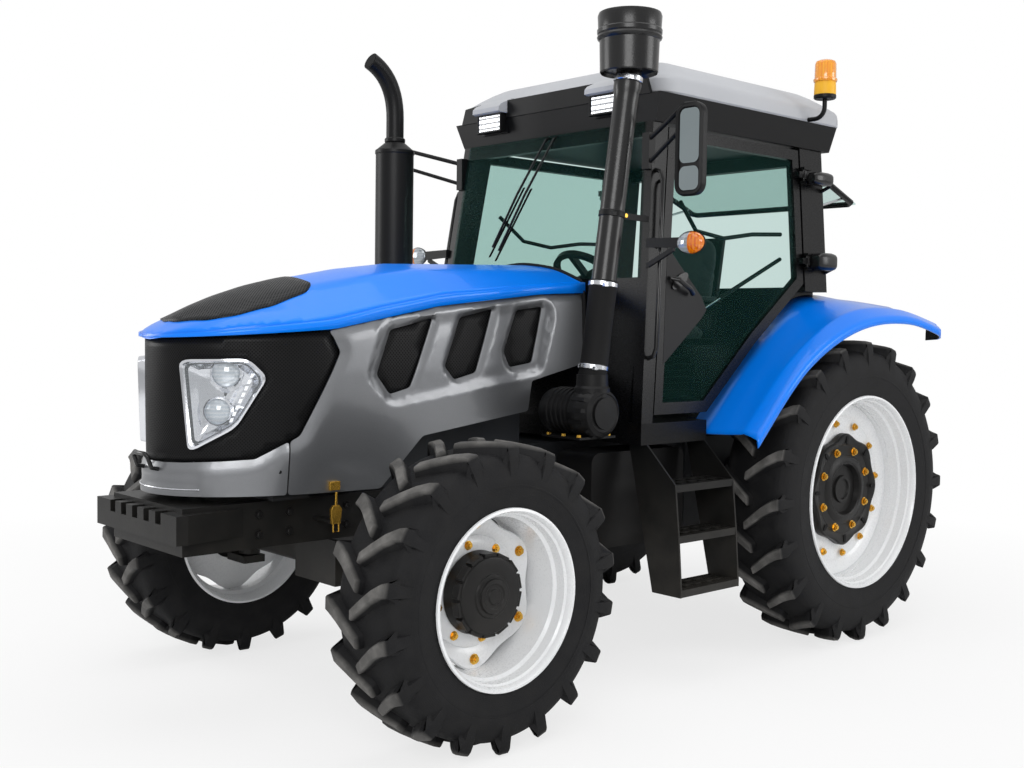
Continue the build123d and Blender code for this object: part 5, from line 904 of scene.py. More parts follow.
def chin_top(mid):
    """The height of the chin's upper edge at a place along one half."""
    return along(((unrolled(CHIN_X), 1.174), (unrolled(1.93), 1.107), (nose_mid, 1.082)), mid)


def chin_relief(s, z):
    """A shallow sunk plate across the middle of the chin and a bevel along its upper edge."""
    mid = nose_mid - abs(s - nose_mid)
    top = chin_top(mid)
    out = -EDGE_DEEP * max(0.0, 1 - (top - z) / BEVEL_WIDE)
    within = min(mid - nose_mid * CHIN_PLATE, top - PLATE_DOWN - z, z - PLATE_FOOT)
    return out - PLATE_DEEP * max(0.0, min(1.0, within / PLATE_WIDE))


plate = [(nose_mid * CHIN_PLATE, PLATE_FOOT)]
plate += [(nose_mid * share, chin_top(nose_mid * share) - PLATE_DOWN) for share in (CHIN_PLATE, 0.75, 0.88, 1.0)]
plate += over_nose(plate[:-1])
chin_lines = [plate, offset(plate, -PLATE_WIDE), offset(chin_edge, -BEVEL_WIDE / 2), offset(chin_edge, -BEVEL_WIDE)]
chin_points, chin_faces = net(chin_edge, [], CHIN_NET, chin_lines)
thick(sides, chin_points, chin_faces, pressed(chin_points, chin_faces, chin_relief), hood_silver)
sides.piece("hood_sides_detail", "hood", "paint_silver", ["hood_sides"], crease=50.0, turn=False)


# Hood vents and nose: black punched mesh set behind the silver, one sheet to an opening.
# The nose sheet wraps round the front between the two bevelled edges of the side panels.
def thicken(thing, thickness, lining=0):
    """Gives a sheet its thickness inward; lining counts on to the finish of the inner face."""
    shell = thing.modifiers.new("sheet", "SOLIDIFY")
    shell.thickness = thickness
    shell.offset = -1.0
    shell.material_offset = lining


class Sheet(Shape):
    """A shape that also keeps each point's place on its flat map."""

    def __init__(self):
        super().__init__()
        self.map = []

    def lay(self, flat, points, faces, finish):
        self.add(points, faces, finish)
        self.map += flat

    def panel(self, name, replaced, thickness):
        """Makes the hood's piece with its map and its thickness."""
        thing = self.piece(name, "hood", "trim_black", [replaced], turn=False)
        layer = thing.data.uv_layers.new(name="panel")
        for loop in thing.data.loops:
            layer.data[loop.index].uv = self.map[loop.vertex_index]
        thicken(thing, thickness)


VENT_IN = 0.036
vents = Sheet()
for vent in VENTS:
    middle = (sum(p[0] for p in vent) / len(vent), sum(p[1] for p in vent) / len(vent))
    grown = [(middle[0] + (x - middle[0]) * 1.10, middle[1] + (z - middle[1]) * 1.08) for x, z in vent]
    flat, faces = net(flatten(grown), [], VENT_NET)
    back = [hood_wall(s, z, -VENT_IN) for s, z in flat]
    vents.lay(flat, back, flipped(faces), vent_mesh)
    vents.lay(flat, mirrored(back), faces, vent_mesh)
vents.panel("hood_vents_detail", "hood_vents", 0.003)

LAMP = ((2.160, 1.497), (1.965, 1.502), (1.900, 1.430), (2.000, 1.235), (2.135, 1.135))
lamp_outline = flatten(rounded(LAMP, 0.03))
lamp_right = [(2 * nose_mid - s, z) for s, z in lamp_outline]
nose_left = flatten(((1.6385, 1.6128), (1.592, 1.529), (1.762, 1.197), (1.932, 1.110), (2.05, 1.1005), (2.15, 1.0945)))
nose_seam = [(unrolled(x), along(SEAM, x) - 0.003) for x in (2.19, 2.1, 2.0, 1.9, 1.8, 1.7)]
nose_edge = nose_left + over_nose(nose_left) + over_nose(nose_seam) + nose_seam
flat, faces = net(nose_edge, [lamp_outline, lamp_right], NOSE_NET)
nose = Sheet()
nose.lay(flat, [hood_wall(s, z, -MESH_GAP) for s, z in flat], flipped(faces), nose_mesh)
nose.panel("hood_nose_detail", "hood_nose", 0.004)


# Hood top: one blue pressing with a crown, a shoulder line on each side and a lip that tapers to the nose.
# The height at each place is the lowest of the roof, the flank outside the shoulder and the bevel at the nose.
def paint(name, tone, shade):
    """Glossy body colour under clear lacquer with very slight orange peel."""
    finish = Finish(name, {"Coat Weight": 0.25, "Coat Roughness": 0.05, "Specular IOR Level": 0.2})
    clouds = finish.noise(1.3, 3.0)
    finish.feed("Base Color", finish.blend(clouds, tone, shade))
    finish.feed("Roughness", 0.30 + (finish.noise(60.0) - 0.5) * 0.08)
    finish.bump(finish.noise(85.0, 2.0), 0.00012)
    return finish


body_blue = paint("paint_blue", rgb(0, 122, 244), rgb(0, 130, 250))
CREASE = ((0.196, 1.856), (1.060, 1.775), (1.610, 1.672), (1.960, 1.618), (2.270, 1.592))
CROWN = ((0.196, 1.950), (1.060, 1.920), (1.320, 1.886), (1.610, 1.830), (1.735, 1.800), (1.860, 1.760), (1.980, 1.714),
         (2.120, 1.658), (2.190, 1.630), (2.270, 1.580))
SHOULDER = ((0.196, 0.278), (1.060, 0.262), (1.610, 0.244), (1.860, 0.225), (1.980, 0.208), (2.120, 0.185),
            (2.270, 0.150))
SHOULDER_DROP = 0.034
TOP_HALF = 0.442
LIP_BEVEL = 0.85


def smaller(first, second, blend):
    """The lower of two heights with a soft change between them."""
    share = max(0.0, min(1.0, 0.5 + 0.5 * (second - first) / blend))
    return second + (first - second) * share - blend * share * (1 - share)


def hood_edge(x):
    """The height of the lip's upper edge."""
    return along(SEAM, x) + 0.052 - 0.034 * min(1.0, max(0.0, (x - 1.41) / 0.79))


def hood_top_z(x, y):
    """The height of the hood's upper face."""
    edge = along(CREASE, x)
    wide = along(SHOULDER, x)
    crown = along(CROWN, x)
    high = crown - SHOULDER_DROP
    flank = edge + (high - edge) * (TOP_HALF - abs(y)) / (TOP_HALF - wide)
    roof = crown - (crown - high) * (abs(y) / wide) ** 1.6
    top = smaller(flank, roof, 0.010)
    if x > NOSE_X - 0.2:
        off = away((x, y), top_rim)
        top = smaller(top, hood_edge(x) + LIP_BEVEL * off, 0.016)
    return top


top_rim = [(HOOD_REAR, TOP_HALF), (NOSE_X, TOP_HALF)]
top_rim += [(NOSE_X + (NOSE_LONG - 0.004) * math.sin(a), TOP_HALF * math.cos(a))
            for a in (math.pi / 2 * k / 24 for k in range(1, 25))]
top_rim += [(x, -y) for x, y in reversed(top_rim[:-1])]
flat, faces = net(top_rim, [], TOP_NET)
hood_top = Shape()
hood_top.add([Vector((x, y, hood_top_z(x, y))) for x, y in flat], faces, body_blue)
straight = [(HOOD_REAR + 0.1 * k, TOP_HALF) for k in range(14)]
lip = []
for x, y in straight + top_rim[1:-1] + [(x, -y) for x, y in reversed(straight)]:
    edge = hood_top_z(x, y)
    foot = along(SEAM, x)
    lip.append([Vector((x, y, edge)), Vector((x, y * 1.004, edge - 0.012)), Vector((x, y * 1.006, foot + 0.003))])
hood_top.grid(lip, body_blue)
thicken(hood_top.piece("hood_top_detail", "hood", "paint_blue", ["hood_top"], crease=26.0, turn=False), PANEL_T)


# Hood pad: the almond of black punched mesh let into the front of the hood top.
# It follows the top's own height and stands a little proud of it.
PAD = ((1.578, 0.060), (1.590, 0.225), (1.640, 0.275), (1.830, 0.298), (1.965, 0.268), (2.060, 0.195), (2.115, 0.050))
PAD_RISE = 0.006
pad_outline = rounded(list(PAD) + [(x, -y) for x, y in reversed(PAD)], 0.03)
flat, faces = net(pad_outline, [], PAD_NET)
pad = Sheet()
pad.lay(flat, [Vector((x, y, hood_top_z(x, y) + PAD_RISE)) for x, y in flat], faces,
        mesh_sheet("pad_mesh", 0.016, 0.36, rgb(34, 35, 37)))
pad.panel("hood_pad_detail", "hood_top_grille", 0.012)


# Headlamps: chrome bezels with a black inner line, two projectors in bright rings and a strip of small lamps.
# Built on the nose's own curve behind a clear cover; the reflector is folded into facets.
def lens(name, tone, alpha, fixed):
    """Clear moulded plastic with a faint ribbed pattern."""
    finish = Finish(name, fixed)
    ribs = (finish.axis("Z") * 420.0).sine() * 0.5 + 0.5
    finish.feed("Base Color", finish.blend(ribs * 0.25, tone, (1, 1, 1, 1)))
    finish.feed("Roughness", 0.05 + ribs * 0.05)
    finish.feed("Alpha", alpha + ribs * 0.04)
    finish.bump(ribs, 0.0004)
    return finish


lamp_cover = lens("lamp_clear", rgb(214, 222, 228), 0.16, {})
lamp_glass = lens("lamp_glass", rgb(196, 206, 214), 0.75, {"Metallic": 0.3, "Coat Weight": 1.0})
chrome = coating("chrome", rgb(232, 234, 238), rgb(214, 216, 222), 0.08, 90.0, 0.0001, 0.0, {"Metallic": 1.0})
lamp_white = coating("lamp_strip", rgb(246, 248, 252), rgb(236, 240, 248), 0.2, 200.0, 0.0001, 0.0,
                     {"Emission Color": (1, 1, 1, 1), "Emission Strength": 0.35})
lamp_mid = tuple(sum(p[axis] for p in lamp_outline) / len(lamp_outline) for axis in (0, 1))
# Scale about the lamp's middle and height over the hood's wall of each ring, from the outside in
BEZEL = ((1.03, -0.028), (1.0, 0.004), (0.94, 0.006), (0.90, -0.006))
LAMP_SEAL = ((0.90, -0.006), (0.86, -0.022))
LAMP_BOWL = ((0.86, -0.022), (0.72, -0.050), (0.5, -0.062), (0.24, -0.052), (0.04, -0.066))
# Share of the projector's size and height over its seat
PROJECTOR_RIM = ((1.25, 0.0), (1.25, 0.024), (1.1, 0.030), (1.02, 0.024))
PROJECTOR_LENS = ((1.02, 0.022), (0.86, 0.034), (0.55, 0.043), (0.2, 0.048), (0.02, 0.0485))
COVER_SCALE = 0.93


def lamp_places(points, scale, out):
    """Points of the lamp's flat map drawn in about its middle, at a height over the hood's wall."""
    return [hood_wall(lamp_mid[0] + (s - lamp_mid[0]) * scale, lamp_mid[1] + (z - lamp_mid[1]) * scale, out)
            for s, z in points]


lamps = Shape()
covers = Shape()
for hand in (1, -1):
    turned_side = mirrored if hand < 0 else list
    for rings, finish in ((BEZEL, chrome), (LAMP_SEAL, seal_rubber), (LAMP_BOWL, chrome)):
        lamps.grid([turned_side(lamp_places(lamp_outline, *ring)) for ring in rings], finish, loop=True)
    for s, z, size in ((lamp_mid[0] - 0.005, lamp_mid[1] + 0.085, 0.050),
                       (lamp_mid[0] + 0.025, lamp_mid[1] - 0.065, 0.046)):
        centre = turned_side([hood_wall(s, z, -0.055)])[0]
        facing = (turned_side([hood_wall(s, z, 0.0)])[0] - centre).normalized()
        side_way = facing.cross(Vector((0, 0, 1))).normalized()
        for profile, finish in ((PROJECTOR_RIM, chrome), (PROJECTOR_LENS, lamp_glass)):
            rows = [[centre + facing * out + size * reach * (math.cos(a) * side_way + Vector((0, 0, math.sin(a))))
                     for a in turns(28)] for reach, out in profile]
            lamps.grid(rows, finish, loop=True)
    for k in range(8):
        s0 = unrolled(1.945) + 0.0105 * k
        z0 = 1.445 - 0.025 * k
        dash = [hood_wall(s0 + ds, z0 + dz, -0.020)
                for ds, dz in ((0, 0), (0.012, 0.0), (0.018, -0.016), (0.006, -0.016))]
        lamps.prism(turned_side(dash), (0.004, 0.008 * hand, 0), lamp_white)
    flat, faces = net(lamp_outline, [], COVER_NET)
    face = turned_side(lamp_places(flat, COVER_SCALE, 0.002))
    covers.add(face, flipped(faces) if hand > 0 else faces, lamp_cover)
lamps.piece("headlight_detail", "hood", "lamp_clear", ["headlights"], crease=28.0)
covers.piece("headlight_cover", "hood", "lamp_clear", turn=False)


# Fenders: blue pressings that sweep up the front of each rear tyre and run back over it.
# Drawn between two smooth side curves with a crease near the outer edge, a turned lip and a round rear corner.
FENDER_INNER = ((70.9, 0.219), (38.7, 0.098), (5.0, 0.222), (-20.9, 0.296), (-41.9, 0.535))
FENDER_OUTER = ((70.8, 0.214), (38.9, 0.094), (6.4, 0.102), (-23.2, 0.216), (-44.9, 0.393))
FENDER_CUT = ((0.0, 0.0), (0.3, 0.004), (0.6, 0.010), (0.78, 0.016), (0.81, 0.020), (0.84, 0.017), (0.92, 0.008),
              (0.98, -0.001))
FENDER_LIP = ((0.004, -0.006), (0.012, -0.018), (0.015, -0.047))
FENDER_CORNER = 0.150
fender_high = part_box("fenders")[1]
tub_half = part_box("cab_tub")[1].y - 0.140
rear_axle = axles["rear_left"]


def over_tyre(points):
    """Places given by an angle from the top of the rear tyre and a gap over it."""
    reach = [(math.radians(angle), rear_axle.z + gap) for angle, gap in points]
    return [Vector((rear_axle.x + arm * math.sin(turn), 0, rear_axle.z + arm * math.cos(turn))) for turn, arm in reach]


inner_line = smooth_through(over_tyre(FENDER_INNER), 10)
outer_line = smooth_through(over_tyre(FENDER_OUTER), 10)
fender_out = fender_high.y - 0.016
fender_rear = outer_line[-1].x + FENDER_CORNER
underside = coating("fender_underside", rgb(28, 29, 31), rgb(20, 21, 22), 0.7, 120.0, 0.001, 0.4)
fenders = Shape()
for hand in (1, -1):
    rows = []
    for inner, outer in zip(inner_line, outer_line):
        row = []
        for share, rise in FENDER_CUT:
            spot = inner.lerp(outer, share)
            row.append((spot.x, tub_half + share * (fender_out - tub_half), spot.z + rise))
        row += [(outer.x, fender_out + out, outer.z + down) for out, down in FENDER_LIP]
        limit = fender_high.y
        if row[-1][0] < fender_rear:
            limit -= FENDER_CORNER - math.sqrt(max(0.0, FENDER_CORNER ** 2 - (fender_rear - row[-1][0]) ** 2))
        rows.append([Vector((x, hand * min(y, limit), z)) for x, y, z in row])
    fenders.grid(rows if hand > 0 else [row[::-1] for row in rows], body_blue)
fenders.finishes.append(underside)
thicken(fenders.piece("fenders_detail", "chassis", "paint_blue", ["fenders"], crease=34.0, turn=False), 0.010, 1)


# Cab glass: green-tinted safety glass in the windscreen, the doors and the open rear window.
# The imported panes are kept; the tint is thin so that the seat and wheel show through.
GLASS_TINT = (0.85, 0.945, 0.925, 1)


def tinted(name):
    """Green glass, clearer face on than at a slant, with a slow change of tint."""
    finish = Finish(name, {"Specular IOR Level": 0.0})
    slant = finish.node("ShaderNodeLayerWeight", {}, {"Blend": 0.25}, "Facing")
    clouds = finish.noise(1.2, 1.0)
    finish.feed("Base Color", finish.blend(clouds, (0.020, 0.062, 0.053, 1), (0.026, 0.074, 0.064, 1)))
    finish.feed("Roughness", 0.03 + clouds * 0.02)
    clear = finish.node("ShaderNodeBsdfTransparent", {}, {"Color": GLASS_TINT}, "BSDF")
    finish.surface((0.10 + slant * slant * 0.5).clamped(), clear, finish.body)
    return finish


dress(tinted("glass"), "windscreen", "door_glass_left", "door_glass_right", "rear_window")


# Roof: a pale moulded shell with eased edges, two visors over the front lamps and a deep rear edge.
# Rings of a rounded rectangle rise from the liner, draw in over the crown and close at the top.
roof_shell = coating("roof_pale", rgb(184, 186, 190), rgb(172, 174, 179), 0.5, 90.0, 0.0003, 0.0)
roof_low, roof_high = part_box("roof")
ROOF_VISOR = 0.070
ROOF_BASE = 2.750
ROOF_BELT = 2.835
ROOF_CORNER = 0.125
ROOF_RINGS = ((0.010, ROOF_BASE), (0.0, ROOF_BASE + 0.008), (0.0, ROOF_BASE + 0.045), (0.004, ROOF_BELT - 0.015),
              (0.014, ROOF_BELT), (0.030, ROOF_BELT + 0.012), (0.070, ROOF_BELT + 0.042), (0.120, ROOF_BELT + 0.074),
              (0.165, ROOF_BELT + 0.098), (0.190, ROOF_BELT + 0.107), (0.215, ROOF_BELT + 0.111),
              (0.30, ROOF_BELT + 0.117), (0.45, ROOF_BELT + 0.121), (0.60, ROOF_BELT + 0.123))


def round_corners(low, high, inset, radius, steps):
    """Pairs round a rectangle between two corners, drawn in by an inset, with its corners rounded."""
    near = [value + inset + radius for value in low]
    far = [value - inset - radius for value in high]
    ring = []
    for turn, (a, b) in enumerate(((far[0], far[1]), (near[0], far[1]), (near[0], near[1]), (far[0], near[1]))):
        for step in range(steps + 1):
            angle = math.pi / 2 * (turn + step / steps)
            ring.append((a + radius * math.cos(angle), b + radius * math.sin(angle)))
    return ring


def roof_ring(inset, z):
    """A level ring of the roof's shell."""
    outline = round_corners((roof_low.x, -roof_high.y), (roof_front, roof_high.y), inset,
                            max(0.02, ROOF_CORNER - inset * 0.3), 8)
    return [Vector((x, y, z)) for x, y in outline]


roof_front = roof_high.x - ROOF_VISOR
roof = Shape()
roof.grid([roof_ring(inset, z) for inset, z in ROOF_RINGS], roof_shell, loop=True, caps=True)
VISOR = ((-0.20, 2.915), (-0.02, 2.850), (0.050, 2.818), (0.068, 2.800), (0.070, 2.776), (0.052, 2.772), (-0.20, 2.772))
VISOR_MID = 0.42
VISOR_HALF = 0.105
for hand in (1, -1):
    visor = [(roof_front + ahead, hand * VISOR_MID - VISOR_HALF, z) for ahead, z in VISOR]
    roof.prism(visor, (0, 2 * VISOR_HALF, 0), roof_shell)
rear_edge = [(roof_low.x + 0.004, ROOF_BASE + 0.01), (roof_low.x + 0.004, 2.70), (roof_low.x + 0.02, 2.664),
             (roof_low.x + 0.084, 2.664), (roof_low.x + 0.084, ROOF_BASE + 0.01)]
roof.prism([(x, -roof_high.y + 0.112, z) for x, z in rear_edge], (0, 2 * roof_high.y - 0.224, 0), roof_shell)
fascia = [(0.690, ROOF_BASE - 0.004), (0.660, ROOF_BELT - 0.006), (0.53, ROOF_BELT + 0.004)]
fascia = [(-y, z) for y, z in fascia[:1]] + fascia + [(-y, z) for y, z in reversed(fascia[1:])]
roof.prism([(roof_front - 0.012, y, z) for y, z in fascia], (0.018, 0, 0), moulded_black)
roof.piece("roof_detail", "chassis", "roof_pale", ["roof"], crease=28.0, bevel=0.006)


# Work lamps: square black housings with rows of small bright cells behind clear plastic.
# Each lens is printed in bands of cells by its material and sits in a rim of its housing.
def cell_lens(name):
    """Bright reflector cells in rows, between dark lines."""
    finish = Finish(name, {"Specular IOR Level": 0.7, "Coat Weight": 1.0, "Coat Roughness": 0.03})
    rows = (finish.axis("Z") * 2 * math.pi / 0.026).sine()
    cells = (finish.axis("Y") * 2 * math.pi / 0.034).sine()
    dark = ((rows < -0.55) + (cells < -0.82) * 0.6).clamped()
    finish.feed("Base Color", finish.blend(dark, rgb(244, 246, 250), rgb(86, 90, 96)))
    finish.feed("Roughness", 0.12 + dark * 0.3)
    finish.feed("Metallic", 0.35 - dark * 0.3)
    finish.bump(1 - dark, 0.003)
    return finish


work_lens = cell_lens("work_lens")
lamp_low, lamp_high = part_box("work_lamps")
LAMP_FRONT_Y, LAMP_REAR_Y = 0.420, 0.560
LAMP_FRONT_W, LAMP_REAR_W = 0.196, 0.130
LAMP_DEEP = 0.045
LAMP_RIM = 0.010
lamp_foot = lamp_low.z - 0.018
work_lamps = Shape()
for hand in (1, -1):
    for way, face, mid, wide in ((1, lamp_high.x, hand * LAMP_FRONT_Y, LAMP_FRONT_W),
                                 (-1, lamp_low.x, hand * LAMP_REAR_Y, LAMP_REAR_W)):
        rows = []
        for depth, inset in ((LAMP_DEEP, 0.006), (0.012, 0.0), (0.0, 0.003), (0.0, LAMP_RIM),
                             (0.006, LAMP_RIM + 0.002)):
            x = face - way * depth
            half = wide / 2 - inset
            rows.append([Vector((x, mid + sy * half, z)) for sy, z in (
                (-1, lamp_foot + inset), (1, lamp_foot + inset), (1, lamp_high.z - inset), (-1, lamp_high.z - inset))])
        work_lamps.grid(rows, moulded_black, loop=True)
        half = wide / 2 - LAMP_RIM
        work_lamps.box((face - way * 0.006, mid - half, lamp_foot + LAMP_RIM),
                       (face - way * 0.02, mid + half, lamp_high.z - LAMP_RIM), work_lens)
work_lamps.piece("work_lamps_detail", "chassis", "lamp_clear", ["work_lamps"], crease=30.0)


# Warning beacon: an amber ribbed dome on a yellow base and black cup, on a bent black tube.
# Turned about its upright line; the ribs are in the lens's finish.
def amber(name, tone, deep):
    """Tinted lens plastic with upright ribs."""
    finish = Finish(name, {"Coat Weight": 1.0, "Coat Roughness": 0.05, "Transmission Weight": 0.15})
    ribs = (finish.axis("X") * 330.0).sine() * (finish.axis("Y") * 330.0).sine() * 0.5 + 0.5
    finish.feed("Base Color", finish.blend(ribs, tone, deep))
    finish.feed("Roughness", 0.12 + ribs * 0.12)
    finish.bump(ribs, 0.0008)
    return finish


lens_amber = amber("lamp_amber", rgb(255, 150, 8), rgb(226, 96, 0))
beacon_amber = amber("beacon_amber", rgb(255, 176, 26), rgb(240, 136, 8))
base_yellow = coating("beacon_yellow", rgb(246, 190, 60), rgb(232, 170, 44), 0.4, 200.0, 0.0002)


def spool(shape, start, end, profile, finish, sides=28):
    """Rings of given radii at shares of the way from start to end, closed at both ends."""
    begin = Vector(start)
    run = Vector(end) - begin
    axis = run.normalized()
    side = axis.orthogonal().normalized()
    other = axis.cross(side)
    rows = [[begin + run * share + radius * (math.cos(a) * side + math.sin(a) * other) for a in turns(sides)]
            for share, radius in profile]
    shape.grid(rows, finish, loop=True, caps=True)


beacon_low, beacon_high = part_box("beacon")
beacon_at = Vector((beacon_low.x + 0.062, beacon_high.y - 0.062, 0))
beacon_foot = 2.860
beacon = Shape()
for low, high, profile, finish in (
        (beacon_foot - 0.004, beacon_foot + 0.020, ((0, 0.052), (0.2, 0.058), (0.8, 0.058), (1, 0.054)), moulded_black),
        (beacon_foot + 0.018, beacon_foot + 0.085, ((0, 0.056), (0.1, 0.057), (0.9, 0.055), (1, 0.054)), base_yellow),
        (beacon_foot + 0.085, beacon_high.z,
         ((0, 0.060), (0.06, 0.062), (0.12, 0.062), (0.16, 0.056), (0.8, 0.055), (0.92, 0.050), (0.98, 0.036),
          (1, 0.01)), beacon_amber)):
    spool(beacon, beacon_at + Vector((0, 0, low)), beacon_at + Vector((0, 0, high)), profile, finish)
bend = [beacon_at + Vector((0, 0, beacon_foot))]
bend += [beacon_at + Vector((0, -0.055 + 0.055 * math.cos(a), 2.815 - 0.055 * math.sin(a)))
         for a in (math.pi / 2 * k / 6 for k in range(7))]
bend += [Vector((beacon_at.x, beacon_low.y, 2.760))]
beacon.tube(bend, 0.012, moulded_black)
beacon.piece("beacon_detail", "chassis", "lamp_amber", ["beacon"], crease=35.0)


# Mirrors: rounded black housings on two-bar arms, each with a large and a small glass set in a broad rim.
# The housing is a stack of rounded outlines; the arms run from a bracket on the front pillar.
mirror_glass = coating("mirror_glass", rgb(150, 160, 162), rgb(128, 138, 142), 0.06, 20.0, 0.0001, 0.0,
                       {"Metallic": 1.0})
mirror_low, mirror_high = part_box("mirrors")
MIRROR_W = 0.160
MIRROR_CORNER = 0.055
MIRROR_ROOT = Vector((0.022, 0.683, 2.440))
mirrors = Shape()


def upright_ring(x, mid, half, low, high, corner, inset, steps=6):
    """A rounded rectangle standing across the machine."""
    outline = round_corners((mid - half, low), (mid + half, high), inset, max(0.006, corner - inset), steps)
    return [Vector((x, y, z)) for y, z in outline]


for hand in (1, -1):
    mid = hand * (mirror_high.y - MIRROR_W / 2)
    face = mirror_high.x
    cuts = ((0.050, 0.030), (0.046, 0.014), (0.034, 0.003), (0.016, 0.0), (0.004, 0.002), (0.0, 0.008), (0.001, 0.020),
            (0.010, 0.024))
    rows = [upright_ring(face - depth, mid, MIRROR_W / 2, mirror_low.z, mirror_high.z, MIRROR_CORNER, inset)
            for depth, inset in cuts]
    mirrors.grid(rows, moulded_black, loop=True, caps=True)
    split = mirror_low.z + 0.135
    for low, high in ((mirror_low.z, split + 0.022), (split - 0.016, mirror_high.z)):
        pane = [upright_ring(face - depth, mid, MIRROR_W / 2, low, high, MIRROR_CORNER, 0.026)
                for depth in (0.016, 0.006)]
        mirrors.grid(pane, mirror_glass, loop=True, caps=True)
    root = Vector((MIRROR_ROOT.x, hand * MIRROR_ROOT.y, MIRROR_ROOT.z))
    tip = Vector((face - 0.025, mid + hand * 0.02, mirror_high.z - 0.02))
    mirrors.tube([root + Vector((0, 0, 0.09)), tip + Vector((0, -hand * 0.06, 0.016)), tip + Vector((0, 0, 0.014)),
                  tip], 0.011, moulded_black)
    brace = Vector((face - 0.03, mid - hand * MIRROR_W / 2 + hand * 0.01, mirror_high.z - 0.11))
    mirrors.tube([root + Vector((0, 0, -0.02)), brace], 0.010, moulded_black)
    mirrors.box((root.x - 0.02, root.y - 0.022, root.z - 0.05), (root.x + 0.024, root.y + 0.022, root.z + 0.12),
                moulded_black)
mirrors.piece("mirrors_detail", "chassis", "trim_black", ["mirrors"], crease=32.0)


# Turn signals: pear-shaped lamps on wedge arms, the lens half clear and half amber.
# The lens is one rounded dome; its inner half is clear and its outer half amber.
TURN_AT = Vector((0.085, 1.000, 2.030))
TURN_HALF = (0.030, 0.078, 0.050)
turn_lamps = Shape()
for hand in (1, -1):
    centre = Vector((TURN_AT.x, hand * TURN_AT.y, TURN_AT.z))
    for finish, front, first, last in ((moulded_black, -1, 0.0, math.pi), (lamp_glass, 1, math.pi * 0.5, math.pi),
                                       (lens_amber, 1, 0.0, math.pi * 0.5)):
        rows = []
        for k in range(13):
            polar = first + (last - first) * k / 12
            ring = []
            for m in range(13):
                turn = math.pi * m / 12 - math.pi / 2
                bulge = 1.0 if front > 0 else 1.06
                ring.append(centre + Vector((front * TURN_HALF[0] * bulge * math.sin(polar) * math.cos(turn),
                                             hand * TURN_HALF[1] * bulge * math.cos(polar),
                                             TURN_HALF[2] * bulge * math.sin(polar) * math.sin(turn))))
            rows.append(ring)
        turn_lamps.grid(rows, finish)
    root = Vector((0.070, hand * 0.735, TURN_AT.z))
    for back, inward, (root_high, high, low, root_low), thick_x in (
            (0.016, 0.05, (0.030, 0.026, -0.022, -0.012), 0.020),
            (0.012, 0.10, (-0.085, -0.012, -0.034, -0.110), 0.016)):
        arm = [root + Vector((0, 0, root_high)), centre + Vector((-back, -hand * inward, high)),
               centre + Vector((-back, -hand * inward, low)), root + Vector((0, 0, root_low))]
        turn_lamps.prism(arm, (thick_x, 0, 0), moulded_black)
turn_lamps.piece("turn_lamps_detail", "chassis", "lamp_amber", ["turn_lamps"], crease=40.0)


# Air cleaner: a ribbed black can lying across the machine behind the front wheel, on a bolted plate.
# Its end cap has ribs round the rim and a bare round plate; a boss on top takes the intake hose.
air_low, air_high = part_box("air_cleaner")
AIR_AT = Vector((0.460, 0.0, 1.262))
AIR_BOSS_Y = 0.760
AIR_CAN = ((0.0, 0.475), (0.060, 0.475), (0.068, 0.500), (0.094, 0.516), (0.101, 0.530), (0.102, 0.562))
AIR_RIB = ((0.102, 0.566), (0.108, 0.569), (0.108, 0.576), (0.102, 0.579))
AIR_RIBS = tuple((r, y + 0.030 * k) for k in range(5) for r, y in AIR_RIB)
AIR_CAP = ((0.103, 0.716), (0.115, 0.722), (0.118, 0.730), (0.118, 0.772), (0.114, 0.780), (0.113, 0.806),
           (0.104, 0.830), (0.088, 0.842), (0.084, 0.838), (0.072, 0.838), (0.070, 0.848), (0.0, 0.850))
air = Shape()
air.turned(AIR_CAN + AIR_RIBS + AIR_CAP, AIR_AT, moulded_black, 64, closed=False)
cap_rib = Shape()
cap_rib.prism([(-0.009, y, r) for y, r in ((0.726, 0.110), (0.726, 0.1215), (0.806, 0.1175), (0.832, 0.100))],
              (0.018, 0, 0), moulded_black)
air.mesh(ring_of(cap_rib, AIR_AT, 14, 0.1, moulded_black), moulded_black)
spool(air, (AIR_AT.x, AIR_BOSS_Y, AIR_AT.z + 0.07), (AIR_AT.x, AIR_BOSS_Y, air_high.z),
      ((0, 0.082), (0.4, 0.080), (0.5, 0.072), (1, 0.070)), moulded_black, 36)
air.box((AIR_AT.x - 0.115, 0.560, air_low.z + 0.002), (AIR_AT.x + 0.115, 0.800, air_low.z + 0.012), chassis_paint)
for x in (-0.095, 0.095):
    for y in (0.585, 0.680, 0.775):
        spot = Vector((AIR_AT.x + x, y, air_low.z + 0.012))
        spool(air, spot, spot + Vector((0, 0, 0.010)), ((0, 0.011), (1, 0.010)), zinc_gold, 6)
air.piece("air_cleaner_detail", "chassis", "trim_black", ["air_cleaner"], crease=30.0)


# Intake stack: a matte rubber hose at the foot, then a gloss black pipe up to the pre-cleaner bowl.
# Bright band clamps hold each end; a strap with a gold bolt ties the pipe to the cab pillar.
gloss_black = coating("trim_gloss", rgb(15, 15, 16), rgb(11, 11, 12), 0.30, 120.0, 0.0002, 0.0,
                      {"Coat Weight": 0.25, "Coat Roughness": 0.2, "Specular IOR Level": 0.3})
STACK_SIDES = 40
STACK_FOOT = Vector((0.460, 0.760, 1.432))
STACK_HEAD = Vector((0.255, 0.760, 2.790))
BOWL_RISE = ((0.050, 2.802), (0.118, 2.806), (0.128, 2.790), (0.132, 2.796), (0.136, 2.935), (0.145, 2.942),
             (0.148, 2.950), (0.145, 2.957), (0.143, 2.961), (0.147, 2.966), (0.148, 2.982), (0.143, 2.988),
             (0.146, 3.044), (0.141, 3.058), (0.110, 3.066), (0.050, 3.0695))


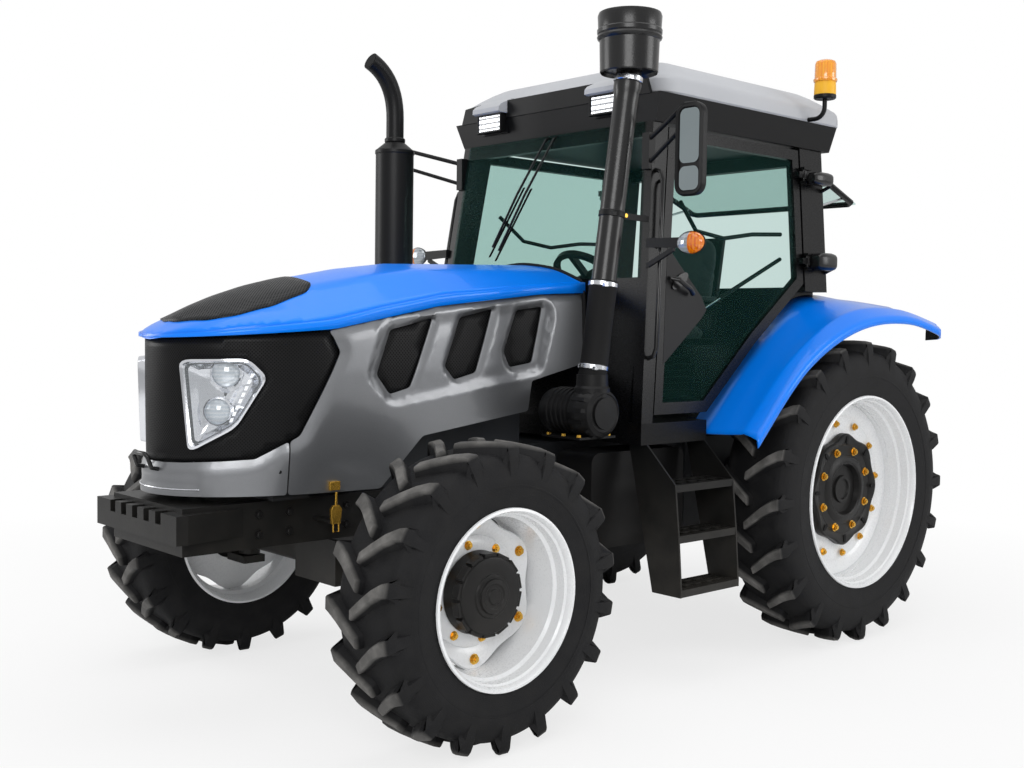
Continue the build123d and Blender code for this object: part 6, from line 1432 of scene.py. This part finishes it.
def on_stack(z):
    """The middle of the stack at a height."""
    return STACK_FOOT.lerp(STACK_HEAD, (z - STACK_FOOT.z) / (STACK_HEAD.z - STACK_FOOT.z))


def band(shape, low, high, radius, finish):
    """A clamp band round the stack, with its screw block at the front."""
    spool(shape, on_stack(low), on_stack(high),
          ((0, radius - 0.003), (0.12, radius), (0.88, radius), (1, radius - 0.003)), finish, STACK_SIDES)
    middle = on_stack((low + high) / 2) + Vector((radius * 0.6, radius * 0.75, 0))
    shape.box(middle - Vector((0.012, 0.006, 0.008)), middle + Vector((0.012, 0.009, 0.008)), finish)


stack = Shape()
for low, high, profile, finish in (
        (STACK_FOOT - Vector((0, 0, 0.03)), on_stack(1.850), ((0, 0.066), (0.06, 0.066), (0.1, 0.063), (0.5, 0.0615),
                                                              (0.9, 0.063), (0.95, 0.065), (1, 0.064)), seal_rubber),
        (on_stack(1.84), on_stack(2.745), ((0, 0.056), (0.9, 0.056), (0.95, 0.058), (0.965, 0.063), (1, 0.063)),
         gloss_black),
        (on_stack(2.735), on_stack(2.81), ((0, 0.055), (1, 0.058)), gloss_black)):
    spool(stack, low, high, profile, finish, STACK_SIDES)
for low, high, radius in ((1.452, 1.474, 0.069), (1.822, 1.844, 0.067), (2.750, 2.776, 0.066)):
    band(stack, low, high, radius, steel_bright)
band(stack, 2.135, 2.165, 0.060, moulded_black)
pillar = Vector((0.057, 0.722, 2.150))
strapped = on_stack(pillar.z)
stack.prism([strapped + Vector((-0.05, -0.004, -0.014)), pillar + Vector((0.01, 0.0, -0.014)),
             pillar + Vector((0.01, 0.0, 0.014)), strapped + Vector((-0.05, -0.004, 0.014))], (0, 0.008, 0),
            moulded_black)
spool(stack, strapped + Vector((-0.075, 0.002, 0)), strapped + Vector((-0.075, 0.020, 0)), ((0, 0.011), (1, 0.010)),
      zinc_gold, 6)
bowl_rows = [[Vector((STACK_HEAD.x + r * math.cos(a), STACK_HEAD.y + r * math.sin(a), z)) for a in turns(56)]
             for r, z in BOWL_RISE]
stack.grid(bowl_rows, gloss_black, loop=True, caps=True)
stack.piece("intake_stack_detail", "chassis", "trim_gloss", ["intake_stack"], crease=32.0)


# Exhaust: a satin black muffler standing beside the hood, with an elbow from the engine and a bent tail pipe.
# Rolled collars close the muffler's ends, a clamp holds the tail pipe and a matte black disc in the tail's mouth is
# painted shade for the inside of the pipe.
MUFFLER_AT = Vector((0.570, -0.575, 0.0))
PORT = Vector((0.570, -0.232, 1.165))
TAIL_TIP = Vector((0.728, -0.575, 2.974))
PIPE_R = 0.045
MUFFLER_SIDES = 48


def swept_bend(start, corner, end, steps=8):
    """Points of a smooth bend from start to end, pulled towards a corner."""
    shares = [step / steps for step in range(steps + 1)]
    return [start * (1 - t) ** 2 + corner * 2 * t * (1 - t) + end * t * t for t in shares]


def on_muffler(z):
    return MUFFLER_AT + Vector((0, 0, z))


exhaust = Shape()
elbow = on_muffler(PORT.z)
pipe = [PORT] + swept_bend(elbow + Vector((0, 0.11, 0)), elbow, elbow + Vector((0, 0, 0.11)))
pipe += swept_bend(on_muffler(2.700), on_muffler(2.905), TAIL_TIP, 12)
exhaust.tube(pipe, PIPE_R, heat_black, 28)
mouth = (pipe[-1] - pipe[-2]).normalized()
# A matte black disc closes the tail's mouth: painted shade for the inside of the pipe.
spool(exhaust, TAIL_TIP - mouth * 0.02, TAIL_TIP + mouth * 0.0015, ((0, 0.036), (1, 0.039)), seal_rubber)
spool(exhaust, on_muffler(1.382), on_muffler(2.580),
      ((0, 0.047), (0.030, 0.094), (0.034, 0.098), (0.966, 0.098), (0.970, 0.092), (1, 0.049)), heat_black,
      MUFFLER_SIDES)
for low, high, radius in ((1.418, 1.446, 0.1015), (2.516, 2.541, 0.1015), (2.578, 2.602, 0.053),
                          (1.930, 1.946, 0.0995)):
    spool(exhaust, on_muffler(low), on_muffler(high),
          ((0, radius - 0.004), (0.2, radius), (0.8, radius), (1, radius - 0.004)), heat_black, MUFFLER_SIDES)
exhaust.piece("exhaust_detail", "chassis", "exhaust_black", ["exhaust_stack"], crease=30.0)


# Cab trim: grab rails by the front pillars, lamp pods behind the doors, wipers and the rear window's frame and stays.
# Rails are bent steel tube on short standoffs; the pods are moulded shells on knuckle brackets.
CAB_FLOOR = 1.200
CAB_HALF = 0.800
CAB_LEAN = 0.078
SCREEN_FOOT_X = 0.171
SCREEN_LEAN = 0.1204


def cab_y(z):
    """Half the width of the cab's outer face at a height."""
    return CAB_HALF - (z - CAB_FLOOR) * CAB_LEAN


def screen_x(z):
    """The place of the windscreen's front edge at a height."""
    return SCREEN_FOOT_X - (z - CAB_FLOOR) * SCREEN_LEAN


trim = Shape()
for hand in (1, -1):
    rail = [Vector((screen_x(z) - 0.030, hand * (cab_y(z) + out), z)) for z, out in (
        (1.50, -0.006), (1.512, 0.030), (1.55, 0.046), (1.80, 0.048), (2.10, 0.048), (2.34, 0.046), (2.378, 0.030),
        (2.39, -0.006))]
    trim.tube(rail, 0.0105, gloss_black)
    rail = [Vector((screen_x(z) - 0.058, hand * (cab_y(z) + out), z)) for z, out in (
        (2.02, -0.006), (2.03, 0.018), (2.06, 0.026), (2.30, 0.026), (2.33, 0.018), (2.34, -0.006))]
    trim.tube(rail, 0.008, moulded_black)
    for z, size in ((2.455, (0.085, 0.040, 0.036)), (2.010, (0.080, 0.046, 0.048))):
        spot = Vector((-1.275, hand * (cab_y(z) + 0.062), z))
        rows = []
        for share, scale in ((-1.0, 0.62), (-0.86, 0.90), (-0.5, 1.0), (0.3, 0.98), (0.8, 0.86), (1.0, 0.60)):
            ring = upright_ring(0.0, 0.0, size[1], -size[2], size[2], size[1] * 0.7, size[1] * (1 - scale))
            rows.append([spot + Vector((share * size[0], p.y, p.z)) for p in ring])
        trim.grid(rows, gloss_black, loop=True, caps=True)
        for radius, path in ((0.016, ((-0.03, 0.02, 0), (-0.05, 0.07, 0.004))),
                             (0.010, ((-0.085, 0, -0.01), (-0.110, 0.01, -0.03), (-0.10, 0.072, -0.06)))):
            trim.tube([spot + Vector((x, -hand * y, z)) for x, y, z in path], radius, moulded_black)
for pivot_y, tip_y, tip_z in ((0.045, -0.300, 2.040), (-0.015, -0.352, 2.060)):
    pivot = Vector((screen_x(2.60) + 0.022, pivot_y, 2.600))
    tip = Vector((screen_x(tip_z) + 0.016, tip_y, tip_z))
    trim.tube([pivot + Vector((-0.022, 0, 0.01)), pivot, pivot.lerp(tip, 0.5) + Vector((0.012, 0, 0)), tip], 0.0065,
              gloss_black, 8)
    blade = [pivot.lerp(tip, share) + Vector((-0.006, 0.012, 0)) for share in (0.45, 1.1)]
    wide = Vector((0, 0.010, 0.006))
    trim.prism([blade[0], blade[1], blade[1] + wide, blade[0] + wide], (0.010, 0, 0.001), seal_rubber)
PANE_TOP = Vector((-1.390, 0, 2.565))
PANE_FOOT = Vector((-1.890, 0, 2.375))
PANE_HALF = 0.600
window_frame = [PANE_TOP + Vector((0, PANE_HALF - 0.012, 0)), PANE_FOOT + Vector((0.03, PANE_HALF - 0.012, 0.011)),
                PANE_FOOT + Vector((0.012, PANE_HALF - 0.04, 0.004))]
window_frame += mirrored(reversed(window_frame))
trim.tube(window_frame, 0.017, cab_paint, 8)
for hand in (1, -1):
    trim.tube([Vector((-1.385, hand * 0.575, 2.300)), Vector((-1.800, hand * 0.575, 2.408))], 0.007, steel_bright, 8)
trim.piece("cab_trim", "chassis", "trim_black", crease=34.0)


# Door trim: a moulded corner panel with a pull handle, a gas strut and an inner grab bar on each door.
# The panel is glued to the outside of the pane in the lower front corner.
DOOR_BACK = 0.010
DOOR_PANEL = ((2.030, 0.0), (1.800, 0.265), (1.735, 0.310), (1.690, 0.270), (1.470, 0.0))
# Place along the machine, height and distance out from the door's face
DOOR_HANDLE = ((0.070, 0.012, 0.020), (0.045, 0.004, 0.048), (-0.035, -0.038, 0.050), (-0.075, -0.060, 0.030))
DOOR_STRUT = ((-1.080, 2.020, -0.070), (-0.560, 1.800, -0.075), (-0.300, 1.690, -0.075))
DOOR_BAR = ((-1.06, 2.150, -0.045), (-0.86, 2.140, -0.085), (-0.62, 2.105, -0.085), (-0.40, 2.130, -0.085),
            (-0.24, 2.260, -0.045))


def door_point(x, z, out, hand):
    """A place on a door's outer face, moved out by a distance."""
    return Vector((x, hand * (cab_y(z) - DOOR_BACK + out), z))


def door_front(z):
    """The front edge of a door's pane at a height."""
    return screen_x(z) - 0.085 - 0.050


for hand, word in ((1, "left"), (-1, "right")):
    door = Shape()
    panel = [door_point(door_front(z) - back, z, 0.001, hand) for z, back in DOOR_PANEL]
    door.prism(panel, (0, hand * 0.010, 0), moulded_black)
    grip = Vector((-0.140, 0, 1.870))
    plate = [(0.060 * math.cos(a), 0.030 * math.sin(a) - 0.030 * math.cos(a)) for a in turns(20)]
    door.prism([door_point(grip.x + x, grip.z + z, 0.009, hand) for x, z in plate], (0, hand * 0.010, 0), gloss_black)
    handle = [door_point(grip.x + x, grip.z + z, out, hand) for x, z, out in DOOR_HANDLE]
    door.tube(handle, 0.012, gloss_black, 10)
    strut = [door_point(*place, hand) for place in DOOR_STRUT]
    door.tube(strut[:2], 0.011, moulded_black, 10)
    door.tube(strut[1:], 0.006, steel_bright, 8)
    door.tube([door_point(*place, hand) for place in DOOR_BAR], 0.011, moulded_black, 10)
    door.piece("door_trim_" + word, "door_" + word, "trim_black", crease=34.0)


# Hood fittings: a weather strip round the rear edge, a pull ring and a bright line on the chin, buffers and keepers.
# The gold toggle latches stand on brackets from the chassis rails and hook up into the keepers.
STRIP_X = 0.204
STRIP_OUT = 0.003
strip_side = [hood_wall(STRIP_X - NOSE_X, 1.475 + 0.033 * k, STRIP_OUT) for k in range(11)]
strip = strip_side + [Vector((STRIP_X, y, hood_top_z(STRIP_X, y) + STRIP_OUT))
                      for y in (0.425 - 0.05 * k for k in range(18))]
strip += mirrored(reversed(strip_side))
fittings = Shape()
fittings.tube(strip, 0.010, seal_rubber, 8)
nose_x = NOSE_X + NOSE_LONG
ring = [Vector((nose_x - 0.006, y, z)) + Vector((out, 0, 0)) for y, z, out in (
    (0.062, 1.060, -0.01), (0.062, 1.066, 0.020), (0.060, 1.110, 0.036), (0.040, 1.122, 0.040))]
ring += mirrored(reversed(ring))
fittings.tube(ring, 0.009, gloss_black, 10)
brow = [hood_wall(nose_mid * CHIN_PLATE + (1 - CHIN_PLATE) * 2 * nose_mid * k / 24, 0.9875, 0.001) for k in range(25)]
fittings.tube(brow, 0.0035, chrome, 6)
LATCH_X = 1.602
for hand in (1, -1):
    wall = hood_wall(LATCH_X - NOSE_X, 0.985, 0.0).y
    fittings.box((LATCH_X - 0.024, hand * wall, 0.968), (LATCH_X + 0.024, hand * (wall + 0.016), 1.004), zinc_gold)
    buffer = [Vector((x, hand * (hood_wall(unrolled(x), 1.04).y + out), 1.055))
              for x, out in ((1.835, -0.004), (1.838, 0.002))]
    fittings.tube(buffer, 0.008, seal_rubber, 12)
fittings.piece("hood_fittings", "hood", "trim_black", crease=34.0, bevel=0.002)
LATCH_PLATE = ((-0.020, 0.832), (0.020, 0.832), (0.026, 0.892), (0.014, 0.908), (-0.014, 0.908), (-0.026, 0.892))
latches = Shape()
for hand in (1, -1):
    wall = hood_wall(LATCH_X - NOSE_X, 0.960, 0.0).y
    latches.box((LATCH_X - 0.022, hand * 0.296, 0.836), (LATCH_X + 0.022, hand * (wall + 0.012), 0.848), chassis_paint)
    foot = Vector((LATCH_X, hand * (wall + 0.014), 0.0))
    latches.prism([foot + Vector((x, 0, z)) for x, z in LATCH_PLATE], (0, hand * 0.014, 0), zinc_gold)
    hook = [foot + Vector((0, hand * out, z)) for out, z in ((0.008, 0.900), (0.012, 0.962))]
    latches.tube(hook, 0.0055, zinc_gold, 8)
    bail = [foot + Vector((dx, hand * 0.010, z))
            for dx, z in ((-0.013, 0.838), (-0.013, 0.800), (0.013, 0.800), (0.013, 0.838))]
    latches.tube(bail, 0.004, zinc_gold, 8)
latches.piece("hood_latches", "chassis", "trim_black", crease=34.0, bevel=0.002)


# Chassis fasteners: hexagon bolts along the front rails and the bumper brackets.
# They are short spools with six sides, in the hubs' black.
RAIL_BOLTS = ((1.02, 0.84),) + tuple((x, z) for x in (1.18, 1.46, 1.74, 1.88) for z in (0.80, 0.88))
BOLT_HEAD = ((0, 0.020), (0.25, 0.020), (0.26, 0.014), (0.9, 0.014), (1, 0.012))
bolts = Shape()
for hand in (1, -1):
    for x, z in RAIL_BOLTS:
        spot = Vector((x, hand * 0.300, z))
        spool(bolts, spot, spot + Vector((0, hand * 0.016, 0)), BOLT_HEAD, cast_black, 6)
bolts.piece("frame_bolts", "chassis", "chassis_black", crease=25.0)


# Lamps and core behind the body: rear lamps in three bands and the radiator's upright fins.
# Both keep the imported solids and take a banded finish.
def three_bands(name, low, high):
    """Amber over red over clear ribbed plastic."""
    finish = Finish(name, {"Coat Weight": 1.0, "Coat Roughness": 0.05})
    height = (finish.axis("Z") - low) / (high - low)
    ribs = (finish.axis("Z") * 700.0).sine() * 0.5 + 0.5
    lower = finish.blend(height > 0.28, rgb(214, 214, 214), rgb(176, 14, 14))
    finish.feed("Base Color", finish.blend(height > 0.66, lower, rgb(236, 120, 10)))
    finish.feed("Roughness", 0.16 + ribs * 0.1)
    finish.bump(ribs, 0.0008)
    return finish


def finned(name):
    """Black radiator core with thin upright fins whose edges, and rows across them, are painted lighter as a painted
    highlight.
    """
    finish = Finish(name, {"Specular IOR Level": 0.4})
    fins_and_highlights = (finish.axis("Y") * 900.0).sine() * 0.5 + 0.5
    rows = (finish.axis("Z") * 330.0).sine() > 0.75
    # The lighter colour along the fins and rows is painted highlight; the fins' roughness and bump are their own
    # relief.
    finish.feed("Base Color", finish.blend((fins_and_highlights * 0.6 + rows * 0.3).clamped(), rgb(14, 14, 15), rgb(60, 62, 64)))
    finish.feed("Roughness", 0.45 + fins_and_highlights * 0.2)
    finish.bump(fins_and_highlights, 0.002)
    return finish


rear_low, rear_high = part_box("rear_lamps")
dress(three_bands("rear_lens", rear_low.z, rear_high.z), "rear_lamps")
dress(finned("radiator_core"), "radiator")


# Seat: woven grey cloth over foam on a black pedestal, with a crowned cushion, a leaning back and two armrests.
# Each pad is blown up a little as cloth from a smaller shape, and no point of it moves past a set reach.
def woven(name, tone, shade):
    """Plain weave in two greys with a soft sheen."""
    finish = Finish(name, {"Sheen Weight": 0.3, "Sheen Roughness": 0.5})
    warp = ((finish.axis("Y") * 1900.0).sine() * ((finish.axis("X") + finish.axis("Z")) * 1900.0).sine()) * 0.5 + 0.5
    worn = finish.noise(7.0, 4.0)
    finish.feed("Base Color", finish.blend((warp * 0.6 + worn * 0.4).clamped(), tone, shade))
    finish.feed("Roughness", 0.8 + worn * 0.15)
    finish.bump(warp, 0.0008)
    return finish


seat_cloth = woven("seat_grey", rgb(46, 48, 51), rgb(74, 77, 80))
seat_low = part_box("seat")[0]
SEAT_MID = -0.870
PAD_PRESSURE = 4.0
PAD_REACH = 0.024
PAD_VOXEL = 0.006


def cushion(name, centre, half, lean, power=4.5):
    """A soft pad: a rounded block, remeshed, swollen as cloth and held to a small reach."""
    rows = []
    for k in range(1, 24):
        polar = math.pi * k / 24 - math.pi / 2
        ring = []
        for turn in turns(48):
            c, s = math.cos(turn), math.sin(turn)
            reach = (abs(c) ** power + abs(s) ** power) ** (-1 / power)
            up = math.copysign(abs(math.sin(polar)) ** (2 / 3), math.sin(polar))
            out = abs(math.cos(polar)) ** (2 / 4.5)
            ring.append(Vector((half[0] * reach * c * out, half[1] * reach * s * out, half[2] * up)))
        rows.append(ring)
    pad = Shape()
    pad.grid(rows, seat_cloth, loop=True, caps=True)
    placed = Matrix.Translation(centre) @ Matrix.Rotation(lean, 4, "Y")
    pad.points = [placed @ point for point in pad.points]
    mesh = bpy.data.meshes.new(name)
    mesh.from_pydata(pad.points, [], pad.faces)
    work = bmesh.new()
    work.from_mesh(mesh)
    bmesh.ops.recalc_face_normals(work, faces=work.faces)
    work.to_mesh(mesh)
    work.free()
    mesh.materials.append(seat_cloth.material)
    thing = bpy.data.objects.new(name, mesh)
    bpy.context.scene.collection.objects.link(thing)
    voxels = thing.modifiers.new("voxels", "REMESH")
    voxels.mode = "VOXEL"
    voxels.voxel_size = PAD_VOXEL
    rest_mesh = bpy.data.meshes.new_from_object(thing.evaluated_get(bpy.context.evaluated_depsgraph_get()))
    thing.modifiers.clear()
    thing.data = rest_mesh
    swell = thing.modifiers.new("swell", "CLOTH")
    swell.settings.use_pressure = True
    swell.settings.uniform_pressure_force = PAD_PRESSURE
    swell.settings.effector_weights.gravity = 0.0
    for step in range(1, 21):
        bpy.context.scene.frame_set(step)
    blown = thing.evaluated_get(bpy.context.evaluated_depsgraph_get()).data
    moved = []
    for before, after in zip(rest_mesh.vertices, blown.vertices):
        shift = after.co - before.co
        moved.append(before.co + shift * min(1.0, PAD_REACH / max(shift.length, 1e-6)))
    thing.modifiers.clear()
    for vertex, place in zip(rest_mesh.vertices, moved):
        vertex.co = place
    bpy.context.scene.frame_set(1)
    thing.data.shade_smooth()
    if not thing.data.materials:
        thing.data.materials.append(seat_cloth.material)
    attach(thing, "chassis")


cushion("seat_cushion", (SEAT_MID + 0.005, 0, 1.622), (0.205, 0.222, 0.036), math.radians(-3.0))
cushion("seat_back", (SEAT_MID - 0.235, 0, 1.945), (0.034, 0.205, 0.225), math.radians(-9.0), 3.6)
seat = Shape()
seat.box((SEAT_MID - 0.150, -0.150, seat_low.z), (SEAT_MID + 0.150, 0.150, seat_low.z + 0.060), moulded_black)
for k in range(6):
    z = seat_low.z + 0.065 + 0.036 * k
    inset = 0.018 if k % 2 else 0.0
    seat.box((SEAT_MID - 0.145 + inset, -0.145 + inset, z), (SEAT_MID + 0.145 - inset, 0.145 - inset, z + 0.034),
             seal_rubber)
seat.box((SEAT_MID - 0.215, -0.225, 1.548), (SEAT_MID + 0.200, 0.225, 1.588), moulded_black)
back_foot = Vector((SEAT_MID - 0.215, 0, 1.575))
BACK_SHELL = ((0, -0.200, 0), (-0.090, -0.190, 0.585), (-0.118, -0.190, 0.585), (-0.035, -0.200, 0))
seat.prism([back_foot + Vector(place) for place in BACK_SHELL], (0, 0.390, 0), moulded_black)
for hand in (1, -1):
    seat.tube([Vector((SEAT_MID - 0.240, hand * 0.232, 1.790)), Vector((SEAT_MID + 0.050, hand * 0.238, 1.800))], 0.016,
              moulded_black)
    seat.box((SEAT_MID - 0.20, hand * 0.236 - 0.012, 1.798), (SEAT_MID + 0.060, hand * 0.236 + 0.012, 1.822),
             seat_cloth)
seat.piece("seat_frame", "chassis", "trim_black", ["seat"], crease=34.0, bevel=0.006)
